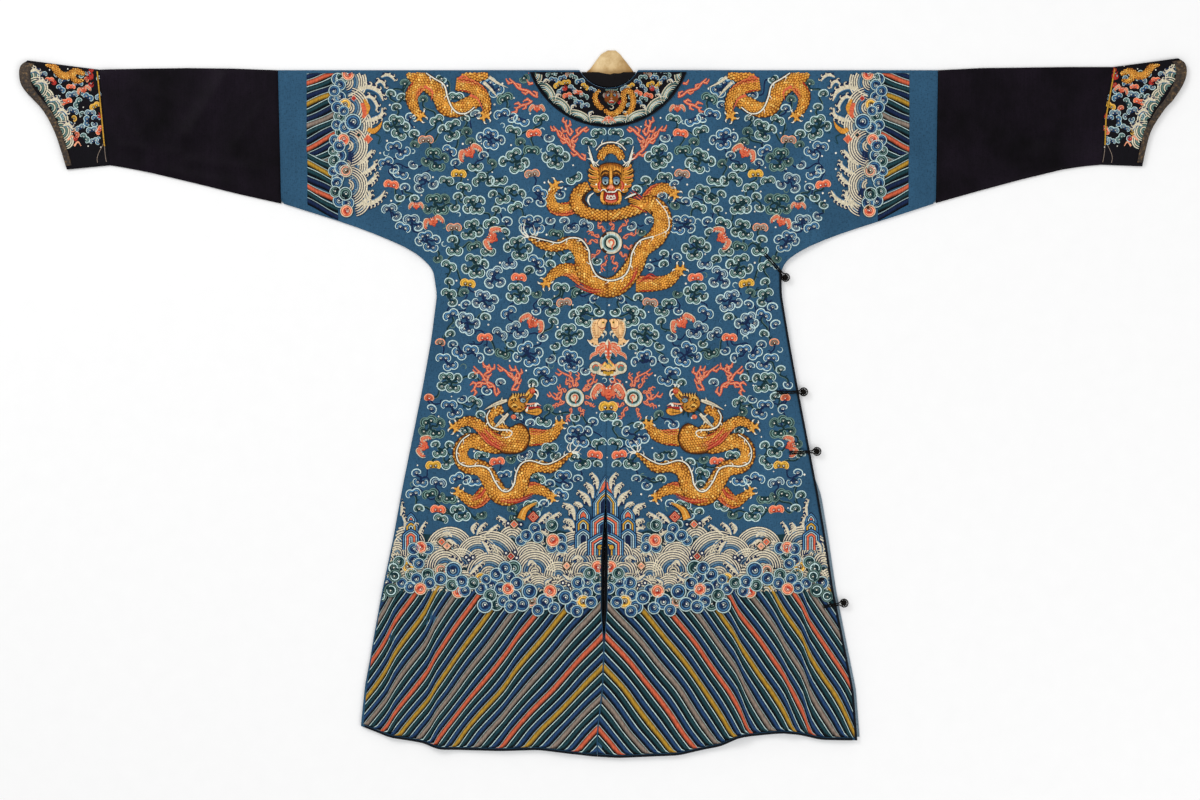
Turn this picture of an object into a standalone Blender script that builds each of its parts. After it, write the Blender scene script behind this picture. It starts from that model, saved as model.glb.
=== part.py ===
"""Chinese dragon robe, laid flat on its front.

Units: the script is written in millimetres and scaled to Blender's metres once, where a mesh is made.
Frame: +X runs to the wearer's right sleeve, +Y to the collar, +Z up out of the surface that the robe
lies on. The origin is the middle of the bounding box at z = 0.

Each half of the robe is one cloth that runs from the front hem over the shoulder to the back hem, as
it is cut. The back faces up. Under the right half lie the inner front and then the front overlap.
"""

import math

import bmesh
import bpy
from mathutils import Vector

# ---------------------------------------------------------------- driving dimensions (mm)

MM = 0.001
WALL = 1.8                   # one layer of lined silk
LAYER_GAP = 0.4              # air between two layers of one cloth
SEAM_GAP = 0.3               # air between two pieces where they are sewn
PITCH = WALL + LAYER_GAP     # height from one layer to the next
TRIM_WALL = 1.2              # facing, brocade trim and bindings

SHOULDER_Y = 628.0           # the shoulder fold
FOLD_STEPS = 4               # facets round a folded edge
BODY_COLUMNS = 16            # from the centre seam to the side
FRONT_SHORTER = 6.0          # the front hem is this much inside the back hem
FRONT_NARROWER = 0.015       # and its sides this share of the half width

VENT_LEAN = 0.15             # half of the seam gap, each side of the centre line

# the outline of the back: distance from the centre line to the two sides
BODY_OUTLINE = (
    # y, left, right
    (628, 611, 630),
    (378, 605, 626),
    (346, 502, 527),
    (327, 447, 466),
    (308, 400, 414),
    (290, 361, 374),
    (271, 336, 346),
    (252, 319, 335),
    (205, 312, 336),
    (120, 323, 350),
    (26, 340, 367),
    (-68, 359, 385),
    (-162, 378, 403),
    (-256, 395, 419),
    (-350, 415, 433),
    (-444, 432, 452),
    (-538, 447, 471),
    (-628, 455, 478),
)

# the back hem, from the left side to the right
HEM_OUTLINE = (
    # x, y
    (-457, -604),
    (-402, -626),
    (-338, -637),
    (-308, -649),
    (-196, -652),
    (-120, -650),
    (-20, -662),
    (30, -665),
    (143, -660),
    (190, -649),
    (222, -643),
    (256, -626),
    (340, -618),
    (372, -622),
    (410, -631),
    (483, -632),
)
HEM_EASES_FROM = -444.0      # below this the rows bend into the line of the hem
LAST_ROW = -628.0

# the centre seam of the back, and half the width of the vent that gapes along it
CENTRE_SEAM = (
    # y, x, half_gape
    (628, 9, 0.0),
    (196, 8, 0.0),
    (-132, 6, 0.0),
    (-205, 5, 1.9),
    (-284, 3, 6.0),
    (-383, 2, 5.3),
    (-455, 2, 0.0),
    (-538, -1, 0.0),
    (-613, -10, 0.0),
    (-664, -11, 0.0),
)

NECK_CENTRE = (11.0, 655.0)  # the neckline is an arc of this circle, cut off by the shoulder fold
NECK_RADIUS = 61.0
NECK_CLEARANCE = 1.0         # between the neckline, which has short straight facets, and the band in it

COLLAR_CENTRE = (10.0, 677.0)
COLLAR_RADIUS = 154.0
COLLAR_TOP = 624.0           # the facing ends here, at the shoulder fold
COLLAR_SPANS = 28
PIPING_RADIUS = 1.2

# the front overlap's upper edge runs from the neck to the right underarm
OVERLAP_NECK_Y = 590.0
OVERLAP_UNDERARM = (322.0, 262.0)
OVERLAP_BOW = 0.8            # below 1 the edge hollows towards the neck
OVERLAP_PEEK = 12.0          # how much wider than the inner front the overlap is, low down

# where the right half, which lies on the overlap, comes down to the surface beside it
LIFT_FLAT = 60.0             # still lifted this far above the overlap's edge
LIFT_RAMP = 100.0            # then down over this length
PLATEAU = 175.0              # all lifted within this distance of the centre
LEFT_RAMP = 125.0

# the largest folds of the back: soft ridges along straight runs
BACK_FOLDS = (
    # x0, y0, x1, y1, height, reach
    (184, -350, 262, -640, 9.0, 26.0),
    (300, -368, 354, -640, 6.0, 22.0),
    (398, -180, 402, -312, 4.0, 18.0),
    (-312, -406, -310, -640, 7.0, 24.0),
    (-390, -440, -392, -630, 4.5, 20.0),
    (-330, 300, -480, 430, 4.0, 24.0),
    (345, 300, 500, 440, 4.0, 24.0),
    (-60, -470, -70, -640, 3.0, 26.0),
)
SLEEVE_FOLDS = (
    (-930, 622, -850, 460, 5.0, 18.0),
    (-712, 610, -776, 508, 5.0, 18.0),
    (700, 560, 800, 500, 4.5, 20.0),
    (820, 500, 930, 492, 4.0, 18.0),
)

# the sleeves, from the body seam (0) to the wrist seam (1)
SLEEVE_SHAPE = {
    "left": (
        # along, top_y, bottom_y
        (0.0, 628, 377),
        (0.25, 631, 395),
        (0.5, 632, 415),
        (0.75, 631, 434),
        (0.9, 630, 444),
        (1.0, 629, 449),
    ),
    "right": (
        (0.0, 628, 378),
        (0.25, 632, 400),
        (0.5, 633, 421),
        (0.75, 634, 440),
        (0.88, 634, 447),
        (1.0, 634, 450),
    ),
}
SLEEVE_SEAMS = {
    # side: (x at the body seam, top and bottom, then at the wrist seam)
    "left": (-611, -605, -947, -927),
    "right": (630, 626, 959, 938),
}
SLEEVE_SPANS = 9
ACROSS_SPANS = 9             # facets from the upper to the lower edge of a sleeve or cuff

# the horse-hoof cuffs: the wrist seam and the flared edge, both from the top down
CUFF_WRIST = {
    "left": ((-947, 629), (-934, 491), (-927, 449)),
    "right": ((959, 634), (942, 540), (938, 450)),
}
CUFF_FLARE = {
    "left": (
        (-1081, 646), (-1094, 636), (-1097, 620), (-1093, 600), (-1080, 582),
        (-1053, 553), (-1032, 515), (-1019, 478), (-1008, 441),
    ),
    "right": (
        (1081, 650), (1094, 640), (1097, 622), (1090, 600), (1072, 572),
        (1055, 553), (1031, 515), (1020, 477), (1014, 447),
    ),
}
CUFF_SPANS = 7
TRIM_FROM = 0.86             # the brocade trim covers the cuff from here to its flared edge
FLARE_CURL = 3.0             # the flared edge lifts off the surface by this much

# the cream lining that shows above the neck
NECK_LINING = (
    # y, left_x, right_x
    (602, -12, 34),
    (612, -25, 47),
    (622, -34, 59),
    (630, -24, 54),
    (645, -13, 42),
    (658, -3, 32),
    (665, 9, 24),
)
NECK_BAND_TOP = 623.0

BINDING_WIDTH = 6.0
BINDING_GAP = 0.55           # air under a binding, which crosses the folds

# loops and knotted buttons down the wearer's right side
LOOP_CORD_RADIUS = 1.5
BUTTON_RADIUS = 5.5
BUTTON_HEIGHT = 6.2          # the middle of a button above the surface
CLOSURES = (
    # tail_x, tail_y, button_x, button_y
    (305, 281, 343, 238),
    (326, 21, 377, 23),
    (350, -92, 402, -89),
    (414, -381, 453, -374),
)

COLOURS = {
    # name: (linear red, green, blue), roughness
    "robe_blue": ((0.020, 0.055, 0.135), 0.55),
    "sleeve_dark": ((0.014, 0.010, 0.016), 0.60),
    "cuff_black": ((0.012, 0.012, 0.020), 0.60),
    "brocade_gold": ((0.230, 0.130, 0.040), 0.50),
    "collar_ground": ((0.030, 0.034, 0.050), 0.55),
    "satin_black": ((0.006, 0.006, 0.008), 0.35),
    "lining_cream": ((0.560, 0.500, 0.400), 0.65),
    "binding_dark": ((0.008, 0.012, 0.016), 0.60),
    "cord_dark": ((0.012, 0.008, 0.006), 0.55),
}


# ---------------------------------------------------------------- shape functions

def ease(t):
    """A smooth step from 0 to 1."""
    t = min(1.0, max(0.0, t))
    return t * t * (3.0 - 2.0 * t)


def read(table, at, column, key=0):
    """The value in one column of a table, between its rows."""
    rows = sorted(table, key=lambda row: row[key])
    if at <= rows[0][key]:
        return rows[0][column]
    for low, high in zip(rows, rows[1:]):
        if at <= high[key]:
            share = (at - low[key]) / (high[key] - low[key])
            return low[column] + share * (high[column] - low[column])
    return rows[-1][column]


def along(points, share):
    """A point on a line of points, at a share of its length, and the direction there."""
    spans = [(Vector(a), Vector(b)) for a, b in zip(points, points[1:])]
    left = share * sum((b - a).length for a, b in spans)
    for a, b in spans:
        length = (b - a).length
        if left <= length or b == spans[-1][1]:
            return a.lerp(b, min(1.0, left / length)), (b - a).normalized()
        left -= length


def ridges(folds, x, y):
    """The height that soft ridges add at a point."""
    total = 0.0
    for x0, y0, x1, y1, height, reach in folds:
        run = Vector((x1 - x0, y1 - y0))
        share = min(1.0, max(0.0, Vector((x - x0, y - y0)).dot(run) / run.length_squared))
        near = Vector((x0, y0)) + run * share
        away = (Vector((x, y)) - near).length
        total += height * math.exp(-((away / reach) ** 2))
    return total


def overlap_edge(x):
    """The height up the robe, y, of the overlap's upper edge."""
    underarm_x, underarm_y = OVERLAP_UNDERARM
    drop = OVERLAP_NECK_Y - underarm_y
    return OVERLAP_NECK_Y - drop * (max(0.0, x) / underarm_x) ** OVERLAP_BOW


def lift(x, y):
    """How far a layer is raised by the one more layer under it, as a share of one pitch."""
    if x < 0.0:
        return 1.0 - ease((-x - PLATEAU) / LEFT_RAMP)
    near_centre = 1.0 - ease((x - PLATEAU) / LIFT_RAMP)
    over_panel = 1.0 - ease((y - overlap_edge(x) - LIFT_FLAT) / LIFT_RAMP)
    return max(near_centre, over_panel)


def front_z(side, x, y):
    """The middle of the front layer's wall."""
    raised = PITCH * lift(x, y) if side == "right" else 0.0
    return WALL / 2 + raised


def back_z(x, y):
    """The middle of the back layer's wall."""
    return WALL / 2 + PITCH * (1.0 + lift(x, y)) + ridges(BACK_FOLDS, x, y)


def sleeve_z(x, y):
    """The middle of a sleeve's or a cuff's upper wall."""
    return WALL / 2 + PITCH + ridges(SLEEVE_FOLDS + BACK_FOLDS, x, y)


def neck_half_width(y):
    """Half the width of the neck opening at a height up the robe."""
    below = y - NECK_CENTRE[1]
    return math.sqrt(max(0.0, NECK_RADIUS ** 2 - below ** 2))


# ---------------------------------------------------------------- making objects

def clear_scene():
    for item in list(bpy.data.objects):
        bpy.data.objects.remove(item, do_unlink=True)


def material(name):
    found = bpy.data.materials.get(name)
    if found:
        return found
    colour, roughness = COLOURS[name]
    made = bpy.data.materials.new(name)
    made.use_nodes = True
    shader = made.node_tree.nodes["Principled BSDF"]
    shader.inputs["Base Color"].default_value = (*colour, 1.0)
    shader.inputs["Roughness"].default_value = roughness
    shader.inputs["Metallic"].default_value = 0.0
    return made


def place(name, data, colour):
    item = bpy.data.objects.new(name, data)
    item.data.materials.append(material(colour))
    bpy.data.collections["dragon_robe"].objects.link(item)
    return item


def cloth(name, grid, colour, wall=WALL, closed=False):
    """A panel: a grid of points on the middle of the wall, thickened to both sides.

    grid is a list of columns of (x, y, z). A closed grid joins each column's end to its start.
    """
    mesh = bmesh.new()
    columns = [[mesh.verts.new(Vector(point) * MM) for point in column] for column in grid]
    count = len(columns[0])
    last = count if closed else count - 1
    for one, other in zip(columns, columns[1:]):
        for j in range(last):
            k = (j + 1) % count
            mesh.faces.new((one[j], other[j], other[k], one[k]))
    bmesh.ops.recalc_face_normals(mesh, faces=mesh.faces)
    data = bpy.data.meshes.new(name)
    mesh.to_mesh(data)
    mesh.free()
    data.shade_smooth()
    item = place(name, data, colour)
    solid = item.modifiers.new("wall", "SOLIDIFY")
    solid.thickness = wall * MM
    solid.offset = 0.0
    solid.use_even_offset = True
    solid.use_quality_normals = True
    return item


def cord(name, points, radius, colour):
    """A round cord along points, with filled ends."""
    data = bpy.data.curves.new(name, "CURVE")
    data.dimensions = "3D"
    data.bevel_depth = radius * MM
    data.bevel_resolution = 2
    data.use_fill_caps = True
    line = data.splines.new("POLY")
    line.points.add(len(points) - 1)
    for slot, point in zip(line.points, points):
        slot.co = (*(Vector(point) * MM), 1.0)
    return place(name, data, colour)


def turn(edge, inward, upper_z, lower_z, steps=FOLD_STEPS):
    """The points of a folded edge between an upper and a lower layer, upper one first.

    edge is the outermost point of the cloth, inward the direction back into it.
    """
    radius = (upper_z - lower_z) / 2
    middle = edge + inward * (WALL / 2 + radius)
    points = []
    for step in range(steps + 1):
        angle = math.pi * step / steps
        spot = middle - inward * (radius * math.sin(angle))
        points.append((spot.x, spot.y, lower_z + radius * (1.0 + math.cos(angle))))
    return points


# ---------------------------------------------------------------- body halves

def seam_x(side, y, gape=1.0):
    """The edge of a body half at the centre line, with the vent open or shut."""
    sign = 1 if side == "right" else -1
    if neck_half_width(y) > 0.0:
        return NECK_CENTRE[0] + sign * neck_half_width(y)
    return read(CENTRE_SEAM, y, 1) + sign * (gape * read(CENTRE_SEAM, y, 2) + VENT_LEAN)


def hem_bend(y):
    """How far a row has bent from level into the line of the hem, from 0 to 1."""
    return ease((HEM_EASES_FROM - y) / (HEM_EASES_FROM - LAST_ROW))


def body_point(side, share, y):
    """A point of the back in plan, at a share of the way from the centre seam to the side."""
    inner = seam_x(side, y)
    outer = read(BODY_OUTLINE, y, 2) if side == "right" else -read(BODY_OUTLINE, y, 1)
    x = inner + share * (outer - inner)
    return Vector((x, y + hem_bend(y) * (read(HEM_OUTLINE, x, 1) - LAST_ROW)))


def front_point(side, share, y):
    """The same on the front, which is a little narrower and shorter, with its seam shut."""
    inner = seam_x(side, y, gape=0.0)
    outer = read(BODY_OUTLINE, y, 2) if side == "right" else -read(BODY_OUTLINE, y, 1)
    outer *= 1.0 - FRONT_NARROWER * ease((200.0 - y) / 100.0)
    x = inner + share * (outer - inner)
    drop = hem_bend(y) * (read(HEM_OUTLINE, x, 1) - LAST_ROW + FRONT_SHORTER)
    return Vector((x, y + drop))


def body_rows():
    """The rows of a body half below the shoulder fold, from the top down."""
    neck_low = NECK_CENTRE[1] - NECK_RADIUS
    rows = [y for y, _, _ in BODY_OUTLINE[1:]]
    extra = [616.0, 607.0, 600.0, 596.0, neck_low, 534.0, 487.0, 440.0, 409.0, -115.0, -205.0, -303.0, -397.0, -490.0, -582.0]
    return sorted(rows + extra, reverse=True)


def body_grid(side):
    """One body half, from the back hem over the shoulder to the front hem."""
    grid = []
    rows = body_rows()
    for column in range(BODY_COLUMNS + 1):
        share = column / BODY_COLUMNS
        back = []
        front = []
        for y in rows:
            spot = body_point(side, share, y)
            back.append((spot.x, spot.y, back_z(spot.x, spot.y)))
            spot = front_point(side, share, y)
            front.append((spot.x, spot.y, front_z(side, spot.x, spot.y)))
        top = body_point(side, share, SHOULDER_Y)
        fold = turn(top, Vector((0.0, -1.0)), back_z(top.x, top.y), front_z(side, top.x, top.y))
        grid.append(list(reversed(back)) + fold + front)
    return grid


def make_body(side):
    return cloth(f"body_{side}", body_grid(side), "robe_blue")


def make_overlap():
    """The outer right front, lying on the surface under the right half.

    Up to the underarm its rows are the body's. Above, they fan in under the slanting upper edge.
    """
    underarm_x, underarm_y = OVERLAP_UNDERARM
    level_top = 252.0
    rows = sorted(y for y in body_rows() if y < OVERLAP_NECK_Y)
    grid = []
    for column in range(BODY_COLUMNS + 1):
        share = column / BODY_COLUMNS
        top_y = overlap_edge(share * underarm_x)
        line = []
        for y in rows:
            spot = front_point("right", share, y)
            if y > level_top:
                up = (y - level_top) / (rows[-1] - level_top)
                inner = seam_x("right", y, gape=0.0)
                spot = Vector((inner + share * (underarm_x - inner), level_top + up * (top_y - level_top)))
            peek = share * OVERLAP_PEEK * ease((-100.0 - y) / 80.0)
            line.append((spot.x + peek, spot.y, WALL / 2))
        grid.append(line)
    return cloth("front_overlap", grid, "robe_blue")


# ---------------------------------------------------------------- sleeves and cuffs

def tube_ring(points_down, height):
    """One closed ring of a flattened tube.

    points_down runs in plan from the upper folded edge to the lower one.
    """
    top = Vector(points_down[0])
    bottom = Vector(points_down[-1])
    down_first = (Vector(points_down[1]) - top).normalized()
    up_last = (Vector(points_down[-2]) - bottom).normalized()
    low = WALL / 2
    top_fold = turn(top, down_first, height(top.x, top.y), low)
    bottom_fold = turn(bottom, up_last, height(bottom.x, bottom.y), low)
    between = [Vector(point) for point in points_down[1:-1]]
    upper = [(p.x, p.y, height(p.x, p.y)) for p in between]
    lower = [(p.x, p.y, low) for p in between]
    return upper + bottom_fold + list(reversed(lower)) + list(reversed(top_fold))


def make_sleeve(side):
    body_top, body_bottom, wrist_top, wrist_bottom = SLEEVE_SEAMS[side]
    sign = 1 if side == "right" else -1
    grid = []
    for station in range(SLEEVE_SPANS + 1):
        share = station / SLEEVE_SPANS
        shift = sign * SEAM_GAP * (1.0 - 2.0 * share)
        top_x = body_top + share * (wrist_top - body_top) + shift
        bottom_x = body_bottom + share * (wrist_bottom - body_bottom) + shift
        top = Vector((top_x, read(SLEEVE_SHAPE[side], share, 1)))
        bottom = Vector((bottom_x, read(SLEEVE_SHAPE[side], share, 2)))
        points = [top.lerp(bottom, step / ACROSS_SPANS) for step in range(ACROSS_SPANS + 1)]
        if share == 1.0:
            wrist = CUFF_WRIST[side]
            points = [along(wrist, step / ACROSS_SPANS)[0] for step in range(ACROSS_SPANS + 1)]
            points = [point - Vector((sign * SEAM_GAP, 0.0)) for point in points]
        grid.append(tube_ring(points, sleeve_z))
    return cloth(f"sleeve_{side}", grid, "sleeve_dark", closed=True)


def cuff_point(side, share_out, share_down):
    """A point of a cuff in plan: out from the wrist seam, and down from the upper edge."""
    wrist = along(CUFF_WRIST[side], share_down)[0]
    flare = along(CUFF_FLARE[side], share_down)[0]
    return wrist.lerp(flare, share_out)


def cuff_z(side):
    """The height of a cuff's upper wall, which curls up a little at the flare."""
    sign = 1 if side == "right" else -1

    def height(x, y):
        out = (sign * x - 945.0) / 120.0
        return sleeve_z(x, y) + FLARE_CURL * ease(out)

    return height


def make_cuff(side):
    grid = []
    for station in range(CUFF_SPANS + 1):
        share = station / CUFF_SPANS
        points = [cuff_point(side, share, step / ACROSS_SPANS) for step in range(ACROSS_SPANS + 1)]
        grid.append(tube_ring(points, cuff_z(side)))
    return cloth(f"cuff_{side}", grid, "cuff_black", closed=True)


def make_cuff_trim(side):
    """The brocade strip along the flared edge, on the cuff's upper face."""
    height = cuff_z(side)
    above = WALL / 2 + SEAM_GAP + TRIM_WALL / 2
    grid = []
    for step in range(2 * ACROSS_SPANS + 1):
        down = 0.03 + 0.94 * step / (2 * ACROSS_SPANS)
        line = []
        for part in range(3):
            out = TRIM_FROM + (1.0 - TRIM_FROM) * part / 2
            spot = cuff_point(side, out, down)
            line.append((spot.x, spot.y, height(spot.x, spot.y) + above))
        grid.append(line)
    return cloth(f"cuff_trim_{side}", grid, "brocade_gold", wall=TRIM_WALL)


# ---------------------------------------------------------------- collar and neck

def ring_point(centre, radius, degrees):
    """A point on a circle, by the angle from straight down, positive to the right."""
    angle = math.radians(degrees)
    return Vector((centre[0] + radius * math.sin(angle), centre[1] - radius * math.cos(angle)))


def half_angle(centre, radius, y):
    """The angle at which a circle, followed up from its lowest point, reaches a height."""
    return math.degrees(math.acos((centre[1] - y) / radius))


def make_collar():
    """The facing round the neck, on the back."""
    above = WALL / 2 + SEAM_GAP + TRIM_WALL / 2
    inner_radius = NECK_RADIUS + 1.0
    inner_half = half_angle(NECK_CENTRE, inner_radius, COLLAR_TOP)
    outer_half = half_angle(COLLAR_CENTRE, COLLAR_RADIUS, COLLAR_TOP)
    grid = []
    for span in range(COLLAR_SPANS + 1):
        turned = 2.0 * span / COLLAR_SPANS - 1.0
        inner = ring_point(NECK_CENTRE, inner_radius, turned * inner_half)
        outer = ring_point(COLLAR_CENTRE, COLLAR_RADIUS, turned * outer_half)
        line = []
        for part in range(4):
            spot = inner.lerp(outer, part / 3)
            line.append((spot.x, spot.y, back_z(spot.x, spot.y) + above))
        grid.append(line)
    return cloth("collar_facing", grid, "collar_ground", wall=TRIM_WALL)


def make_collar_piping():
    """The piping round the outer edge of the facing."""
    radius = COLLAR_RADIUS + SEAM_GAP + PIPING_RADIUS
    half = half_angle(COLLAR_CENTRE, radius, COLLAR_TOP)
    above = WALL / 2 + SEAM_GAP + PIPING_RADIUS
    points = []
    for span in range(COLLAR_SPANS + 1):
        spot = ring_point(COLLAR_CENTRE, radius, (2.0 * span / COLLAR_SPANS - 1.0) * half)
        points.append((spot.x, spot.y, back_z(spot.x, spot.y) + above))
    return cord("collar_piping", points, PIPING_RADIUS, "satin_black")


def make_neck_lining():
    """The cream lining of the front's neck edge, past the shoulder fold."""
    grid = []
    for column in range(7):
        share = column / 6
        grid.append([
            (left + share * (right - left), y, WALL / 2) for y, left, right in NECK_LINING
        ])
    return cloth("neck_lining", grid, "lining_cream")


def make_neck_band():
    """The black band inside the neck, on the lining."""
    radius = NECK_RADIUS - NECK_CLEARANCE
    half = half_angle(NECK_CENTRE, radius, NECK_BAND_TOP)
    height = WALL + SEAM_GAP + WALL / 2
    grid = []
    for span in range(13):
        turned = 2.0 * span / 12 - 1.0
        low = ring_point(NECK_CENTRE, radius, turned * half)
        high = Vector((NECK_CENTRE[0] + turned * (NECK_RADIUS - 11.0), NECK_BAND_TOP + 1.0))
        grid.append([(p.x, p.y, height) for p in (low, low.lerp(high, 0.5), high)])
    return cloth("neck_band", grid, "satin_black")


# ---------------------------------------------------------------- bindings and closures

def strip(name, pairs, colour):
    """A flat strip on the back: from points of its edge towards the points next to them."""
    above = Vector((0.0, 0.0, WALL / 2 + BINDING_GAP + TRIM_WALL / 2))
    grid = []
    for edge, inside in pairs:
        edge = Vector(edge)
        inside = Vector(inside)
        width = BINDING_WIDTH / (inside - edge).length
        grid.append([edge + above, edge.lerp(inside, width) + above])
    return cloth(name, grid, colour, wall=TRIM_WALL)


def make_hem_binding(side):
    """The binding of the back hem; it stops where the side binding starts."""
    pairs = [(column[0], column[1]) for column in body_grid(side)]
    edge, inside = (Vector(point) for point in pairs[-1])
    edge_before, inside_before = (Vector(point) for point in pairs[-2])
    share = (BINDING_WIDTH + 2 * SEAM_GAP) / (edge - edge_before).length
    pairs[-1] = (edge.lerp(edge_before, share), inside.lerp(inside_before, share))
    return strip(f"hem_binding_{side}", pairs, "binding_dark")


def make_side_binding():
    """The binding of the open right side, from the underarm to the hem."""
    before, last = body_grid("right")[-2:]
    rows = len([y for y in body_rows() if y <= OVERLAP_UNDERARM[1] - 10.0])
    return strip("side_binding_right", list(zip(last, before))[:rows], "binding_dark")


def make_closure(number, tail_x, tail_y, button_x, button_y):
    """A cord loop laid on the back and round the knotted button at the side edge."""
    button = Vector((button_x, button_y))
    tail = Vector((tail_x, tail_y))
    forward = (button - tail).normalized()
    sideways = Vector((-forward.y, forward.x))
    around = BUTTON_RADIUS + SEAM_GAP + LOOP_CORD_RADIUS
    spread = LOOP_CORD_RADIUS + SEAM_GAP

    def at(spot):
        ground = back_z(spot.x, spot.y) + WALL / 2 + SEAM_GAP + TRIM_WALL + SEAM_GAP
        return (spot.x, spot.y, ground + LOOP_CORD_RADIUS)

    neck = button - forward * (around + 3.0)
    route = [tail + sideways * spread, tail.lerp(neck, 0.5) + sideways * spread, neck + sideways * spread]
    for step in range(9):
        angle = math.radians(-150.0 + 300.0 * step / 8)
        route.append(button + (forward * math.cos(angle) - sideways * math.sin(angle)) * around)
    route += [neck - sideways * spread, tail.lerp(neck, 0.5) - sideways * spread, tail - sideways * spread]
    heights = [at(spot) for spot in route]
    cord(f"loop_{number}", heights, LOOP_CORD_RADIUS, "cord_dark")

    bpy.ops.mesh.primitive_uv_sphere_add(
        segments=12, ring_count=8, radius=BUTTON_RADIUS * MM,
        location=(button.x * MM, button.y * MM, BUTTON_HEIGHT * MM))
    knot = bpy.context.object
    knot.name = f"button_{number}"
    knot.data.name = knot.name
    knot.data.materials.append(material("cord_dark"))
    knot.data.shade_smooth()
    for holder in list(knot.users_collection):
        holder.objects.unlink(knot)
    bpy.data.collections["dragon_robe"].objects.link(knot)


# ---------------------------------------------------------------- the robe

def main():
    clear_scene()
    robe = bpy.data.collections.new("dragon_robe")
    bpy.context.scene.collection.children.link(robe)
    for side in ("left", "right"):
        make_body(side)
        make_sleeve(side)
        make_cuff(side)
        make_cuff_trim(side)
        make_hem_binding(side)
    make_overlap()
    make_collar()
    make_collar_piping()
    make_neck_lining()
    make_neck_band()
    make_side_binding()
    for number, row in enumerate(CLOSURES, start=1):
        make_closure(number, *row)


main()
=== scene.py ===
"""Looks of the dragon robe: silk, bindings, cords and the embroidery that lies on them.

Lengths are in millimetres, in the frame of the solids, and are scaled to metres where a mesh is made.
The robe lies on its front: the back faces up.
"""
import math
import random

import bmesh
import bpy
import numpy as np
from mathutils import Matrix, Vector
from mathutils.bvhtree import BVHTree


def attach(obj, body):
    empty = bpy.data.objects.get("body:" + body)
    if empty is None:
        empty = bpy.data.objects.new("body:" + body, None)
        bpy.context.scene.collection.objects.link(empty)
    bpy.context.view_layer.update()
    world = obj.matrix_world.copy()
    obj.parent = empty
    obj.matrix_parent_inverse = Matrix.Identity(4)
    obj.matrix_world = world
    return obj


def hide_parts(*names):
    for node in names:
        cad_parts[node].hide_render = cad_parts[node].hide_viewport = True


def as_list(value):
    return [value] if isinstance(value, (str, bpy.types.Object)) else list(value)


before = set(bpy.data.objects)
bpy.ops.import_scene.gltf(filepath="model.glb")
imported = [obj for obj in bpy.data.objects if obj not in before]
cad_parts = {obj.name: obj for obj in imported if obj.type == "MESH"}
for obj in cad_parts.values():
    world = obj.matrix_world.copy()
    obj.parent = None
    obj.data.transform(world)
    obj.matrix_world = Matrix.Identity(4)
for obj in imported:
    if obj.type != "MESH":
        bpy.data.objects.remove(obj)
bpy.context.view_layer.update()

MM = 0.001
SIGN = {"left": -1, "right": 1}

# ---------------------------------------------------------------- the solids' sizes

WALL = 1.8
LAYER_GAP = 0.4
SEAM_GAP = 0.3
PITCH = WALL + LAYER_GAP
TRIM_WALL = 1.2
SHOULDER_Y = 628.0
FRONT_SHORTER = 6.0
FRONT_NARROWER = 0.015
VENT_LEAN = 0.15

BODY_OUTLINE = np.array((
    # y, left, right
    (628, 611, 630), (378, 605, 626), (346, 502, 527), (327, 447, 466), (308, 400, 414),
    (290, 361, 374), (271, 336, 346), (252, 319, 335), (205, 312, 336), (120, 323, 350),
    (26, 340, 367), (-68, 359, 385), (-162, 378, 403), (-256, 395, 419), (-350, 415, 433),
    (-444, 432, 452), (-538, 447, 471), (-628, 455, 478),
), float)
HEM_OUTLINE = np.array((
    # x, y
    (-457, -604), (-402, -626), (-338, -637), (-308, -649), (-196, -652), (-120, -650),
    (-20, -662), (30, -665), (143, -660), (190, -649), (222, -643), (256, -626),
    (340, -618), (372, -622), (410, -631), (483, -632),
), float)
HEM_EASES_FROM = -444.0
LAST_ROW = -628.0
CENTRE_SEAM = np.array((
    # y, x, half_gape
    (628, 9, 0.0), (196, 8, 0.0), (-132, 6, 0.0), (-205, 5, 1.9), (-284, 3, 6.0),
    (-383, 2, 5.3), (-455, 2, 0.0), (-538, -1, 0.0), (-613, -10, 0.0), (-664, -11, 0.0),
), float)

NECK_CENTRE = (11.0, 655.0)
NECK_RADIUS = 61.0
NECK_CLEARANCE = 1.0
COLLAR_CENTRE = (10.0, 677.0)
COLLAR_RADIUS = 154.0
COLLAR_TOP = 624.0
PIPING_RADIUS = 1.2

OVERLAP_NECK_Y = 590.0
OVERLAP_UNDERARM = (322.0, 262.0)
OVERLAP_BOW = 0.8
OVERLAP_PEEK = 12.0
LIFT_FLAT = 60.0
LIFT_RAMP = 100.0
PLATEAU = 175.0
LEFT_RAMP = 125.0

# the large folds, as soft ridges from one point to another
BACK_FOLDS = (
    # x0, y0, x1, y1, height, reach
    (184, -350, 262, -640, 9.0, 26.0),
    (300, -368, 354, -640, 6.0, 22.0),
    (398, -180, 402, -312, 4.0, 18.0),
    (-312, -406, -310, -640, 7.0, 24.0),
    (-390, -440, -392, -630, 4.5, 20.0),
    (-330, 300, -480, 430, 4.0, 24.0),
    (345, 300, 500, 440, 4.0, 24.0),
    (-60, -470, -70, -640, 3.0, 26.0),
)
SLEEVE_FOLDS = (
    # x0, y0, x1, y1, height, reach
    (-930, 622, -850, 460, 5.0, 18.0),
    (-712, 610, -776, 508, 5.0, 18.0),
    (700, 560, 800, 500, 4.5, 20.0),
    (820, 500, 930, 492, 4.0, 18.0),
)
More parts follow.
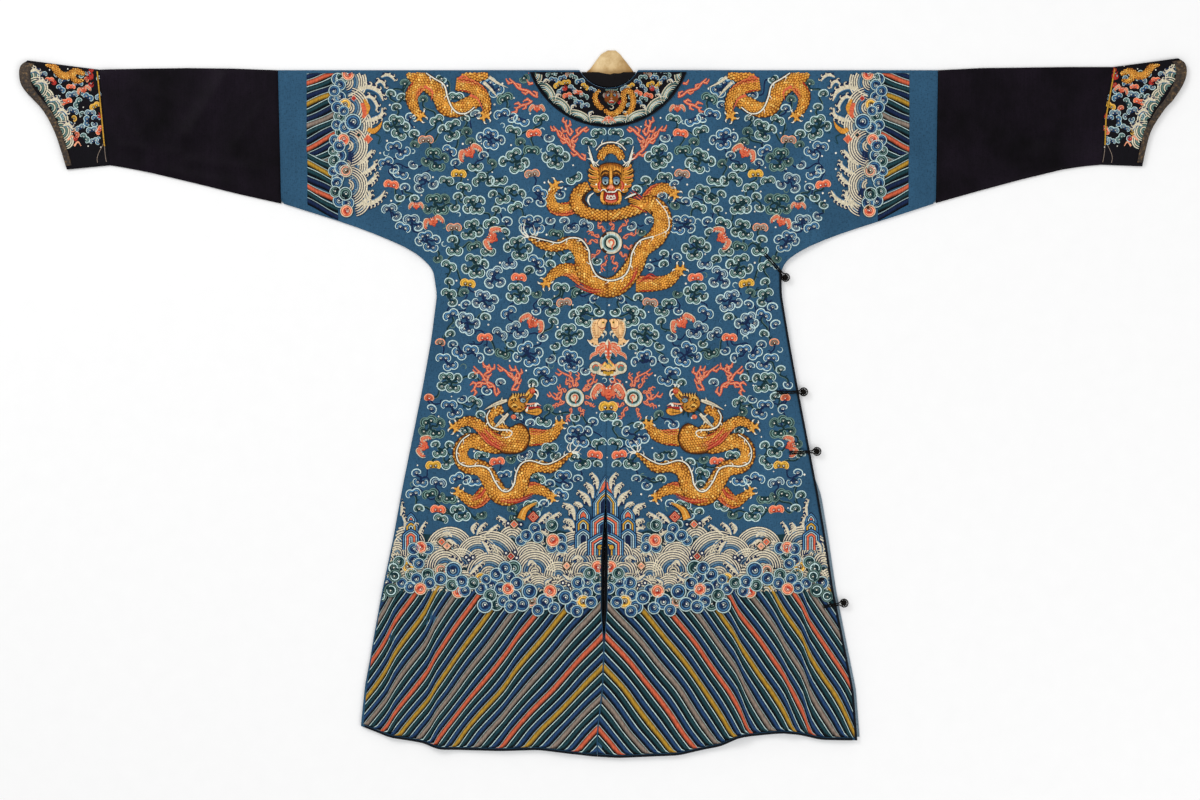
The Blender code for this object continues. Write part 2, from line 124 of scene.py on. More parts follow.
# finer creases between the large folds; those below zero are troughs
CREASES = (
    # x0, y0, x1, y1, height, reach
    (206, -372, 282, -640, -2.4, 9.0),
    (318, -400, 372, -640, -2.0, 9.0),
    (-338, -420, -334, -640, -1.8, 9.0),
    (404, -170, 408, -330, -1.6, 8.0),
    (-372, 360, -560, 440, 1.6, 10.0),
    (-350, 340, -420, 420, -1.2, 9.0),
    (-450, 372, -600, 402, 1.4, 9.0),
    (-560, 430, -606, 410, 1.2, 8.0),
    (-340, 268, -420, 340, 1.6, 9.0),
    (372, 318, 560, 420, 1.6, 10.0),
    (440, 372, 610, 404, 1.4, 9.0),
    (350, 268, 430, 330, 1.6, 9.0),
    (540, 500, 620, 488, 1.1, 8.0),
    (560, 450, 625, 470, 1.1, 8.0),
    (-300, 60, -330, -60, 1.0, 12.0),
    (330, 90, 350, -40, 1.2, 12.0),
    (60, 300, 50, 120, 0.8, 14.0),
    (-150, -480, -180, -640, 1.6, 16.0),
    (110, -500, 122, -640, 1.4, 16.0),
    (430, -420, 452, -620, 1.6, 12.0),
    (-430, -500, -448, -610, 1.6, 12.0),
)
SLEEVE_CREASES = (
    # x0, y0, x1, y1, height, reach
    (-918, 600, -876, 520, -1.6, 8.0),
    (-700, 600, -748, 520, -1.4, 8.0),
    (-640, 440, -780, 458, 1.8, 9.0),
    (-700, 414, -860, 446, 1.4, 8.0),
    (-800, 470, -905, 486, 1.3, 8.0),
    (-640, 560, -700, 470, 1.2, 9.0),
    (-880, 600, -790, 560, 1.1, 10.0),
    (650, 470, 800, 452, 1.6, 9.0),
    (700, 415, 880, 452, 1.5, 8.0),
    (780, 520, 930, 515, -1.3, 8.0),
    (660, 590, 720, 520, 1.2, 9.0),
    (860, 600, 930, 560, 1.2, 9.0),
    (640, 520, 690, 430, 1.1, 9.0),
)

SLEEVE_SHAPE = {
    # along, top_y, bottom_y
    "left": np.array((
        (0.0, 628, 377), (0.25, 631, 395), (0.5, 632, 415), (0.75, 631, 434),
        (0.9, 630, 444), (1.0, 629, 449)), float),
    "right": np.array((
        (0.0, 628, 378), (0.25, 632, 400), (0.5, 633, 421), (0.75, 634, 440),
        (0.88, 634, 447), (1.0, 634, 450)), float),
}
# x of each sleeve's seams: top and bottom at the body, top and bottom at the wrist
SLEEVE_SEAMS = {"left": (-611, -605, -947, -927), "right": (630, 626, 959, 938)}
# the wrist seam and the flared edge of each cuff, as points x, y from the top down
CUFF_WRIST = {
    "left": ((-947, 629), (-934, 491), (-927, 449)),
    "right": ((959, 634), (942, 540), (938, 450)),
}
CUFF_FLARE = {
    "left": (
        (-1081, 646), (-1094, 636), (-1097, 620), (-1093, 600), (-1080, 582),
        (-1053, 553), (-1032, 515), (-1019, 478), (-1008, 441)),
    "right": (
        (1081, 650), (1094, 640), (1097, 622), (1090, 600), (1072, 572),
        (1055, 553), (1031, 515), (1020, 477), (1014, 447)),
}
TRIM_FROM = 0.86
FLARE_CURL = 3.0

NECK_LINING = np.array((
    # y, left_x, right_x
    (602, -12, 34), (612, -25, 47), (622, -34, 59), (630, -24, 54), (645, -13, 42),
    (658, -3, 32), (665, 9, 24),
), float)
LINING_DENTS = (
    # x0, y0, x1, y1, height, reach
    (-6, 640, 12, 624, 1.3, 7), (44, 640, 30, 626, 1.2, 6), (14, 655, 16, 630, -0.8, 6),
)
NECK_BAND_TOP = 623.0
BINDING_WIDTH = 3.8          # as much of the solid's 6 mm as the stitches leave
BINDING_GAP = 0.55
LOOP_CORD_RADIUS = 1.5
BUTTON_RADIUS = 5.5
KNOT_CORD_RADIUS = 1.35
BUTTON_HEIGHT = 6.2
CLOSURES = (
    # tail_x, tail_y, button_x, button_y
    (305, 281, 343, 238),
    (326, 21, 377, 23),
    (350, -92, 402, -89),
    (414, -381, 453, -374),
)

# ---------------------------------------------------------------- form functions, on arrays


def ease(t):
    """From 0 to 1 with a soft start and end."""
    t = np.clip(t, 0.0, 1.0)
    return t * t * (3.0 - 2.0 * t)


def read(table, at, column):
    """One column of a table at some values of its first column, in straight runs."""
    order = np.argsort(table[:, 0])
    return np.interp(at, table[order, 0], table[order, column])


def ridges(folds, x, y):
    """The height that soft ridges and troughs add."""
    total = np.zeros(np.broadcast(x, y).shape)
    for x0, y0, x1, y1, height, reach in folds:
        run_x, run_y = x1 - x0, y1 - y0
        share = ((x - x0) * run_x + (y - y0) * run_y) / (run_x ** 2 + run_y ** 2)
        share = np.clip(share, 0.0, 1.0)
        away = (x - x0 - share * run_x) ** 2 + (y - y0 - share * run_y) ** 2
        total += height * np.exp(-away / reach ** 2)
    return total


def overlap_edge(x):
    """y of the overlap's edge, which bows from the neck down to the underarm."""
    underarm_x, underarm_y = OVERLAP_UNDERARM
    reach = np.maximum(0.0, x) / underarm_x
    return OVERLAP_NECK_Y - (OVERLAP_NECK_Y - underarm_y) * reach ** OVERLAP_BOW


def lift(x, y):
    """How far a layer is raised by the one more layer under it, as a share of one pitch."""
    left = 1.0 - ease((-x - PLATEAU) / LEFT_RAMP)
    near_centre = 1.0 - ease((x - PLATEAU) / LIFT_RAMP)
    over_panel = 1.0 - ease((y - overlap_edge(x) - LIFT_FLAT) / LIFT_RAMP)
    return np.where(x < 0.0, left, np.maximum(near_centre, over_panel))


def back_z(x, y):
    """The middle of the back's wall."""
    x, y = np.broadcast_arrays(np.asarray(x, float), np.asarray(y, float))
    return WALL / 2 + PITCH * (1.0 + lift(x, y)) + ridges(BACK_FOLDS + CREASES, x, y)


def front_z(side, x, y):
    """The middle of the front's layer; on the right the overlap may lie under it."""
    raised = PITCH * lift(x, y) if side == "right" else 0.0
    return WALL / 2 + raised + 0.0 * x


def sleeve_z(x, y):
    """The middle of a sleeve's upper layer."""
    folds = SLEEVE_FOLDS + BACK_FOLDS + SLEEVE_CREASES
    return np.maximum(WALL / 2 + PITCH, WALL / 2 + PITCH + ridges(folds, x, y))


def turned(degrees):
    """The unit vector at some degrees from +X."""
    angle = math.radians(degrees)
    return np.array((math.cos(angle), math.sin(angle)))


def times(size, *shares):
    """Shares of a size."""
    return [size * share for share in shares]


def to_left(ahead):
    """The unit vector a quarter turn to the left of another."""
    return np.array((-ahead[1], ahead[0]))


def headings(path):
    """The unit vectors ahead and to the left at each point of a path in plan."""
    ahead = np.gradient(path, axis=0)
    ahead /= np.maximum(1e-9, np.linalg.norm(ahead, axis=1, keepdims=True))
    return ahead, np.stack([-ahead[:, 1], ahead[:, 0]], axis=1)


def reach_along(points):
    """The length of a line of points up to each of them."""
    steps = np.linalg.norm(np.diff(points, axis=0), axis=1)
    return np.concatenate([[0.0], np.cumsum(steps)])


def neck_half_width(y):
    """Half the width of the neck opening at a height."""
    return np.sqrt(np.maximum(0.0, NECK_RADIUS ** 2 - (y - NECK_CENTRE[1]) ** 2))


def seam_x(side, y, gape=1.0):
    """The edge of a body half at the centre line, with the vent open or shut."""
    seam = read(CENTRE_SEAM, y, 1) + SIGN[side] * (gape * read(CENTRE_SEAM, y, 2) + VENT_LEAN)
    half = neck_half_width(y)
    return np.where(half > 0.0, NECK_CENTRE[0] + SIGN[side] * half, seam)


def outer_x(side, y):
    """The side edge of the back, with the table's corners rounded."""
    column = 2 if side == "right" else 1
    soft = np.where(y < 360.0, 7.0, 0.0)
    width = sum(share * read(BODY_OUTLINE, y + step * soft, column) for step, share in ((-1, 0.25), (0, 0.5),
                                                                                        (1, 0.25)))
    return SIGN[side] * width


def hem_y(x):
    """The hem's height, a little smoothed."""
    return sum(share * read(HEM_OUTLINE, x + step, 1) for step, share in ((-9, 0.25), (0, 0.5), (9, 0.25)))


def hem_bend(y):
    """How far a row takes the hem's shape: 0 where the rows are straight, 1 at the hem."""
    return ease((HEM_EASES_FROM - y) / (HEM_EASES_FROM - LAST_ROW))


def body_plan(side, share, y, front=False):
    """x and y of points of a body half, from shares of its width and heights up the robe."""
    inner = seam_x(side, y, gape=0.0 if front else 1.0)
    outer = outer_x(side, y)
    shorter = 0.0
    if front:
        outer = outer * (1.0 - FRONT_NARROWER * ease((200.0 - y) / 100.0))
        shorter = FRONT_SHORTER
    x = inner + share * (outer - inner)
    return x, y + hem_bend(y) * (hem_y(x) - LAST_ROW + shorter)


def turned_edge(x, y, inward_x, inward_y, upper_z, lower_z, steps=6):
    """Rings of points round a folded edge, from the upper layer to the lower one."""
    radius = (upper_z - lower_z) / 2
    middle_x = x + inward_x * (WALL / 2 + radius)
    middle_y = y + inward_y * (WALL / 2 + radius)
    rings = []
    for step in range(steps + 1):
        angle = math.pi * step / steps
        out = radius * math.sin(angle)
        rings.append(np.stack([middle_x - inward_x * out, middle_y - inward_y * out,
                               lower_z + radius * (1.0 + math.cos(angle))], axis=-1))
    return rings


def along(points, shares):
    """Points on a line of points at shares of its length."""
    points = np.asarray(points, float)
    reach = reach_along(points)
    at = np.asarray(shares) * reach[-1]
    return np.stack([np.interp(at, reach, points[:, 0]), np.interp(at, reach, points[:, 1])], axis=-1)


def smooth(points, per=6, closed=False):
    """A smooth curve through points in any number of dimensions."""
    points = np.asarray(points, float)
    if closed:
        points = np.concatenate([points[-1:], points, points[:2]])
    else:
        points = np.concatenate([2 * points[:1] - points[1:2], points, 2 * points[-1:] - points[-2:-1]])
    t = (np.arange(per) / per)[:, None]
    runs = []
    for a, b, c, d in zip(points, points[1:], points[2:], points[3:]):
        runs.append(0.5 * ((2 * b) + (c - a) * t + (2 * a - 5 * b + 4 * c - d) * t ** 2
                           + (3 * b - a - 3 * c + d) * t ** 3))
    line = np.concatenate(runs)
    return line if closed else np.concatenate([line, points[-2:-1]])


# ---------------------------------------------------------------- materials


def srgb(red, green, blue):
    """Linear colour from 0-255 screen values."""
    values = []
    for value in (red, green, blue):
        value /= 255.0
        values.append(value / 12.92 if value <= 0.04045 else ((value + 0.055) / 1.055) ** 2.4)
    return (*values, 1.0)


def mixed(colour, factor):
    """A colour made brighter or darker."""
    return (*(min(1.0, channel * factor) for channel in colour[:3]), 1.0)


class Nodes:
    """A material's node tree, with short ways to add what cloth needs."""

    def __init__(self, name):
        self.material = bpy.data.materials.new(name)
        self.material.use_nodes = True
        self.tree = self.material.node_tree
        self.shader = self.tree.nodes["Principled BSDF"]
        self.where = self.add("ShaderNodeTexCoord").outputs["Object"]

    def add(self, kind, **values):
        node = self.tree.nodes.new(kind)
        for key, value in values.items():
            setattr(node, key, value)
        return node

    def link(self, out, into):
        self.tree.links.new(out, into)

    def scaled(self, scale, turn=0.0):
        """Object coordinates stretched by a scale for each axis."""
        node = self.add("ShaderNodeMapping")
        node.inputs["Scale"].default_value = scale
        node.inputs["Rotation"].default_value = (0.0, 0.0, math.radians(turn))
        self.link(self.where, node.inputs["Vector"])
        return node.outputs["Vector"]

    def noise(self, vector, scale=1.0, detail=2.0, roughness=0.5):
        node = self.add("ShaderNodeTexNoise")
        node.inputs["Scale"].default_value = scale
        node.inputs["Detail"].default_value = detail
        node.inputs["Roughness"].default_value = roughness
        self.link(vector, node.inputs["Vector"])
        return node.outputs["Fac"]

    def ramp(self, factor, stops):
        """A colour ramp from (position, colour) stops."""
        node = self.add("ShaderNodeValToRGB")
        elements = node.color_ramp.elements
        while len(elements) < len(stops):
            elements.new(0.5)
        for element, (position, colour) in zip(elements, stops):
            element.position = position
            element.color = colour
        self.link(factor, node.inputs["Fac"])
        return node.outputs["Color"]

    def multiply(self, one, other, factor=1.0):
        node = self.add("ShaderNodeMix", data_type="RGBA", blend_type="MULTIPLY")
        node.inputs["Factor"].default_value = factor
        self.link(one, node.inputs["A"])
        self.link(other, node.inputs["B"])
        return node.outputs["Result"]

    def value(self, number):
        node = self.add("ShaderNodeValue")
        node.outputs["Value"].default_value = number
        return node.outputs["Value"]

    def blend(self, mask, under, over):
        """A colour laid over another where the mask is white."""
        node = self.add("ShaderNodeMix", data_type="RGBA")
        self.link(mask, node.inputs["Factor"])
        self.link(under, node.inputs["A"])
        node.inputs["B"].default_value = over
        return node.outputs["Result"]

    def add_values(self, one, other, weight=1.0):
        node = self.add("ShaderNodeMath", operation="MULTIPLY_ADD")
        self.link(other, node.inputs[0])
        node.inputs[1].default_value = weight
        self.link(one, node.inputs[2])
        return node.outputs["Value"]

    def bump(self, height, distance, strength=1.0):
        node = self.add("ShaderNodeBump")
        node.inputs["Distance"].default_value = distance
        node.inputs["Strength"].default_value = strength
        self.link(height, node.inputs["Height"])
        self.link(node.outputs["Normal"], self.shader.inputs["Normal"])

    def finish(self, colour, roughness, sheen=0.0, metallic=0.0, specular=0.5):
        self.link(colour, self.shader.inputs["Base Color"])
        self.shader.inputs["Roughness"].default_value = roughness
        self.shader.inputs["Metallic"].default_value = metallic
        self.shader.inputs["Specular IOR Level"].default_value = specular
        if sheen:
            self.shader.inputs["Sheen Weight"].default_value = sheen
            self.shader.inputs["Sheen Roughness"].default_value = 0.4
        return self.material


def silk(name, base, light=1.18, dark=0.82, roughness=0.55, warp=(620, 150, 1), streak=0.35, shine=0.06,
         facing=None):
    """Woven silk: a fine warp and weft, slubs along the threads, and uneven dye.

    A facing is a second colour, laid over the strip about the middle line."""
    nodes = Nodes(name)
    threads = nodes.noise(nodes.scaled(warp), 1.0, 2.0, 0.7)
    weft = nodes.noise(nodes.scaled((warp[1], warp[0], 1)), 1.0, 2.0, 0.7)
    slubs = nodes.noise(nodes.scaled((360, 14, 1)), 1.0, 3.0, 0.65)
    dye = nodes.noise(nodes.scaled((9, 7, 1)), 1.0, 4.0, 0.6)
    colour = nodes.ramp(dye, [(0.3, mixed(base, dark)), (0.7, mixed(base, light))])
    if facing:
        across = nodes.add("ShaderNodeSeparateXYZ")
        nodes.link(nodes.where, across.inputs["Vector"])
        mask = nodes.ramp(nodes.add_values(nodes.value(0.5), across.outputs["X"], 6.0), [
            (0.3, (0, 0, 0, 1)), (0.34, (1, 1, 1, 1)), (0.66, (1, 1, 1, 1)), (0.7, (0, 0, 0, 1))])
        colour = nodes.blend(mask, colour, facing)
    grain = nodes.ramp(nodes.add_values(threads, weft, 1.0), [(0.75, (0.62, 0.62, 0.62, 1)),
                                                              (1.25, (1.3, 1.3, 1.3, 1))])
    lines = nodes.ramp(slubs, [(0.3, (0.8, 0.8, 0.8, 1)), (0.7, (1.15, 1.15, 1.15, 1))])
    colour = nodes.multiply(nodes.multiply(colour, grain, 0.8), lines, streak)
    nodes.bump(nodes.add_values(threads, weft, 1.0), 0.0004, 0.5)
    return nodes.finish(colour, roughness, specular=shine)


def brocade():
    """Metal-thread ribbon: gold figures on brown, worn dark in places."""
    nodes = Nodes("brocade")
    figure = nodes.noise(nodes.scaled((150, 150, 1)), 1.0, 4.0, 0.7)
    wear = nodes.noise(nodes.scaled((24, 18, 1)), 1.0, 3.0, 0.6)
    grain = nodes.noise(nodes.scaled((900, 900, 1)), 1.0, 2.0, 0.6)
    colour = nodes.ramp(figure, [(0.42, srgb(34, 25, 18)), (0.55, srgb(70, 53, 34)),
                                 (0.7, srgb(136, 106, 64))])
    worn = nodes.ramp(wear, [(0.35, (0.45, 0.42, 0.4, 1)), (0.6, (1.0, 1.0, 1.0, 1))])
    colour = nodes.multiply(colour, worn, 0.8)
    nodes.bump(grain, 0.0006, 0.7)
    return nodes.finish(colour, 0.5, metallic=0.25)


def flap_silk():
    """The lining's neck: pale at its middle and browner beside it, which is painted shade of the pouch, and
    browner along the base.
    """
    nodes = Nodes("cream_lining")
    place = nodes.add("ShaderNodeSeparateXYZ")
    nodes.link(nodes.where, place.inputs["Vector"])
    shift = nodes.add_values(place.outputs["X"], nodes.noise(nodes.scaled((60, 30, 1)), 1.0, 3.0, 0.5), 0.012)
    across = nodes.add_values(nodes.value(0.5), shift, 5.0)
    # painted shade: the tongue's sides are browner than its pale, pouched middle
    colour = nodes.ramp(across, [(0.24, srgb(178, 138, 84)), (0.42, srgb(196, 160, 108)),
                                 (0.47, srgb(230, 204, 158)), (0.66, srgb(218, 190, 142)),
                                 (0.8, srgb(172, 134, 82))])
    # darker towards the base
    rise = nodes.add_values(nodes.value(-15.5), place.outputs["Y"], 25.0)
    base = nodes.ramp(rise, [(0.1, (0.5, 0.42, 0.32, 1)), (0.3, (0.92, 0.88, 0.82, 1)), (0.45, (1, 1, 1, 1))])
    stain = nodes.ramp(nodes.noise(nodes.scaled((46, 46, 1)), 1.0, 4.0, 0.6), [(0.36, (0.72, 0.64, 0.52, 1)),
                                                                               (0.56, (1.0, 1.0, 1.0, 1))])
    colour = nodes.multiply(nodes.multiply(colour, base, 0.9), stain, 0.85)
    nodes.bump(nodes.noise(nodes.scaled((420, 420, 1)), 1.0, 2.0, 0.6), 0.0003, 0.4)
    return nodes.finish(colour, 0.7, specular=0.1)


def satin_thread(name, base, spread=0.2, roughness=0.45, metallic=0.0):
    """Embroidery silk: strands across each shape, with shade from strand to strand."""
    nodes = Nodes(name)
    lie = nodes.add("ShaderNodeUVMap", uv_map="stitch").outputs["UV"]
    across = nodes.add("ShaderNodeMapping")
    across.inputs["Scale"].default_value = (430.0, 70.0, 1.0)
    nodes.link(lie, across.inputs["Vector"])
    stitches = nodes.noise(across.outputs["Vector"], 1.0, 3.0, 0.65)
    patches = nodes.noise(nodes.scaled((120, 120, 1)), 1.0, 3.0, 0.6)
    colour = nodes.ramp(patches, [(0.25, mixed(base, 1.0 - spread)), (0.5, base),
                                  (0.78, mixed(base, 1.0 + spread))])
    grain = nodes.ramp(stitches, [(0.32, (0.34, 0.34, 0.34, 1)), (0.66, (1.42, 1.42, 1.42, 1))])
    colour = nodes.multiply(colour, grain, 0.7)
    # the tone attribute scales each shape's colour: its own dye, and painted shade and highlights where the
    # drawing darkens or lightens a shape
    dye = nodes.add("ShaderNodeAttribute", attribute_name="tone").outputs["Fac"]
    toned = nodes.add("ShaderNodeVectorMath", operation="SCALE")
    nodes.link(colour, toned.inputs[0])
    nodes.link(dye, toned.inputs["Scale"])
    nodes.bump(stitches, 0.0005, 0.8)
    return nodes.finish(toned.outputs["Vector"], roughness, metallic=metallic, specular=0.07)


THREAD_COLOURS = {
    # name: screen colour
    "white": (232, 228, 212),
    "cream": (214, 203, 176),
    "pale": (184, 208, 206),
    "sage": (98, 126, 118),
    "sky": (64, 108, 142),
    "blue": (38, 70, 112),
    "navy": (22, 38, 72),
    "pine": (20, 48, 54),
    "black": (14, 18, 26),
    "coral": (214, 102, 70),
    "blush": (236, 160, 124),
    "ruby": (168, 48, 40),
    "gold": (212, 144, 56),
    "amber": (172, 98, 34),
    "umber": (62, 36, 18),
    "ochre": (196, 150, 52),
    "peach": (234, 188, 134),
    "taupe": (140, 124, 112),
    "straw": (236, 186, 96),
    "teal": (26, 62, 66),
    "slate": (118, 140, 150),
}


def thread_material(name):
    """The one material of a thread, made where it is first asked for."""
    found = bpy.data.materials.get(f"thread_{name}")
    return found or satin_thread(f"thread_{name}", srgb(*THREAD_COLOURS[name]))


# ---------------------------------------------------------------- meshes


def mesh_object(name, points, faces, material, smooth_shade=True):
    """An object from points in millimetres."""
    data = bpy.data.meshes.new(name)
    data.from_pydata([tuple(point) for point in np.asarray(points) * MM], [], faces)
    data.materials.append(material)
    if smooth_shade:
        data.shade_smooth()
    item = bpy.data.objects.new(name, data)
    bpy.context.scene.collection.objects.link(item)
    return item


def grid_faces(columns, rows, closed=False):
    """Quads of a grid of columns of points; a closed grid joins each column's ends."""
    faces = []
    last = rows if closed else rows - 1
    for i in range(columns - 1):
        for j in range(last):
            k = (j + 1) % rows
            faces.append((i * rows + j, (i + 1) * rows + j, (i + 1) * rows + k, i * rows + k))
    return faces


def face_out(item, down=False):
    """Turns a piece's faces out of it, or the faces of a flat piece up or down."""
    mesh = bmesh.new()
    mesh.from_mesh(item.data)
    bmesh.ops.recalc_face_normals(mesh, faces=mesh.faces)
    if down and sum(face.normal.z for face in mesh.faces) > 0:
        bmesh.ops.reverse_faces(mesh, faces=mesh.faces)
    mesh.to_mesh(item.data)
    mesh.free()


def cloth(name, grid, material, wall=WALL, closed=False, lining=None, down=False):
    """A panel from an array of columns of points on the middle of its wall."""
    columns, rows = grid.shape[:2]
    item = mesh_object(name, grid.reshape(-1, 3), grid_faces(columns, rows, closed), material)
    face_out(item, down)
    solid = item.modifiers.new("wall", "SOLIDIFY")
    solid.thickness = wall * MM
    solid.offset = 0.0
    solid.use_even_offset = not closed
    if lining:
        item.data.materials.append(lining)
        solid.material_offset = 1
    return item


def own(piece, nodes):
    """A piece that rides on the robe and stands for solids of it."""
    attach(piece, "root")
    if nodes:
        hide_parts(*nodes)
    return piece


def body_piece(side, material, lining):
    """A body half: one cloth from the back hem over the shoulder fold to the front hem."""
    shares = np.linspace(0.0, 1.0, 84)[:, None]
    neck = np.array([624.5, 620, 616, 612, 607, 603, 600, 597.5, 596, 595, 594])
    rows = np.concatenate([neck, np.linspace(586, -628, 140)])
    x, y = body_plan(side, shares, rows[None, :])
    back = np.stack([x, y, back_z(x, y)], axis=-1)
    armpit = np.linspace(380, 200, 16)
    front_rows = np.concatenate([neck[::2], np.linspace(586, 420, 5), armpit, np.linspace(160, -628, 18)])
    x, y = body_plan(side, shares, front_rows[None, :], front=True)
    front = np.stack([x, y, front_z(side, x, y)], axis=-1)
    top_x, top_y = body_plan(side, shares[:, 0], np.full(len(shares), SHOULDER_Y))
    rings = turned_edge(top_x, top_y, 0.0, -1.0, back_z(top_x, top_y), front_z(side, top_x, top_y))
    grid = np.concatenate([back[:, ::-1], np.stack(rings, axis=1), front], axis=1)
    return own(cloth(f"cloth_body_{side}", grid, material, lining=lining), [f"body_{side}"])


def overlap_piece(material, lining):
    """The outer right front, from the neck to the right side under the arm."""
    shares = np.linspace(0.0, 1.0, 40)[:, None]
    low = np.linspace(-628, 252, 60)[None, :]
    x, y = body_plan("right", shares, low, front=True)
    x = x + shares * OVERLAP_PEEK * ease((-100.0 - low) / 80.0)
    lower = np.stack([x, y, np.full_like(x, WALL / 2)], axis=-1)
    up = np.linspace(0.05, 1.0, 20)[None, :]
    top_y = overlap_edge(shares * OVERLAP_UNDERARM[0])
    row_y = 252.0 + up * (OVERLAP_NECK_Y - 252.0)
    inner = seam_x("right", np.minimum(row_y, 593.0), gape=0.0)
    x = inner + shares * (OVERLAP_UNDERARM[0] - inner)
    y = 252.0 + up * (top_y - 252.0)
    upper = np.stack([x, y, np.full_like(x, WALL / 2)], axis=-1)
    grid = np.concatenate([lower, upper], axis=1)
    panel = cloth("cloth_front_overlap", grid, material, lining=lining, down=True)
    return own(panel, ["front_overlap"])


def tube_ring(line, height, count):
    """One closed ring of a flattened tube, from a line in plan that runs down across it."""
    down = (line[1] - line[0]) / np.linalg.norm(line[1] - line[0])
    up = (line[-2] - line[-1]) / np.linalg.norm(line[-2] - line[-1])
    low = WALL / 2
    ends = []
    for point, inward in ((line[0], down), (line[-1], up)):
        z = float(height(point[0], point[1]))
        ends.append(np.stack(turned_edge(point[0], point[1], inward[0], inward[1], z, low)))
    between = along(line, np.linspace(0.03, 0.97, count))
    upper = np.column_stack([between, height(between[:, 0], between[:, 1])])
    lower = np.column_stack([between, np.full(len(between), low)])
    return np.concatenate([upper, ends[1], lower[::-1], ends[0][::-1]])


def sleeve_piece(side, material):
    """A dark sleeve extension: a flattened tube from the body to the wrist."""
    body_top, body_bottom, wrist_top, wrist_bottom = SLEEVE_SEAMS[side]
    sign = SIGN[side]
    rings = []
    for share in np.linspace(0.0, 1.0, 56):
        shift = sign * SEAM_GAP * (1.0 - 2.0 * share)
        top_x = body_top + share * (wrist_top - body_top) + shift
        bottom_x = body_bottom + share * (wrist_bottom - body_bottom) + shift
        top = (top_x, read(SLEEVE_SHAPE[side], share, 1))
        bottom = (bottom_x, read(SLEEVE_SHAPE[side], share, 2))
        straight = np.linspace(top, bottom, 40)
        wrist = along(CUFF_WRIST[side], np.linspace(0, 1, 40)) - np.array([sign * SEAM_GAP, 0.0])
        bend = ease((share - 0.8) / 0.2)
        rings.append(tube_ring(straight * (1 - bend) + wrist * bend, sleeve_z, 38))
    sleeve = cloth(f"cloth_sleeve_{side}", np.stack(rings), material, closed=True)
    return own(sleeve, [f"sleeve_{side}"])


def cuff_plan(side, out, down):
    """Points of a cuff in plan: out from the wrist seam, and down from the upper edge."""
    wrist = along(CUFF_WRIST[side], down)
    flare = along(smooth(CUFF_FLARE[side], 5), down)
    return wrist * (1 - out) + flare * out


def cuff_z(side):
    """The height function of a cuff, which curls up towards its flared edge."""
    def height(x, y):
        return sleeve_z(x, y) + FLARE_CURL * ease((SIGN[side] * x - 945.0) / 120.0)

    return height


def cuff_piece(side, material):
    """A horse-hoof cuff: a flattened tube that flares."""
    down = np.linspace(0.0, 1.0, 60)
    rings = [tube_ring(cuff_plan(side, out, down), cuff_z(side), 44) for out in np.linspace(0.0, 1.0, 26)]
    cuff = cloth(f"cloth_cuff_{side}", np.stack(rings), material, closed=True)
    return own(cuff, [f"cuff_{side}"])


def trim_piece(side, material):
    """The brocade ribbon along the flared edge, with woven ribs across it."""
    height = cuff_z(side)
    above = WALL / 2 + SEAM_GAP + TRIM_WALL / 2
    down = np.linspace(0.03, 0.97, 110)
    lines = []
    for part in np.linspace(0.0, 1.0, 9):
        plan = cuff_plan(side, TRIM_FROM + (1.0 - TRIM_FROM) * part, down)
        rib = 0.35 * np.sin(part * math.pi) + 0.22 * np.sin(down * 190.0) * np.sin(part * math.pi)
        lines.append(np.column_stack([plan, height(plan[:, 0], plan[:, 1]) + above + rib]))
    ribbon = cloth(f"cloth_cuff_trim_{side}", np.stack(lines), material, wall=TRIM_WALL)
    return own(ribbon, [f"cuff_trim_{side}"])


def ring_point(centre, radius, angle):
    """A point of a circle; an angle of 0 is straight down."""
    return np.stack([centre[0] + radius * np.sin(angle), centre[1] - radius * np.cos(angle)], axis=-1)


def half_angle(centre, radius, y):
    """The angle from straight down at which a circle comes up to a height."""
    return math.acos((centre[1] - y) / radius)


def collar_piece(material):
    """The facing round the neck, on the back."""
    above = WALL / 2 + SEAM_GAP + TRIM_WALL / 2
    swing = np.linspace(-1.0, 1.0, 90)
    radius = NECK_RADIUS + NECK_CLEARANCE
    inner = ring_point(NECK_CENTRE, radius, swing * half_angle(NECK_CENTRE, radius, COLLAR_TOP))
    outer_half = half_angle(COLLAR_CENTRE, COLLAR_RADIUS, COLLAR_TOP)
    outer = ring_point(COLLAR_CENTRE, COLLAR_RADIUS, swing * outer_half)
    part = np.linspace(0.0, 1.0, 18)[None, :, None]
    plan = inner[:, None] * (1 - part) + outer[:, None] * part
    z = back_z(plan[..., 0], plan[..., 1]) + above
    grid = np.concatenate([plan, z[..., None]], axis=-1)
    return own(cloth("cloth_collar_facing", grid, material, wall=TRIM_WALL), ["collar_facing"])


def band_piece(material):
    """The black satin band inside the neck."""
    radius = NECK_RADIUS - NECK_CLEARANCE
    swing = np.linspace(-1.0, 1.0, 40)
    low = ring_point(NECK_CENTRE, radius, swing * half_angle(NECK_CENTRE, radius, NECK_BAND_TOP))
    dip = 3.0 * np.exp(-((swing - 0.06) / 0.05) ** 2)
    high = np.stack([NECK_CENTRE[0] + swing * (NECK_RADIUS - 11.0), NECK_BAND_TOP + 1.0 - dip], axis=-1)
    part = np.linspace(0.0, 1.0, 10)[None, :, None]
    plan = low[:, None] * (1 - part) + high[:, None] * part
    z = WALL + SEAM_GAP + WALL / 2 + 1.6 * np.sin(part[..., 0] * math.pi) * np.cos(swing * 1.4)[:, None]
    grid = np.concatenate([plan, z[..., None]], axis=-1)
    return own(cloth("cloth_neck_band", grid, material), ["neck_band"])


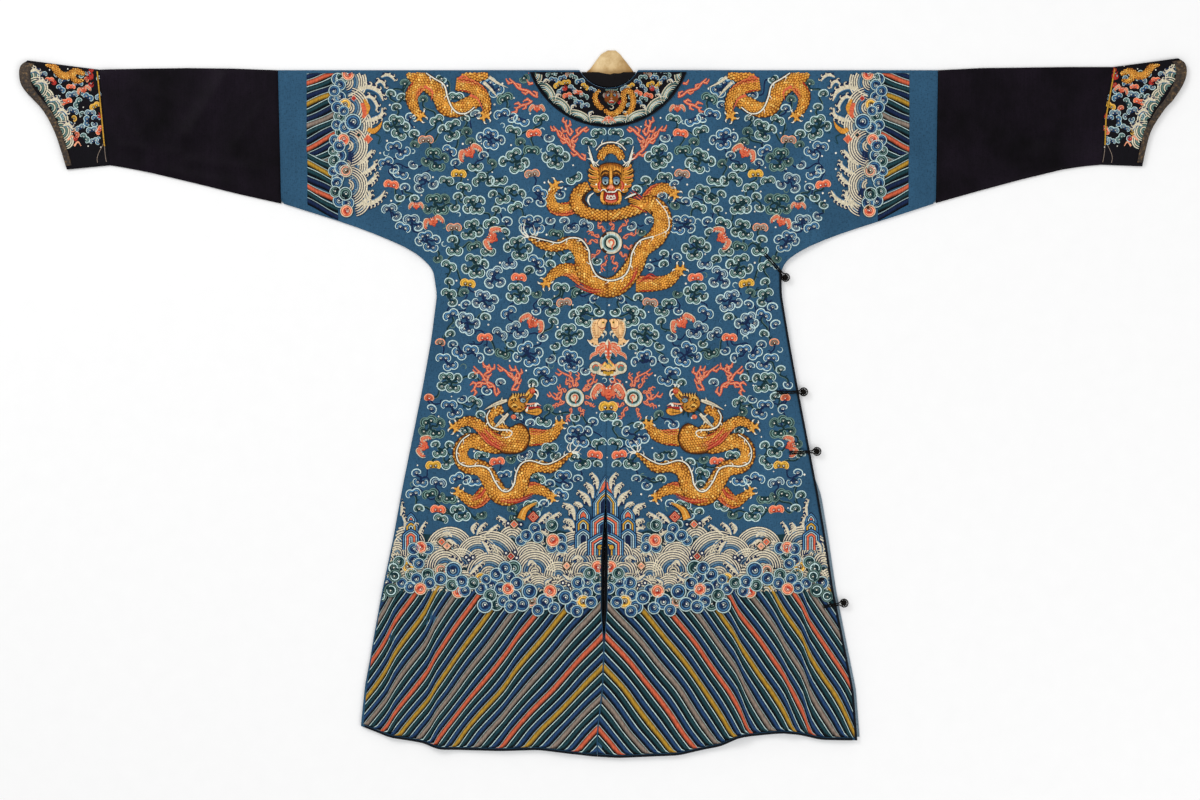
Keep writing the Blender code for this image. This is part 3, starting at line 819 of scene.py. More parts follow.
def lining_piece(material):
    """The cream lining past the shoulder: a soft, slightly pouched tongue."""
    rows = np.linspace(602, 665, 34)
    left = read(NECK_LINING, rows, 1)
    right = read(NECK_LINING, rows, 2)
    share = np.linspace(0.0, 1.0, 30)[:, None]
    x = left + share * (right - left)
    y = rows + 0.0 * x
    pouch = 3.2 * np.sin(share * math.pi) * ease((y - 612.0) / 16.0) * ease((666.0 - y) / 14.0)
    dents = ridges(LINING_DENTS, x, y)
    grid = np.stack([x, y, WALL / 2 + pouch + dents * ease((y - 614.0) / 10.0)], axis=-1)
    return own(cloth("cloth_neck_lining", grid, material), ["neck_lining"])


def tube(name, line, radius, material, sides=8):
    """A round cord along a line of 3-D points, with closed ends."""
    line = np.asarray(line, float)
    ahead = np.gradient(line, axis=0)
    ahead /= np.linalg.norm(ahead, axis=1, keepdims=True)
    side = np.cross(ahead, np.array([0.0, 0.0, 1.0]))
    side /= np.maximum(1e-9, np.linalg.norm(side, axis=1, keepdims=True))
    up = np.cross(side, ahead)
    angles = np.arange(sides) * 2 * math.pi / sides
    radii = np.broadcast_to(np.asarray(radius, float), (len(line),))
    rings = (line[:, None] + radii[:, None, None]
             * (side[:, None] * np.cos(angles)[None, :, None] + up[:, None] * np.sin(angles)[None, :, None]))
    faces = grid_faces(len(line), sides, closed=True)
    faces += [tuple(range(sides)), tuple(reversed([(len(line) - 1) * sides + k for k in range(sides)]))]
    item = mesh_object(name, rings.reshape(-1, 3), faces, material)
    face_out(item)
    return item


# ---------------------------------------------------------------- drawing with thread

LAID = 0.35                  # the lowest thread above the cloth
DEEPER = 1.2                 # a ray that goes this far past the cloth has found an opening
RELIEF = 0.7                 # how much of the drawn heights the stitches keep

# what Pen.line gets for a thin, flat line
THIN = {"rows": 2, "dome": 0.0}


class Pen:
    """Stitched shapes in plan, kept by thread until they are laid on the cloth.

    A point is x, y and the height above the cloth. The pen's place turns, scales and mirrors plans.
    """

    def __init__(self):
        self.parts = {}
        self.guards = []
        self.places = [(np.eye(2), np.zeros(2), 0.0)]

    def at(self, x, y, turn=0.0, size=1.0, mirror=False, base=0.0):
        """Moves the pen until back() is called."""
        matrix, shift, height = self.places[-1]
        cos, sin = turned(turn) * size
        local = np.array(((cos, -sin), (sin, cos))) @ np.diag((-1.0 if mirror else 1.0, 1.0))
        self.places.append((matrix @ local, matrix @ np.array((x, y)) + shift, height + base))
        return self

    def back(self):
        self.places.pop()

    def plan(self, points):
        matrix, shift, _ = self.places[-1]
        return np.asarray(points, float) @ matrix.T + shift

    def guard(self, points, radius):
        """Keeps the clouds off these places."""
        size = math.sqrt(abs(np.linalg.det(self.places[-1][0])))
        radii = np.broadcast_to(radius, (len(points),)) * size
        self.guards += [(*spot, reach) for spot, reach in zip(self.plan(points), radii)]

    def add(self, thread, plan, heights, faces, uv, tone):
        part = self.parts.setdefault(thread, {"points": [], "faces": [], "uv": [], "tone": [], "count": 0})
        heights = np.broadcast_to(heights, (len(plan),)) + self.places[-1][2]
        part["points"].append(np.column_stack([plan, heights]))
        part["faces"] += [tuple(k + part["count"] for k in face) for face in faces]
        part["uv"].append(uv)
        part["tone"].append(np.broadcast_to(tone, (len(plan),)))
        part["count"] += len(plan)

    def band(self, thread, one, other, height=0.0, dome=0.0, tone=1.0, rows=3):
        """Stitches between two lines in plan that have the same number of points."""
        one, other = self.plan(one), self.plan(other)
        reach = reach_along((one + other) / 2)
        wide = np.linalg.norm(other - one, axis=1)
        tones = np.broadcast_to(tone, (rows,)) if np.ndim(tone) else [tone] * rows
        points, heights, uv, shade = [], [], [], []
        for row, share in enumerate(np.linspace(0.0, 1.0, rows)):
            points.append(one + (other - one) * share)
            heights.append(np.broadcast_to(height, (len(one),)) + dome * (1 - (2 * share - 1) ** 2))
            uv.append(np.column_stack([reach, wide * (share - 0.5)]))
            shade.append(np.full(len(one), tones[row]))
        count = len(one)
        faces = [(r * count + k, r * count + k + 1, (r + 1) * count + k + 1, (r + 1) * count + k)
                 for r in range(rows - 1) for k in range(count - 1)]
        self.add(thread, np.concatenate(points), np.concatenate(heights), faces, np.concatenate(uv),
                 np.concatenate(shade))

    def line(self, thread, points, width, height=0.0, dome=None, tone=1.0, rows=3):
        """A line of stitches with a width, or with widths at even steps along it."""
        points = np.asarray(points, float)
        _, aside = headings(points)
        widths = np.atleast_1d(width).astype(float)
        widths = np.interp(np.linspace(0, 1, len(points)), np.linspace(0, 1, len(widths)), widths)
        half = aside * widths[:, None] / 2
        if dome is None:
            dome = min(0.7, 0.12 * float(widths.max()))
        self.band(thread, points - half, points + half, height, dome, tone, rows)

    def curve(self, thread, points, width, height=0.0, per=4, **look):
        """A line of stitches along a smooth curve through a few points."""
        self.line(thread, smooth(points, per), width, height, **look)

    def patch(self, thread, outline, height=0.0, dome=0.2, tone=1.0, rings=1):
        """A filled shape that its middle can see all of; its stitches run up the cloth."""
        outline = self.plan(outline)
        middle = outline.mean(axis=0)
        count = len(outline)
        points = [middle[None]]
        heights = [np.array([height + dome])]
        faces = [(0, 1 + k, 1 + (k + 1) % count) for k in range(count)]
        for ring in range(1, rings + 1):
            share = ring / rings
            points.append(middle + (outline - middle) * share)
            heights.append(np.full(count, height + dome * (1 - share ** 2)))
            if ring > 1:
                start = 1 + (ring - 2) * count
                faces += [(start + k, start + count + k, start + count + (k + 1) % count,
                           start + (k + 1) % count) for k in range(count)]
        points = np.concatenate(points)
        self.add(thread, points, np.concatenate(heights), faces, points * (1.0, 0.6), tone)

    def disc(self, thread, x, y, radius, height=0.0, dome=0.2, tone=1.0, sides=12, rings=1):
        self.patch(thread, circle(x, y, radius, sides), height, dome, tone, rings)

    def ring(self, thread, x, y, radius, width, height=0.0, tone=1.0, sides=16, rows=3):
        ends = circle(x, y, radius, sides)
        self.line(thread, np.concatenate([ends, ends[:1]]), width, height, tone=tone, rows=rows)


def circle(x, y, radius, sides, start=0.0):
    """The corners of a regular polygon."""
    angles = np.arange(sides) * 2 * math.pi / sides + math.radians(start)
    return np.stack([x + radius * np.cos(angles), y + radius * np.sin(angles)], axis=-1)


def arc(x, y, radius, start, end, steps):
    """Points of an arc, by degrees from +X; the radius may be a pair for an ellipse."""
    wide, high = radius if np.ndim(radius) else (radius, radius)
    angles = np.radians(np.linspace(start, end, steps + 1))
    return np.stack([x + wide * np.cos(angles), y + high * np.sin(angles)], axis=-1)


def cloth_trees(cloths):
    """The cloths' finished meshes, made ready for rays."""
    graph = bpy.context.evaluated_depsgraph_get()
    trees = []
    for item in cloths:
        mesh = bmesh.new()
        mesh.from_object(item, graph)
        trees.append(BVHTree.FromBMesh(mesh))
        mesh.free()
    return trees


def ground_under(points, trees):
    """The top of the cloths under each point, and whether there is any."""
    found = np.zeros(len(points), bool)
    ground = np.full(len(points), -1.0)
    for k, (x, y) in enumerate(points[:, :2] * MM):
        for tree in trees:
            hit = tree.ray_cast(Vector((x, y, 0.1)), Vector((0, 0, -1)))[0]
            if hit is not None:
                ground[k] = max(ground[k], hit.z / MM)
                found[k] = True
    return ground, found


def lay(pen, cloths, prefix, keep, least=None):
    """Drops a pen's stitches onto cloths and makes one piece of each thread."""
    trees = cloth_trees(cloths)
    pieces = []
    for thread, part in sorted(pen.parts.items()):
        points = np.concatenate(part["points"])
        ground, found = ground_under(points, trees)
        if least is not None:
            found &= ground > least(points[:, 0], points[:, 1]) - DEEPER
        found &= keep(points[:, 0], points[:, 1])
        points[:, 2] = points[:, 2] * RELIEF + ground + LAID
        faces = [face for face in part["faces"] if all(found[k] for k in face)]
        used = sorted({k for face in faces for k in face})
        if not used:
            continue
        number = {old: new for new, old in enumerate(used)}
        faces = [tuple(number[k] for k in face) for face in faces]
        item = mesh_object(f"{prefix}_{thread}", points[used], faces, thread_material(thread))
        add_maps(item, np.concatenate(part["uv"])[used] * MM, np.concatenate(part["tone"])[used])
        pieces.append(own(item, []))
    return pieces


def add_maps(item, stitch, tone):
    """A map from above named OFBake, the map of the stitches, and each shape's tone: its own dye, with
    painted shade and painted highlights where the drawing asks for them.
    """
    mesh = item.data
    corner = np.zeros(len(mesh.loops), int)
    mesh.loops.foreach_get("vertex_index", corner)
    place = np.zeros(len(mesh.vertices) * 3)
    mesh.vertices.foreach_get("co", place)
    plan = place.reshape(-1, 3)[:, :2]
    low = plan.min(axis=0)
    span = float((plan.max(axis=0) - low).max())
    for name, values in (("OFBake", (plan - low) / span), ("stitch", stitch)):
        layer = mesh.uv_layers.new(name=name)
        layer.data.foreach_set("uv", values[corner].astype(np.float32).ravel())
    mesh.uv_layers["OFBake"].active = True
    mesh.uv_layers["OFBake"].active_render = True
    mesh.attributes.new("tone", "FLOAT", "POINT").data.foreach_set("value", tone.astype(np.float32))


# ---------------------------------------------------------------- small motifs

CLOUD_THREADS = {
    # outline, second line, ground, core
    "grey": ("pale", "sage", "teal", "pine"),
    "slate": ("pale", "sky", "blue", "navy"),
    "deep": ("sage", "sage", "teal", "pine"),
    "coral": ("blush", "coral", "coral", "ruby"),
    "ochre": ("straw", "ochre", "ochre", "umber"),
    "taupe": ("blush", "taupe", "taupe", "umber"),
    "light": ("pale", "slate", "blue", "navy"),
}
FOAM_THREADS = {
    # outline, second line, ground, core
    "light": ("pale", "sky", "blue", "navy"),
    "grey": ("pale", "sage", "teal", "pine"),
    "deep": ("sage", "pale", "teal", "pine"),
    "coral": ("cream", "blush", "coral", "ruby"),
    "ochre": ("cream", "straw", "ochre", "umber"),
    "taupe": ("cream", "blush", "taupe", "umber"),
}
WARM_DYES = ("coral", "ochre", "taupe")
# the right half of a two-lobed head's edge, and the edge of a head with one swirl
CAP_HALF = ((0.0, 0.44), (0.2, 0.54), (0.48, 0.6), (0.8, 0.46), (1.0, 0.12), (0.96, -0.22), (0.76, -0.4),
            (0.56, -0.3))
SWIRL = ((0.42, -0.3), (0.86, -0.3), (1.0, 0.12), (0.68, 0.64), (0.05, 0.86), (-0.68, 0.68), (-1.0, 0.06),
         (-0.8, -0.5), (-0.3, -0.6))


def cloud_cap():
    """The edge of a cloud head of two lobes: it dips at its middle and its ends hook in below."""
    right = np.array(CAP_HALF)
    return smooth(np.concatenate([right[::-1], right[1:] * (-1, 1)]), 2)


CLOUD_CAP = cloud_cap()
CLOUD_SWIRL = smooth(SWIRL, 2)


def double_head(pen, dye, half, tone=1.0):
    """A cloud head of two lobes with a swirl in each; its stem side is down."""
    outline, second, ground, core = CLOUD_THREADS[dye]
    warm = dye in WARM_DYES
    body = np.concatenate([CLOUD_CAP[2:-2], [(-0.3, -0.3), (0.3, -0.3)]])
    pen.patch(ground, body * half, 0.0, 0.2, tone * (1.0 if warm else 0.62))
    widths = half * np.array((0.07, 0.12, 0.13, 0.13, 0.13, 0.12, 0.07))
    pen.line(outline, CLOUD_CAP * half, widths, 0.4, tone=tone * 1.14, dome=0.2)
    pen.line(second, CLOUD_CAP[2:-2] * (0.74 * half, 0.66 * half), 0.11 * half, 0.3, tone=tone * 1.7,
             dome=0.1)
    for sign in (-1, 1):
        x, y = sign * 0.34 * half, -0.02 * half
        pen.disc(core, x, y, 0.26 * half, 0.35, 0.1, sides=9)
        pen.line(outline, arc(x, y, (0.22 * half, 0.19 * half), 90 + sign * 80, 90 - sign * 130, 6),
                 times(half, 0.03, 0.07, 0.07), 0.5, tone=0.8 * tone, **THIN)
        pen.disc("white", x, y, 0.095 * half, 0.6, 0.2, sides=6)


def single_head(pen, dye, radius, tone=1.0):
    """A cloud head with one swirl; its stem side is down."""
    outline, second, ground, core = CLOUD_THREADS[dye]
    pen.patch(ground, CLOUD_SWIRL * radius, 0.0, 0.2, tone * 0.62)
    widths = radius * np.array((0.12, 0.25, 0.25, 0.2, 0.08))
    pen.line(outline, CLOUD_SWIRL * radius, widths, 0.4, tone=tone * 1.1, dome=0.2)
    pen.line(second, CLOUD_SWIRL[2:-1] * 0.7 * radius, 0.12 * radius, 0.3, tone=tone, dome=0.1)
    pen.disc(core, 0.05 * radius, -0.04 * radius, 0.42 * radius, 0.35, 0.1, sides=9)
    pen.line(outline, arc(0.05 * radius, 0, 0.34 * radius, -50, 170, 6), times(radius, 0.05, 0.1, 0.1), 0.5,
             tone=0.8 * tone, **THIN)
    pen.disc("white", 0.05 * radius, -0.04 * radius, 0.15 * radius, 0.6, 0.2, sides=6)


def stem(pen, start, end, rng, width=4.0, dye="navy"):
    """A wavy dark stem between two cloud heads, with thin lighter threads beside it."""
    start, end = np.asarray(start, float), np.asarray(end, float)
    run = end - start
    length = float(np.linalg.norm(run))
    aside = to_left(run) / max(length, 1e-6)
    sway = rng.uniform(0.1, 0.2) * length * rng.choice((-1, 1))
    path = smooth([start, start + run * 0.3 + aside * sway, start + run * 0.7 - aside * sway * 0.8, end], 4)
    pen.line(dye, path, times(width, 1.0, 0.75, 1.0), 0.0)
    beside = path + aside * width * 0.6 * rng.choice((-1, 1))
    pen.line("sky" if dye == "navy" else "sage", beside, 1.0, 0.05, tone=0.9, **THIN)
    if length > 20 and rng.random() < 0.5:
        twig = path[len(path) // 2]
        side = aside * rng.choice((-1, 1))
        pen.curve(dye, [twig, twig + side * 4 + run * 0.05, twig + side * 7 - run * 0.02], [2.6, 1.8, 0.4],
                  0.0, per=3)


def curl(pen, radius, rng):
    """A small pale hook that trails from a cloud."""
    pen.line(rng.choice(("sage", "sky", "pale")), arc(0, 0, radius, 0, 230, 7), [1.8, 1.8, 0.7], 0.1, **THIN)


def swirl_disc(pen, x, y, radius, base, dye="light", turn=0.0):
    """A round swirl of the sea foam: thin rings on a dark ground about an eye, open at one side."""
    outline, second, ground, core = FOAM_THREADS[dye]
    warm = dye in WARM_DYES
    pen.at(x, y, turn=turn, base=base)
    pen.disc("umber" if warm else "black", 0, 0, radius * 1.04, -0.1, 0.2, sides=16)
    pen.disc(ground, 0, 0, radius * 0.96, 0.0, 0.35, sides=16, rings=2, tone=1.0 if warm else 0.66)
    pen.ring(outline, 0, 0, radius * 0.92, radius * 0.14, 0.3, sides=18)
    pen.line(second, arc(0, 0, radius * 0.64, -60, 250, 13), times(radius, 0.08, 0.15, 0.15, 0.1), 0.4,
             tone=1.3, dome=0.1)
    pen.disc(core, 0.06 * radius, 0, radius * 0.44, 0.42, 0.1, sides=10)
    pen.line(outline, arc(0.06 * radius, 0, radius * 0.3, -100, 150, 8), times(radius, 0.06, 0.12, 0.08),
             0.5, tone=0.8, **THIN)
    pen.disc("white", 0.08 * radius, -0.04 * radius, radius * 0.12, 0.66, 0.15, sides=7)
    pen.back()


# the threads of a wave's arcs, from the outside in
WAVE_THREADS = ("cream", "cream", "cream", "cream", "slate", "sky", "cream", "cream", "cream", "pale", "sage",
                "cream", "cream", "slate")
SOFT_WAVES = ("cream", "cream", "sage", "cream", "sage", "cream")


def wave_fan(pen, x, y, radius, start, end, base, pitch=4.3, ground="navy", threads=WAVE_THREADS):
    """A breaking wave: groups of cream and blue arcs about one centre, with dark lines between them."""
    arcs = max(3, round(radius * 0.9 / pitch))
    steps = max(8, int(abs(end - start) / 11))
    sector = np.concatenate([arc(x, y, radius, start, end, steps), arc(x, y, radius * 0.12, end, start, 4)])
    pen.patch(ground, sector, base, 0.2, rings=max(2, int(radius / 9)))
    pitch = radius * 0.9 / arcs
    for k in range(arcs):
        thread = threads[k % len(threads)]
        wide = pitch * (0.64 if thread == "cream" else 0.74)
        middle = arc(x, y, radius - (k + 0.5) * pitch, start, end, steps)
        pen.line(thread, middle, times(wide, 0.5, 1.0, 1.0, 0.6), base + 0.3, dome=0.2, tone=1.12 - 0.03 * k)


def long_wave(pen, wide, high, base):
    """A low wave along a rim: nested half ellipses of cream and pale green on a dark ground."""
    pen.patch("pine", arc(0, 0, (wide, high), 0, 180, 14), base, 0.2)
    threads = ("cream", "sage", "cream", "pale", "cream", "sage")
    for k, share in enumerate(np.linspace(0.94, 0.24, len(threads))):
        crest = arc(-0.1 * wide * k / 5, 0, (wide * share, high * share), 4, 176, 12)
        pen.line(threads[k], crest, [0.8, 1.8, 1.9, 1.0], base + 0.3, dome=0.2, tone=1.0)


def spray(pen, path, width, hooks=4, base=0.0, side=1, thread="cream"):
    """A plume of foam with small curled fingers down one side."""
    path = smooth(path, 5)
    ahead, aside = headings(path)
    aside = aside * side
    pen.line("navy", path, times(width, 0.5, 1.1, 1.0, 0.4), base, dome=0.1)
    pen.line("sky", path - aside * width * 0.26, times(width, 0.2, 0.42, 0.36, 0.1), base + 0.15, dome=0.1,
             rows=2)
    pen.line(thread, path, times(width, 0.28, 0.6, 0.54, 0.16), base + 0.25, dome=0.4)
    for k in range(hooks):
        at = int((0.2 + 0.76 * k / max(1, hooks - 1)) * (len(path) - 1))
        size = width * (0.36 - 0.035 * k)
        centre = path[at] + aside[at] * width * 0.46 + ahead[at] * size * 0.3
        heading = math.degrees(math.atan2(ahead[at][1], ahead[at][0]))
        pen.disc("navy", *centre, size * 1.3, base + 0.1, 0.1, sides=9)
        finger = arc(*centre, size * 0.82, heading - side * 120, heading + side * 110, 7)
        pen.line(thread, finger, times(size, 0.7, 0.74, 0.6, 0.3), base + 0.35, dome=0.25, rows=2)


def plume(pen, points, width, thread, base=0.0, dome=None, tone=1.0):
    """A pointed lick: wide at its root, sharp at its end."""
    pen.line(thread, smooth(points, 5), [width, width * 0.9, width * 0.5, 0.3], base, dome, tone)


def flame(pen, path, rng, width=5.4, base=0.0, licks=4, reach=12.0):
    """A branching flame, coral with a redder edge and a painted highlight along each lick."""
    path = smooth(path, 6)
    ahead, aside = headings(path)
    path = path + aside * np.sin(np.arange(len(path)) * 0.8)[:, None] * width * 0.3
    tips = [(path, times(width, 0.7, 1.0, 0.9, 0.5))]
    for k in range(licks):
        at = int((0.1 + 0.76 * k / max(1, licks - 1)) * (len(path) - 1))
        side = 1 if k % 2 else -1
        long = reach * rng.uniform(0.75, 1.15)
        root, out, on = path[at], aside[at] * side, ahead[at]
        lick = smooth([root, root + out * long * 0.42 + on * long * 0.1,
                       root + out * long * 0.58 + on * long * 0.5,
                       root + out * long * 0.52 + on * long * 0.9], 4)
        tips.append((lick, times(width, 0.85, 0.8, 0.7, 0.4)))
        knob = smooth([lick[4], lick[4] + out * long * 0.2, lick[4] + (out * 0.34 + on * 0.18) * long], 3)
        tips.append((knob, times(width, 0.6, 0.5, 0.2)))
    for line, widths in tips:
        pen.line("ruby", line, [w * 1.35 for w in widths], base, dome=0.1, tone=1.1)
        pen.line("coral", line, widths, base + 0.2, tone=rng.uniform(0.92, 1.1))
        # painted highlight: a thin blush line along the coral
        pen.line("blush", line + 0.2, [w * 0.36 for w in widths], base + 0.85, **THIN)
    pen.guard(path[::3], reach * 0.7)


BAT_WING = ((0.08, 0.02), (0.28, -0.08), (0.36, 0.3), (0.62, 0.42), (0.86, 0.16), (0.96, -0.16),
            (0.86, -0.42))


def bat(pen, x, y, span, turn=0.0, base=0.5, mirror=False):
    """A bat with wavy wings: coral, with a cream edge and scallops along the hollow side."""
    half = span / 2
    pen.at(x, y, turn=turn, base=base, mirror=mirror)
    for sign in (-1, 1):
        wing = smooth(np.array(BAT_WING) * (sign, 1.0), 3) * half
        pen.line("ruby", wing, times(half, 0.4, 0.36, 0.46, 0.48, 0.34, 0.12), 0.0, dome=0.1)
        pen.line("coral", wing, times(half, 0.34, 0.28, 0.36, 0.38, 0.24, 0.05), 0.2)
        # painted highlight: a thin blush line along the coral wing
        pen.line("blush", wing[3:], times(half, 0.05, 0.12, 0.1, 0.02), 0.8, **THIN)
        edge = wing[6:] + (wing[6:] - (sign * 0.42 * half, -0.15 * half)) * 0.34
        pen.line("cream", edge, times(half, 0.05, 0.09, 0.08, 0.04), 0.6, **THIN)
        for share, reach in ((0.46, 0.24), (0.64, 0.26), (0.82, 0.2)):
            spot = wing[int(share * (len(wing) - 1))]
            inward = np.array((sign * 0.42 * half, -0.3 * half)) - spot
            spot = spot + inward / np.linalg.norm(inward) * reach * half
            pen.disc("cream", spot[0], spot[1], 0.1 * half, 0.55, 0.2, sides=7)
            pen.disc("ruby", spot[0], spot[1], 0.045 * half, 0.85, 0.05, sides=5)
    body = smooth([(0, 0.42), (0.17, 0.26), (0.24, 0.0), (0.18, -0.28), (0.0, -0.46), (-0.18, -0.28),
                   (-0.24, 0.0), (-0.17, 0.26)], 2, closed=True) * half
    pen.patch("ruby", body * 1.1, 0.5, 0.2)
    pen.patch("coral", body, 0.7, 0.6)
    for k in range(3):
        pen.line("ruby", arc(0, (0.12 - 0.2 * k) * half, (0.13 * half, 0.1 * half), 200, 340, 5),
                 0.05 * half, 1.3, **THIN)
    for sign in (-1, 1):
        pen.disc("white", sign * 0.11 * half, 0.3 * half, 0.055 * half, 1.4, 0.05, sides=6)
        pen.line("blush", [(sign * 0.07 * half, 0.4 * half), (sign * 0.16 * half, 0.52 * half)], 0.08 * half,
                 0.9, rows=2)
    pen.guard([(0, 0), (-0.6 * half, 0), (0.6 * half, 0)], 0.45 * half)
    pen.back()


def pearl(pen, x, y, radius, base=0.6):
    """A pearl: pale rings about a coral comma."""
    pen.at(x, y, base=base)
    for k, (share, thread) in enumerate(((1.06, "umber"), (1.0, "cream"), (0.82, "pale"), (0.7, "sage"),
                                         (0.58, "pine"), (0.44, "cream"))):
        pen.disc(thread, 0, 0, radius * share, 0.12 * k, 0.25, sides=22, rings=2)
    comma = smooth([(0.12, -0.62), (0.1, -0.3), (0.25, -0.05), (0.2, 0.2), (-0.02, 0.26), (-0.18, 0.12),
                    (-0.1, -0.06)], 4) * radius
    pen.line("coral", comma, times(radius, 0.1, 0.16, 0.16, 0.05), 1.05)
    pen.guard([(0, 0)], radius * 1.15)
    pen.back()


def pearl_flames(pen, x, y, radius, rng, turns):
    """Short flames that swirl away from a pearl."""
    for turn in turns:
        out = turned(turn)
        round_it = to_left(out) * rng.choice((-1, 1))
        root = np.array((x, y)) + out * radius * 1.15
        long = radius * rng.uniform(1.0, 1.5)
        path = [root, root + out * long * 0.4 + round_it * long * 0.16,
                root + out * long * 0.7 - round_it * long * 0.06, root + out * long + round_it * long * 0.24]
        flame(pen, path, rng, width=2.8, licks=3, reach=7.0)


def star(pen, x, y, radius=2.0):
    """A small white knot stitch."""
    pen.disc("white", x, y, radius, 0.1, 0.3, sides=7)


# ---------------------------------------------------------------- dragons


class Serpent:
    """A scaled body along a path in plan, with widths at even steps along it."""

    def __init__(self, path, widths, per=8):
        self.path = smooth(path, per)
        self.reach = reach_along(self.path)
        self.length = self.reach[-1]
        stations = np.linspace(0, 1, len(widths))
        self.widths = np.interp(self.reach / self.length, stations, widths)
        self.ahead, _ = headings(self.path)

    def read(self, at):
        """The middle, the direction and the width at a length along the body."""
        middle, ahead = (np.array([np.interp(at, self.reach, column) for column in rows.T])
                         for rows in (self.path, self.ahead))
        return middle, ahead / np.linalg.norm(ahead), float(np.interp(at, self.reach, self.widths))

    def point(self, at, across):
        """A point at a length along the body; across runs from -1, its right edge, to 1."""
        middle, ahead, width = self.read(at)
        return middle + to_left(ahead) * across * width / 2

    def edge(self, across, start=0.0, end=1.0, count=24):
        return np.array([self.point(at * self.length, across) for at in np.linspace(start, end, count)])

    def stitch(self, pen, base, rng, swell=1.0, scale=5.4, outline=3.0, gold="gold"):
        """The body: a dark edge, a padded brown ground and rows of gold scales, with painted shade that
        darkens the scales towards the edges.
        """
        pen.line("umber", self.path, self.widths + outline, base, dome=0.1)
        pen.line("amber", self.path, self.widths, base + 0.15, dome=swell, tone=0.52, rows=5)
        rows = max(2, int(self.length / (scale * 0.8)))
        for row in range(rows):
            at = (row + 0.5) / rows * self.length
            _, ahead, width = self.read(at)
            count = max(1, int(round((width - 1.0) / scale)))
            shift = 0.5 if row % 2 else 0.0
            for k in range(count + (row % 2)):
                across = (2 * (k + 0.5 - shift) / count - 1) * 0.93
                if abs(across) > 0.97:
                    continue
                height = base + 0.15 + swell * (1 - across ** 2)
                # painted shade: the scales darken towards the body's edges
                scale_stitch(pen, self.point(at, across), ahead, scale, height, rng, gold,
                             1.08 - 0.28 * across ** 2)
        pen.guard(self.path[::4], self.widths[::4] / 2 + 1.0)

    def fringe(self, pen, across, start, end, base, size=4.0, thread="umber"):
        """Short dark spikes along one side."""
        count = int((end - start) * self.length / 4.2)
        for k in range(count):
            at = (start + (end - start) * k / count) * self.length
            _, ahead, _ = self.read(at)
            root = self.point(at, across * 0.98)
            out = to_left(ahead) * across
            spike = [root - ahead * 1.3, root + out * size * 0.5, root + out * size + ahead * size * 0.5]
            pen.line(thread, spike, [2.4, 1.6, 0.3], base, dome=0.1, rows=2)


def scale_stitch(pen, centre, ahead, size, height, rng, gold="gold", tone=1.0):
    """One couched scale: a rounded tongue with a painted highlight across its tip."""
    aside = to_left(ahead)
    half = size * 0.43
    tongue = ((-0.95, -0.6), (-0.2, -0.95), (0.6, -0.72), (1.0, 0.0), (0.6, 0.72), (-0.2, 0.95), (-0.95, 0.6))
    outline = [centre + ahead * u * half + aside * v * half for u, v in tongue]
    pick = rng.random()
    thread = gold if pick < 0.84 else ("straw" if pick < 0.95 else "amber")
    pen.patch(thread, outline, height + 0.12, 0.3, tone=tone * rng.uniform(1.0, 1.25))
    # painted highlight: a straw tick across the tip
    tip = centre + ahead * half * 0.25
    pen.line("straw", [tip - aside * half * 0.4, tip + aside * half * 0.4], half * 0.35, height + 0.5,
             tone=tone, **THIN)


def within(outline, x, y):
    """Whether a point lies inside an outline."""
    ends = np.roll(outline, -1, axis=0)
    crosses = (outline[:, 1] > y) != (ends[:, 1] > y)
    slope = (ends[:, 0] - outline[:, 0]) / np.where(crosses, ends[:, 1] - outline[:, 1], 1.0)
    return bool(np.sum(crosses & (x < outline[:, 0] + (y - outline[:, 1]) * slope)) % 2)


def scaled_shape(pen, outline, base, heading, rng, scale=5.4, swell=1.2):
    """A swelling part of a body, such as a shoulder, covered with scales that point one way; painted shade
    darkens the scales away from its middle.
    """
    outline = smooth(outline, 4, closed=True)
    middle = outline.mean(axis=0)
    pen.patch("umber", middle + (outline - middle) * 1.09, base, 0.2, rings=2)
    pen.patch("amber", outline, base + 0.15, swell, tone=0.52, rings=3)
    ahead = turned(heading)
    aside = to_left(ahead)
    reach = float(np.linalg.norm(outline - middle, axis=1).max())
    count = int(reach / (scale * 0.8)) + 1
    for row in range(-count, count + 1):
        for column in range(-count, count + 1):
            centre = middle + ahead * row * scale * 0.8 + aside * (column + 0.5 * (row % 2)) * scale
            inner = middle + (centre - middle) * 1.06
            if within(outline, *inner):
                away = float(np.linalg.norm(centre - middle)) / reach
                # painted shade: the scales darken away from the middle of the swelling
                scale_stitch(pen, centre, ahead, scale, base + 0.2 + swell * (1 - away ** 2), rng,
                             tone=1.08 - 0.25 * away ** 2)
    pen.guard(outline[::3], 6.0)
    pen.guard([middle], reach * 0.8)


def ridge(pen, path, base, side=1, width=2.8, spikes=26.0):
    """The cream crest line, with small flames along one side."""
    path = smooth(path, 7)
    reach = reach_along(path)
    pen.line("umber", path, width + 2.4, base, dome=0.1)
    pen.line("white", path, times(width, 0.7, 1.0, 1.0, 0.7), base + 0.25, dome=0.4)
    for at in np.arange(spikes * 0.6, reach[-1], spikes):
        k = int(np.searchsorted(reach, at))
        ahead = path[min(k + 1, len(path) - 1)] - path[k - 1]
        ahead = ahead / np.linalg.norm(ahead)
        out = to_left(ahead) * side
        spur = [path[k], path[k] + out * 4 + ahead * 2, path[k] + out * 7 + ahead * 7]
        pen.curve("white", spur, [2.2, 1.4, 0.3], base + 0.2, 3, **THIN)


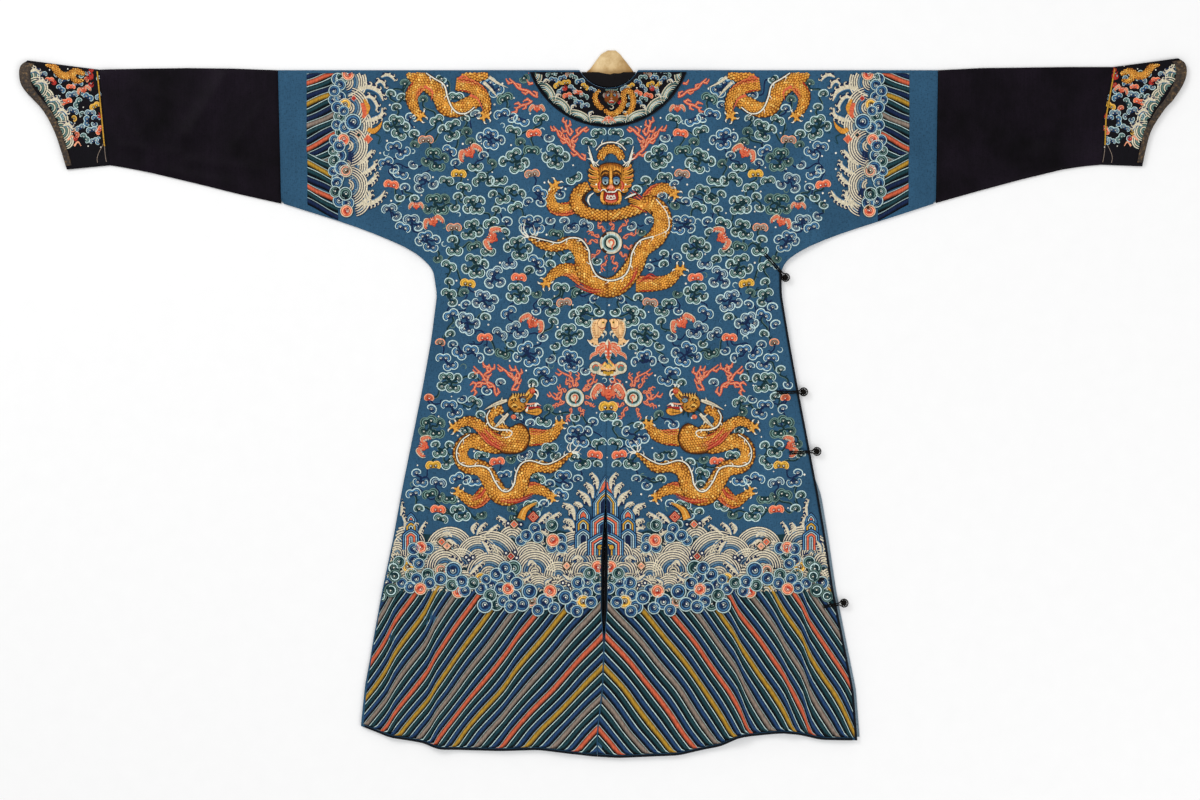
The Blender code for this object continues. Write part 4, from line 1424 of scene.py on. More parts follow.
def claw(pen, x, y, turn, reach, base, toes=5, spread=230.0, mirror=False):
    """A foot with toes spread like a fan, each bent at its knuckle and ending in a hooked nail."""
    pen.at(x, y, turn=turn, base=base, mirror=mirror)
    pen.disc("umber", 0, 0, reach * 0.42, 0.0, 0.1, sides=10)
    pen.disc("gold", 0, 0, reach * 0.34, 0.2, 0.6, sides=10)
    for k in range(toes):
        out = turned(-spread / 2 + spread * k / (toes - 1))
        aside = to_left(out) * (1 if k % 2 else -1)
        long = reach * (0.95 if k not in (0, toes - 1) else 0.85)
        toe = smooth([out * 0, out * long * 0.42 + aside * long * 0.12,
                      out * long * 0.74 + aside * long * 0.02], 4)
        pen.line("umber", toe, times(reach, 0.42, 0.4, 0.36), 0.0, dome=0.1, rows=2)
        pen.line("gold", toe, times(reach, 0.3, 0.29, 0.24), 0.25, tone=1.05)
        pen.line("straw", toe[2:], times(reach, 0.05, 0.12), 0.95, **THIN)
        nail = smooth([out * long * 0.76, out * long * 0.98 - aside * long * 0.08,
                       out * long * 1.06 - aside * long * 0.34], 4)
        pen.line("umber", nail, times(reach, 0.3, 0.22, 0.1), 0.2, dome=0.05, rows=2)
        pen.line("white", nail, [reach * 0.2, reach * 0.14, 0.4], 0.4, rows=2)
    pen.guard([(0, 0), (reach * 0.6, 0)], reach * 0.75)
    pen.back()


def limb(pen, path, widths, foot_turn, rng, base, reach=17.0, toes=5):
    """A leg: a scaled serpent, flame streaks from its root and a clawed foot."""
    leg = Serpent(path, widths)
    leg.stitch(pen, base, rng, swell=0.8, scale=4.8)
    streaks = (("coral", 0.92, 0.0, 0.62), ("ruby", 0.66, 0.02, 0.5), ("coral", 0.4, 0.0, 0.36),
               ("ruby", -0.9, 0.05, 0.4))
    for thread, across, start, end in streaks:
        pen.line(thread, leg.edge(across, start, end, 9), [1.2, 2.4, 1.8, 0.3], base + 1.1, **THIN)
    end = leg.path[-1]
    claw(pen, end[0], end[1], foot_turn, reach, base + 0.3, toes)
    return leg


def hairs(pen, x, y, strands, thread="white", base=0.8, width=2.4):
    """Curved tufts from a tail or an elbow."""
    for dx, dy, bend in strands:
        run = np.array((dx, dy), float)
        aside = to_left(run) * bend
        root = np.array((x, y), float)
        pen.curve(thread, [root, root + run * 0.5 + aside, root + run], [width, width * 0.8, 0.3], base,
                  per=5)


TUFTS = (
    # root and tip of the locks beside the face, on the right
    ((20, 33), (37, 39)), ((21, 27), (40, 31)), ((21, 20), (41, 21)), ((21, 12), (40, 12)),
    ((20, 4), (37, 3)), ((18, -3), (31, -6)),
)
FACE_HALF = ((11, 43), (20, 39), (24, 31), (22, 20), (23, 8), (21, -4), (18, -10), (19, -20), (17.5, -28),
             (11, -32))


def facing_head(pen, x, y, base=3.0):
    """The head seen from the front: horns, locks, wide eyes, nose, moustache and open jaws."""
    pen.at(x, y, base=base)
    for sign in (-1, 1):
        facing_locks(pen, sign)
        facing_horn(pen, sign)
    half = np.array(FACE_HALF)
    face = smooth([(0, 44), *half, (0, -33), *(half[::-1] * (-1, 1))], 3, closed=True)
    pen.patch("umber", face * 1.05, 0.2, 0.4, rings=3)
    pen.patch("amber", face, 0.4, 1.2, tone=0.7, rings=4)
    for k in range(15):
        across = -21 + 3 * k
        high = 41 - 0.014 * across ** 2
        low = 21 + 5 * (k % 2) if abs(across) < 16 else 2
        pen.curve("gold", [(across, high), (across * 0.96 + 1, (high + low) / 2), (across * 0.92, low)],
                  [1.2, 2.3, 0.8], 1.5, tone=1.35 if k % 2 else 0.9, per=3)
        if k % 3 == 1:
            pen.line("umber", [(across + 1.5, high - 3), (across + 1.2, low + 6)], [0.6, 1.3, 0.5], 2.1,
                     **THIN)
    pen.line("gold", [(0, 38), (0, 22), (0, 4)], [2.0, 4.6, 7.6], 1.9, tone=1.25)
    # painted highlight down the nose bridge
    pen.line("straw", [(0, 30), (0, 14), (0, 5)], [1.0, 2.6, 3.6], 2.5, rows=2, tone=1.1)
    for sign in (-1, 1):
        facing_eye(pen, sign)
        facing_cheek(pen, sign)
    facing_mouth(pen)
    nose = smooth([(0, 5), (4.2, 2.4), (7.6, -3), (5.4, -7.6), (0, -6.6), (-5.4, -7.6), (-7.6, -3),
                   (-4.2, 2.4)], 3, closed=True)
    pen.patch("umber", nose * 1.16, 2.3, 0.2)
    pen.patch("coral", nose, 2.5, 0.7, tone=1.1)
    # painted highlight on the nose
    pen.patch("blush", nose * 0.6 + (0, 1.0), 3.0, 0.4)
    for sign in (-1, 1):
        pen.disc("ruby", sign * 3.6, -4.4, 1.2, 3.3, 0.05, tone=0.6, sides=6)
        whisker = smooth([(0, -9.6), (sign * 7, -9.4), (sign * 12, -5), (sign * 17, -6), (sign * 20, -10)], 4)
        pen.line("umber", whisker - (0, 1.4), [2.0, 1.6, 0.6], 2.7, **THIN)
        pen.line("white", whisker, [2.6, 2.4, 2.0, 0.5], 2.9)
    pen.guard([(0, 0), (0, 30), (0, -26), (34, 45), (-34, 45)], 32.0)
    pen.back()


def facing_locks(pen, sign):
    """The ears, the curled locks and the dark hair at one side of the face."""
    for dx, dy in ((30, -18), (38, -6), (45, 8), (46, 24), (42, 40)):
        hair = smooth([(sign * 18, dy * 0.6), (sign * dx * 0.8, dy * 0.9), (sign * dx, dy + 6)], 4)
        pen.line("umber", hair, [3.0, 2.6, 0.6], -1.6, **THIN)
        pen.line("pine", hair + (0, 2.6), [2.0, 2.0, 0.5], -1.6, **THIN)
    for k, (root, tip) in enumerate(TUFTS):
        root, tip = np.array(root, float), np.array(tip, float)
        lock = smooth([root, (root + tip) / 2 + (0, -2.6), tip, tip + (-1.5, 3.4)], 4) * (sign, 1)
        pen.line("umber", lock, [9.0, 10.0, 6.0, 1.6], -0.4 + 0.05 * k, dome=0.2)
        pen.line("gold", lock, [6.4, 7.2, 3.6, 0.8], -0.1 + 0.05 * k, dome=0.5, tone=1.15 if k % 2 else 0.95)
        pen.line("coral" if k in (0, 2, 4) else "umber", lock[2:-3] - (0, 0.6), [0.8, 2.0, 0.8], 0.6, **THIN)
        pen.line("straw", lock[3:-2] + (0, 2.2), [0.5, 1.2, 0.4], 0.6, **THIN)


def facing_cheek(pen, sign):
    """A cheek with red crescents and white dots, and the lines that run down beside the nose."""
    for k, thread in enumerate(("coral", "ruby", "gold")):
        crescent = smooth([(sign * (15 + 3 * k), -8), (sign * (21 + 2.4 * k), -2),
                           (sign * (21 + 2.4 * k), 6), (sign * (17 + 2.4 * k), 12)], 4)
        pen.line(thread, crescent, [1.0, 3.0, 2.6, 0.6], 1.8 + 0.1 * k, tone=1.1)
    pen.disc("white", sign * 27.5, 4.5, 1.7, 2.3, 0.2, sides=7)
    pen.disc("white", sign * 23, -6, 1.4, 2.3, 0.2, sides=7)
    pen.curve("umber", [(sign * 4.0, 34), (sign * 3.8, 18), (sign * 5.0, 5), (sign * 11, -3)],
              [0.8, 1.9, 1.4, 0.5], 2.4, rows=2)
    pen.curve("gold", [(sign * 8, -2), (sign * 13, -4), (sign * 16, 0)], [2.0, 4.4, 2.0], 2.0, tone=1.2)
    pen.curve("umber", [(sign * 3, 27), (sign * 10, 30), (sign * 18, 25), (sign * 19, 18)],
              [0.8, 3.4, 2.6, 0.8], 2.2, rows=2)
    pen.curve("gold", [(sign * 4, 31), (sign * 11, 34), (sign * 19, 29)], [1.2, 3.0, 0.8], 2.4, tone=1.3)


def facing_mouth(pen):
    """Open jaws with teeth, a lower lip and a fringe below the chin."""
    mouth = smooth([(-12, -11), (0, -10), (12, -11), (12.5, -25), (0, -27), (-12.5, -25)], 3, closed=True)
    pen.patch("umber", mouth * 1.06 + (0, 1), 1.6, 0.1)
    pen.patch("ruby", mouth, 1.8, 0.1, tone=0.8)
    for sign in (-1, 1):
        pen.line("white", np.array([(1, -16), (3.4, -20.5), (5.8, -15.6), (8.4, -21)]) * (sign, 1),
                 [3.4, 3.0, 3.2, 2.2], 2.3, rows=2, dome=0.1)
        jaw = smooth([(sign * 15.4, -9), (sign * 17, -17), (sign * 16.6, -25), (sign * 12, -29)], 4)
        pen.line("gold", jaw, [3.6, 5.6, 5.6, 3.4], 1.9, tone=1.3)
        pen.line("straw", jaw + (sign * 1.2, 0), [0.6, 1.5, 0.6], 2.5, **THIN)
        pen.line("umber", jaw - (sign * 3.3, 0), [0.8, 1.4, 0.8], 2.3, **THIN)
    pen.line("white", [(-9, -22), (0, -23.4), (9, -22)], [1.6, 2.2, 1.6], 2.3, rows=2, dome=0.1)
    pen.curve("coral", [(-11, -26), (0, -28.6), (11, -26)], [2.4, 4.2, 2.4], 2.3)
    for k in range(11):
        across = -15 + 3 * k
        pen.curve("umber", [(across, -28), (across * 1.05, -32), (across * 1.14, -36 + abs(across) * 0.25)],
                  [2.2, 1.8, 0.5], 1.2, rows=2, per=3)
        pen.line("gold", [(across + 1.4, -28), (across * 1.05 + 1.4, -33)], [2.0, 0.7], 1.4, rows=2, tone=1.1)


def facing_horn(pen, sign):
    """An antler: three white lines that run together into one."""
    joint, tip = np.array((sign * 37.5, 51.5)), np.array((sign * 42.5, 77))
    for root in ((22.5, 40), (27, 38), (31.5, 38)):
        branch = smooth([(sign * root[0], root[1]), ((sign * root[0] + joint[0]) / 2,
                                                     (root[1] + joint[1]) / 2), joint], 4)
        pen.line("umber", branch, 3.4, 0.6, dome=0.1, rows=2)
        pen.line("white", branch, [1.5, 1.7, 2.0], 0.9, dome=0.3)
    top = smooth([joint - (sign * 2, 3), joint + (sign * 1, 9), tip], 4)
    pen.line("umber", top, [6.6, 6.0, 2.0], 0.3, dome=0.1, rows=2)
    pen.line("white", top, [4.8, 4.0, 0.8], 0.6, dome=0.5)
    for start, end in ((joint, (sign * 46, 54)), ((sign * 28, 44), (sign * 21, 52)),
                       (joint + (0, 9), (sign * 44, 65))):
        plume(pen, [start, end], 2.4, "white", 0.8)


def facing_eye(pen, sign):
    """An eye with a dark lid, a pale lower half and a low pupil."""
    x, y = sign * 10.2, 12
    pen.patch("umber", arc(x, y, (8.2, 9.6), 0, 330, 11), 2.0, 0.3)
    pen.patch("slate", arc(x, y - 0.6, (6.2, 7.6), 0, 330, 11), 2.3, 0.5, tone=1.1)
    pen.patch("navy", arc(x, y + 2.4, (6.4, 5.8), 0, 180, 8), 2.8, 0.1, tone=1.4)
    pen.line("sky", arc(x, y + 0.6, (5.6, 4.6), 20, 160, 6), 2.0, 2.9, tone=1.2, **THIN)
    pen.line("pale", arc(x, y - 0.6, (4.4, 5.4), 200, 340, 6), 1.8, 2.9, **THIN)
    pen.disc("black", x + sign * 0.3, y - 4.0, 2.2, 3.2, 0.1, sides=8)
    pen.line("umber", arc(x, y + 1, (8.4, 10.2), 10, 170, 7), [0.8, 2.6, 0.8], 2.5, rows=2)
    pen.line("umber", arc(x, y - 1, (8.0, 9.6), 200, 340, 6), [0.6, 1.4, 0.6], 2.5, **THIN)


def side_head(pen, x, y, base=2.6):
    """The head from its side, looking up with its jaws open towards +X."""
    pen.at(x, y, base=base)
    for dx, dy in ((-26, -24), (-12, -30), (2, -30), (12, -26)):
        plume(pen, [(dx * 0.4, dy * 0.4), (dx * 0.8, dy * 0.75), (dx, dy)], 5.0, "pine", -1.2, 0.1)
    for line, spurs in (([(-22, 3), (-35, -1), (-50, -7), (-65, -15)],
                         (((-33, 1), (-31, 9)), ((-44, -7), (-44, -14)))),
                        ([(-20, -22), (-31, -34), (-40, -43), (-49, -50)],
                         (((-27, -29), (-36, -22)), ((-30, -35), (-26, -44))))):
        horn = smooth(line, 4)
        pen.line("umber", horn, [7.0, 9.5, 6.0, 1.5], 0.0, dome=0.1)
        pen.line("cream", horn, [4.6, 7.4, 4.4, 0.5], 0.3, dome=0.7)
        pen.line("taupe", horn[2:-4], 0.7, 1.1, **THIN)
        for root, end in spurs:
            plume(pen, [root, end], 3.2, "cream", 0.4)
    skull = smooth([(-19, 3), (-15, 10), (-7, 14), (3, 15), (11, 13), (16, 19), (20, 25), (27, 27), (31, 21),
                    (26, 11), (18, 3), (14, -7), (7, -17), (-5, -19), (-15, -14), (-20, -5)], 3, closed=True)
    pen.patch("umber", skull * 1.05, 0.3, 0.4, rings=2)
    pen.patch("gold", skull, 0.5, 1.1, tone=0.8, rings=3)
    for mark in ([(-16, 8), (-12, 2), (-15, -4)], [(-9, 12), (-6, 6), (-9, 0), (-13, -1)],
                 [(0, 13), (2, 9), (-2, 6)], [(-12, -6), (-8, -10), (-3, -8), (-5, -4)],
                 [(-2, -12), (3, -14), (6, -10), (3, -7)], [(9, -2), (12, -6), (10, -11)],
                 [(14, 6), (18, 12), (17, 17)], [(-18, -8), (-14, -14), (-8, -16)]):
        pen.curve("umber", mark, [0.6, 2.2, 1.8, 0.5], 1.75, **THIN)
    # the straw strokes of this loop are painted highlights on the gold skull
    for k in range(6):
        pen.curve("umber", [(-15 + 5 * k, 9), (-13 + 5 * k, 14), (-14 + 5.4 * k, 18)], [0.5, 1.5, 0.5], 1.5,
                  per=3, **THIN)
        pen.curve("straw", [(-12.6 + 5 * k, 9), (-10.6 + 5 * k, 13), (-11.4 + 5.2 * k, 17)], [0.5, 1.8, 0.5],
                  1.4, rows=2, per=3)
    # the straw strokes are painted highlights on the gold skull
    for path, thread in (([(-17, 4), (-8, 9), (-2, 2)], "straw"), ([(-16, -3), (-9, 1), (-3, -6)], "gold"),
                         ([(-14, -10), (-7, -5), (0, -12)], "straw"), ([(-6, -16), (0, -10), (8, -14)],
                                                                       "gold"),
                         ([(12, 12), (18, 16), (24, 24)], "straw"), ([(13, 4), (20, 10), (27, 20)], "gold")):
        pen.curve(thread, path, [1.5, 4.4, 3.0, 1.0], 1.4)
        pen.line("umber", smooth(path, 4) - (0, 2.6), [0.4, 1.2, 0.4], 1.5, **THIN)
    pen.patch("umber", arc(8, 3, (6.8, 5.6), 0, 324, 9), 1.9, 0.2)
    pen.patch("slate", arc(8, 3, (5.2, 4.2), 0, 324, 9), 2.1, 0.3, tone=1.1)
    pen.disc("black", 8.8, 3, 1.9, 2.5, 0.1, sides=7)
    pen.disc("white", 9.4, 3.8, 0.7, 2.7, 0.05, sides=5)
    pen.curve("navy", [(0, 5), (7, 10.5), (15, 8)], [1.0, 2.4, 0.8], 2.2)
    pen.patch("ruby", arc(25.5, 20, (5.6, 5.0), 0, 324, 9), 1.9, 0.4)
    pen.patch("coral", arc(25.5, 20.5, (4.0, 3.6), 0, 324, 9), 2.3, 0.3)
    jaw = smooth([(12, -14), (22, -15), (34, -12), (42, -14), (42, -20), (34, -25), (22, -23), (14, -20)], 3,
                 closed=True)
    pen.patch("umber", jaw + (jaw - (27, -18)) * 0.08, 0.4, 0.3)
    pen.patch("gold", jaw, 0.7, 0.8, rings=2)
    pen.curve("umber", [(16, -19), (26, -20), (38, -18)], [0.5, 1.4, 0.5], 1.6, **THIN)
    pen.curve("ruby", [(12, -10), (22, -11), (32, -9), (41, -11)], [3.0, 4.6, 4.0, 1.6], 1.3)
    pen.curve("blush", [(13, -4), (22, -4), (32, -3), (42, -7)], [2.4, 3.2, 3.0, 0.8], 1.5)
    plume(pen, [(30, -8), (34, -3), (40, -6)], 4.6, "white", 2.0)
    plume(pen, [(14, -18), (16, -12), (18, -8)], 4.0, "white", 2.0)
    for k in range(3):
        pen.disc("white", 22 + 4.0 * k, -7.5, 1.3, 2.1, 0.2, sides=6)
    for path in ([(21, 27), (19, 31), (23, 34)], [(26, 28), (27, 33), (31, 33)],
                 [(30, 24), (35, 20), (36, 12), (32, 6)], [(29, 16), (34, 12), (33, 4)]):
        pen.curve("white", path, [2.6, 2.4, 0.5], 1.4)
    pen.patch("coral", arc(-10, -28, (5.0, 4.4), 0, 324, 9), 0.9, 0.4)
    pen.line("blush", arc(-10, -28, 2.6, 20, 260, 6), 1.1, 1.5, **THIN)
    pen.guard([(0, 4), (24, 4), (-20, 6), (-40, -6), (-30, -30), (28, -14)], 20.0)
    pen.back()


MAIN_HEAD = (15, 408)
MAIN_PEARL = (15, 303, 21.0)         # centre and radius
SKIRT_HEAD = (-158, 4)
SKIRT_PEARL = (-53, 12, 17.5)
FOLD_STREAKS = ((0.0, "coral"), (3.0, "ruby"), (-3.0, "ruby"))   # shift and thread of the red streaks


def main_dragon(pen, rng):
    """The frontal dragon of the back, coiled about its pearl."""
    crown = Serpent([(-5, 459), (-1, 471), (15, 480), (31, 471), (35, 459)], [11, 14, 15, 14, 11])
    crown.stitch(pen, 1.2, rng, scale=4.6)
    ridge(pen, [(-13, 477), (-2, 488), (15, 492), (32, 488), (43, 477)], 1.6, side=1, width=2.4)
    lower = Serpent([(113, 342), (102, 314), (72, 290), (57, 256), (26, 222), (-11, 223), (-36, 252),
                     (-41, 282), (-62, 303), (-90, 296), (-116, 299), (-139, 312)],
                    [30, 31, 31, 33, 35, 35, 32, 27, 24, 20, 13, 3])
    lower.stitch(pen, 1.7, rng)
    lower.fringe(pen, -1, 0.18, 0.6, 1.5)
    lower.fringe(pen, 1, 0.78, 0.97, 1.5, size=3.0)
    neck = Serpent([(-26, 410), (-45, 399), (-51, 378), (-36, 362), (-7, 355), (28, 356), (62, 367),
                    (88, 378), (107, 363), (113, 338), (100, 312)], [17, 20, 21, 19, 18, 18, 20, 26, 31, 32,
                                                                     31])
    limb(pen, [(-49, 372), (-71, 366), (-92, 369), (-98, 389), (-90, 410)], [22, 24, 21, 15, 11], 95, rng,
         0.3, 16)
    limb(pen, [(81, 385), (98, 402), (119, 406), (134, 395)], [20, 20, 17, 11], -35, rng, 0.3, 15)
    limb(pen, [(-37, 237), (-64, 252), (-88, 248), (-107, 228)], [32, 25, 18, 11], -115, rng, 0.3, 15)
    limb(pen, [(62, 226), (92, 226), (122, 231), (145, 252)], [30, 27, 22, 12], 60, rng, 0.3, 16)
    neck.stitch(pen, 2.5, rng)
    neck.fringe(pen, -1, 0.04, 0.62, 2.3, size=4.5)
    ridge(pen, [(100, 385), (120, 359), (123, 329), (98, 316), (70, 307), (55, 284), (51, 261), (40, 241),
                (15, 232), (-11, 241), (-24, 267), (-27, 290), (-41, 309), (-62, 312), (-83, 303),
                (-105, 307), (-137, 315)], 3.2, side=1)
    hairs(pen, -139, 313, ((-14, 26, 0.25), (-6, 34, 0.2), (8, 24, -0.3), (18, 20, -0.3), (-16, -6, -0.2)),
          width=2.8)
    for path in ([(-49, 226), (-24, 214), (2, 211)], [(68, 228), (85, 241), (98, 235)],
                 [(79, 378), (62, 391), (51, 399)], [(36, 214), (55, 233), (64, 260)]):
        for shift, thread in ((0.0, "coral"), (3.2, "ruby"), (-3.0, "ruby")):
            pen.line(thread, smooth(path, 5) + (shift, shift), [1.0, 2.6, 2.2, 0.4], 3.1, rows=2)
    pen.curve("umber", [(-18, 404), (-30, 399), (-37, 385), (-28, 372)], [2, 6, 6, 3], 3.0, dome=0.2, per=5)
    pen.curve("white", [(-17, 397), (-25, 391), (-28, 382), (-24, 373)], [1.0, 3.4, 3.4, 1.0], 3.4, per=5)
    pen.curve("umber", [(47, 383), (66, 378), (81, 369), (94, 357)], [8, 13, 11, 3], 3.3, dome=0.2, per=5)
    for shift in (-3.0, 0.4, 3.6):
        pen.line("gold", smooth([(49, 383), (66, 378), (81, 369), (90, 360)], 5) + (0, shift),
                 [1.2, 2.8, 2.2, 0.6], 3.5, tone=1.05 if shift > 0 else 0.85)
    pen.curve("ruby", [(51, 375), (66, 369), (83, 359)], [1.0, 2.6, 1.0], 4.4, rows=2, per=5)
    pen.curve("umber", [(40, 385), (53, 391), (66, 394)], [2, 8, 3], 3.6, dome=0.1, per=5)
    pen.curve("white", [(41, 386), (53, 392), (62, 395)], [1.0, 4.0, 2.0], 3.9, per=5)
    pen.guard([(-11, 385), (6, 370), (36, 370)], 12.0)
    facing_head(pen, *MAIN_HEAD)
    pearl(pen, *MAIN_PEARL)
    pearl_flames(pen, *MAIN_PEARL, rng, (20, 52, 88, 125, 152, 180, 214, 250, 284, 318, 350))


def skirt_dragon(pen, rng):
    """The left dragon of the skirt, walking up to the centre; its mirror image is the right one."""
    body = Serpent([(-199, -38), (-175, -60), (-195, -77), (-227, -73), (-254, -69), (-269, -92),
                    (-257, -115), (-227, -122), (-210, -147), (-194, -171), (-169, -173), (-154, -150),
                    (-147, -126), (-124, -116), (-96, -120), (-73, -103), (-58, -92)],
                   [10, 20, 30, 29, 25, 25, 26, 27, 30, 32, 31, 27, 25, 22, 17, 10, 3])
    loop = Serpent([(-188, -9), (-210, -19), (-212, -38), (-194, -49)], [14, 15, 13, 12])
    loop.stitch(pen, 0.9, rng)
    limb(pen, [(-139, -62), (-113, -62), (-94, -56), (-81, -38)], [34, 28, 20, 11], 70, rng, 0.2, 15)
    limb(pen, [(-218, -165), (-239, -184), (-257, -177), (-272, -165)], [28, 26, 18, 10], 140, rng, 0.2, 14)
    limb(pen, [(-150, -163), (-130, -158), (-109, -165), (-96, -175)], [26, 22, 16, 10], -40, rng, 0.2, 14)
    body.stitch(pen, 1.5, rng)
    body.fringe(pen, -1, 0.2, 0.33, 1.3, size=4.0)
    body.fringe(pen, 1, 0.42, 0.58, 1.3, size=4.0)
    body.fringe(pen, -1, 0.7, 0.97, 1.3, size=3.5)
    scaled_shape(pen, [(-188, -51), (-173, -45), (-156, -38), (-143, -49), (-139, -66), (-148, -85),
                       (-169, -92), (-192, -88), (-199, -69)], 2.3, 25, rng)
    limb(pen, [(-188, -73), (-210, -64), (-235, -39), (-256, -32), (-278, -43)], [26, 24, 20, 16, 11], 200,
         rng, 3.3, 15)
    ridge(pen, [(-250, -57), (-265, -68), (-275, -88), (-271, -109), (-254, -117), (-231, -116),
                (-214, -123), (-203, -145), (-190, -162), (-177, -163), (-167, -150), (-163, -130),
                (-154, -113), (-137, -106), (-109, -113), (-88, -107), (-66, -93)], 3.0, side=1)
    ridge(pen, [(-212, -11), (-218, -24), (-212, -41), (-197, -48), (-177, -49), (-171, -54), (-177, -62),
                (-190, -63)], 3.4, side=-1, spikes=40.0)
    hairs(pen, -60, -92, ((8, 26, 0.2), (16, 22, -0.1), (20, 10, -0.2), (20, -3, 0.2), (14, -12, 0.3),
                          (-2, 20, 0.3)))
    for path, high in (([(-224, -47), (-205, -66), (-180, -79)], 4.6),
                       ([(-229, -53), (-210, -73), (-188, -85)], 4.6),
                       ([(-194, -180), (-162, -182), (-133, -171)], 2.8),
                       ([(-220, -158), (-231, -173), (-250, -180)], 1.6)):
        for shift, thread in FOLD_STREAKS:
            pen.line(thread, smooth(path, 5) + (0.0, shift), [1.0, 2.4, 2.0, 0.4], high, rows=2)
    side_head(pen, *SKIRT_HEAD)
    pearl(pen, *SKIRT_PEARL)
    pearl_flames(pen, *SKIRT_PEARL, rng, (10, 44, 80, 118, 152, 200, 250, 300, 335))
    for path in ([(-54, 32), (-60, 49), (-86, 66)], [(-77, 23), (-86, 8), (-101, 23)],
                 [(-37, 28), (-21, 40), (-13, 58)]):
        flame(pen, path, rng, width=3.6, licks=4, reach=11.0)


def shoulder_dragon(pen, rng):
    """The left shoulder's dragon, as much of it as shows on the back."""
    body = Serpent([(-361, 628), (-346, 613), (-323, 598), (-306, 579), (-297, 558), (-276, 553),
                    (-256, 562), (-235, 573)], [28, 29, 29, 28, 27, 26, 27, 24])
    limb(pen, [(-342, 605), (-359, 581), (-355, 557), (-344, 542)], [26, 24, 18, 11], -70, rng, 0.9, 15)
    body.stitch(pen, 1.3, rng)
    limb(pen, [(-276, 602), (-250, 598), (-229, 585), (-218, 562), (-222, 542)], [24, 26, 22, 15, 10], -95,
         rng, 2.3, 15)
    ridge(pen, [(-338, 626), (-319, 613), (-299, 600), (-292, 577), (-284, 558), (-272, 547), (-256, 547),
                (-241, 558)], 2.9, side=-1)
    body.fringe(pen, -1, 0.05, 0.5, 1.1, size=3.5)
    for path in ([(-336, 598), (-321, 587), (-323, 570)], [(-274, 609), (-261, 617), (-250, 609)],
                 [(-250, 581), (-235, 573), (-224, 549)]):
        plume(pen, path, 5.0, "coral", 2.6)
    brow = Serpent([(-265, 622), (-242, 617), (-216, 620)], [12, 24, 14])
    brow.stitch(pen, 1.6, rng)
    for path in ([(-214, 615), (-199, 604), (-178, 594)], [(-224, 605), (-209, 590), (-197, 575)]):
        pen.curve("cream", path, [6.0, 4.5, 0.4], 2.2)


# ---------------------------------------------------------------- the cloud field

FIELD_EDGE = np.array((
    # y, x of the left and right limits of the clouds
    (618, -424, 432), (440, -424, 432), (380, -430, 430), (330, -395, 410), (290, -333, 349),
    (230, -305, 321), (120, -315, 340), (26, -333, 360), (-68, -352, 379), (-162, -372, 398),
    (-226, -386, 412), (-236, -150, 150),
), float)
AXIS = 8.0                   # the embroidery's own middle line
DOUBLE_HALF = 14.6           # half the width of a cloud head with two lobes
SINGLE_HALF = 9.2            # the radius of one with a single swirl
CLOUD_BOX = (-425.0, 4.0, -228.0, 616.0)   # the left half's limits: left, right, low, high
RIGHT_CLOUDS = (12.0, 432.0)  # the left and right limits of what fills the right half
# from the largest clusters to single heads
CLUSTERS = (
    # tries, least gap to the others, heads: two lobes or one, x, y and turn of the side away from the stem
    (30, 1.5, ((True, 0, 13, 0), (True, 2, -13, 180), (False, -19.5, 2, 80), (False, 20, -2, -80))),
    (260, 1.3, ((True, -3, 12, 5), (False, 17, 7, -50), (True, 8, -10, 178), (False, -14, -5, 120))),
    (320, 1.3, ((False, -25, 5, 30), (True, -8, -7, 180), (True, 13, 7, 0), (False, 31, -4, -70))),
    (320, 1.3, ((True, -15, 6, 10), (False, 4, -3, -130), (True, 20, -9, 175))),
    (200, 1.2, ((False, -11, 7, 30), (True, 8, 10, -5), (True, 2, -10, 185))),
    (420, 1.0, ((True, -6, 8, 12), (True, 8, -9, 190))),
    (420, 1.0, ((True, 0, 8, 0), (False, -12, -7, 120), (False, 11, -8, -150))),
    (1100, 0.8, ((True, 0, 8, 0), (False, 10, -8, 200))),
    (1800, 0.4, ((True, 0, 0, 0),)),
    (4500, 0.0, ((False, 0, 0, 0),)),
)

WARM_HEADS = (
    # place, two lobes or one, dye
    ((-130, 508), True, "coral"), ((-333, 496), True, "taupe"), ((-271, 432), True, "ochre"),
    ((-398, 412), True, "coral"), ((-133, 432), True, "taupe"), ((-280, 331), True, "taupe"),
    ((-158, 237), True, "coral"), ((-254, 226), True, "ochre"), ((-73, 190), True, "taupe"),
    ((-222, 124), True, "coral"), ((-306, 115), False, "taupe"), ((-327, 11), False, "coral"),
    ((-199, -109), True, "coral"), ((-319, -116), True, "ochre"), ((-310, -199), True, "coral"),
    ((-15, -96), True, "coral"),
)


def circles_of(x, y, double, size, turn):
    """The circles that stand for a head where room is measured."""
    if not double:
        return [(x, y, 1.08 * size)]
    cos, sin = turned(turn)
    up = 0.1 * size
    return [(x + side * 0.47 * size * cos - up * sin, y + side * 0.47 * size * sin + up * cos, 0.57 * size)
            for side in (-1, 1)]


def touches(circles, x, y, reach):
    """Whether any circle comes within reach of a point."""
    if len(circles) == 0:
        return False
    rows = np.asarray(circles)
    return bool(np.any(np.hypot(rows[:, 0] - x, rows[:, 1] - y) < rows[:, 2] + reach))


def has_room(spots, taken, guards, gap):
    """Whether circles lie free of what is drawn, the robe's edges and the collar."""
    for x, y, radius in spots:
        low_x, high_x = read(FIELD_EDGE, y, 1) + radius, read(FIELD_EDGE, y, 2) - radius
        if not (low_x < x < high_x and CLOUD_BOX[2] < y < CLOUD_BOX[3]) or abs(x - AXIS) < radius + 1:
            return False
        if math.dist((x, y), COLLAR_CENTRE) < COLLAR_RADIUS + radius + 3:
            return False
        if touches(guards, x, y, radius * 0.55) or touches(taken, x, y, radius + gap):
            return False
    return True


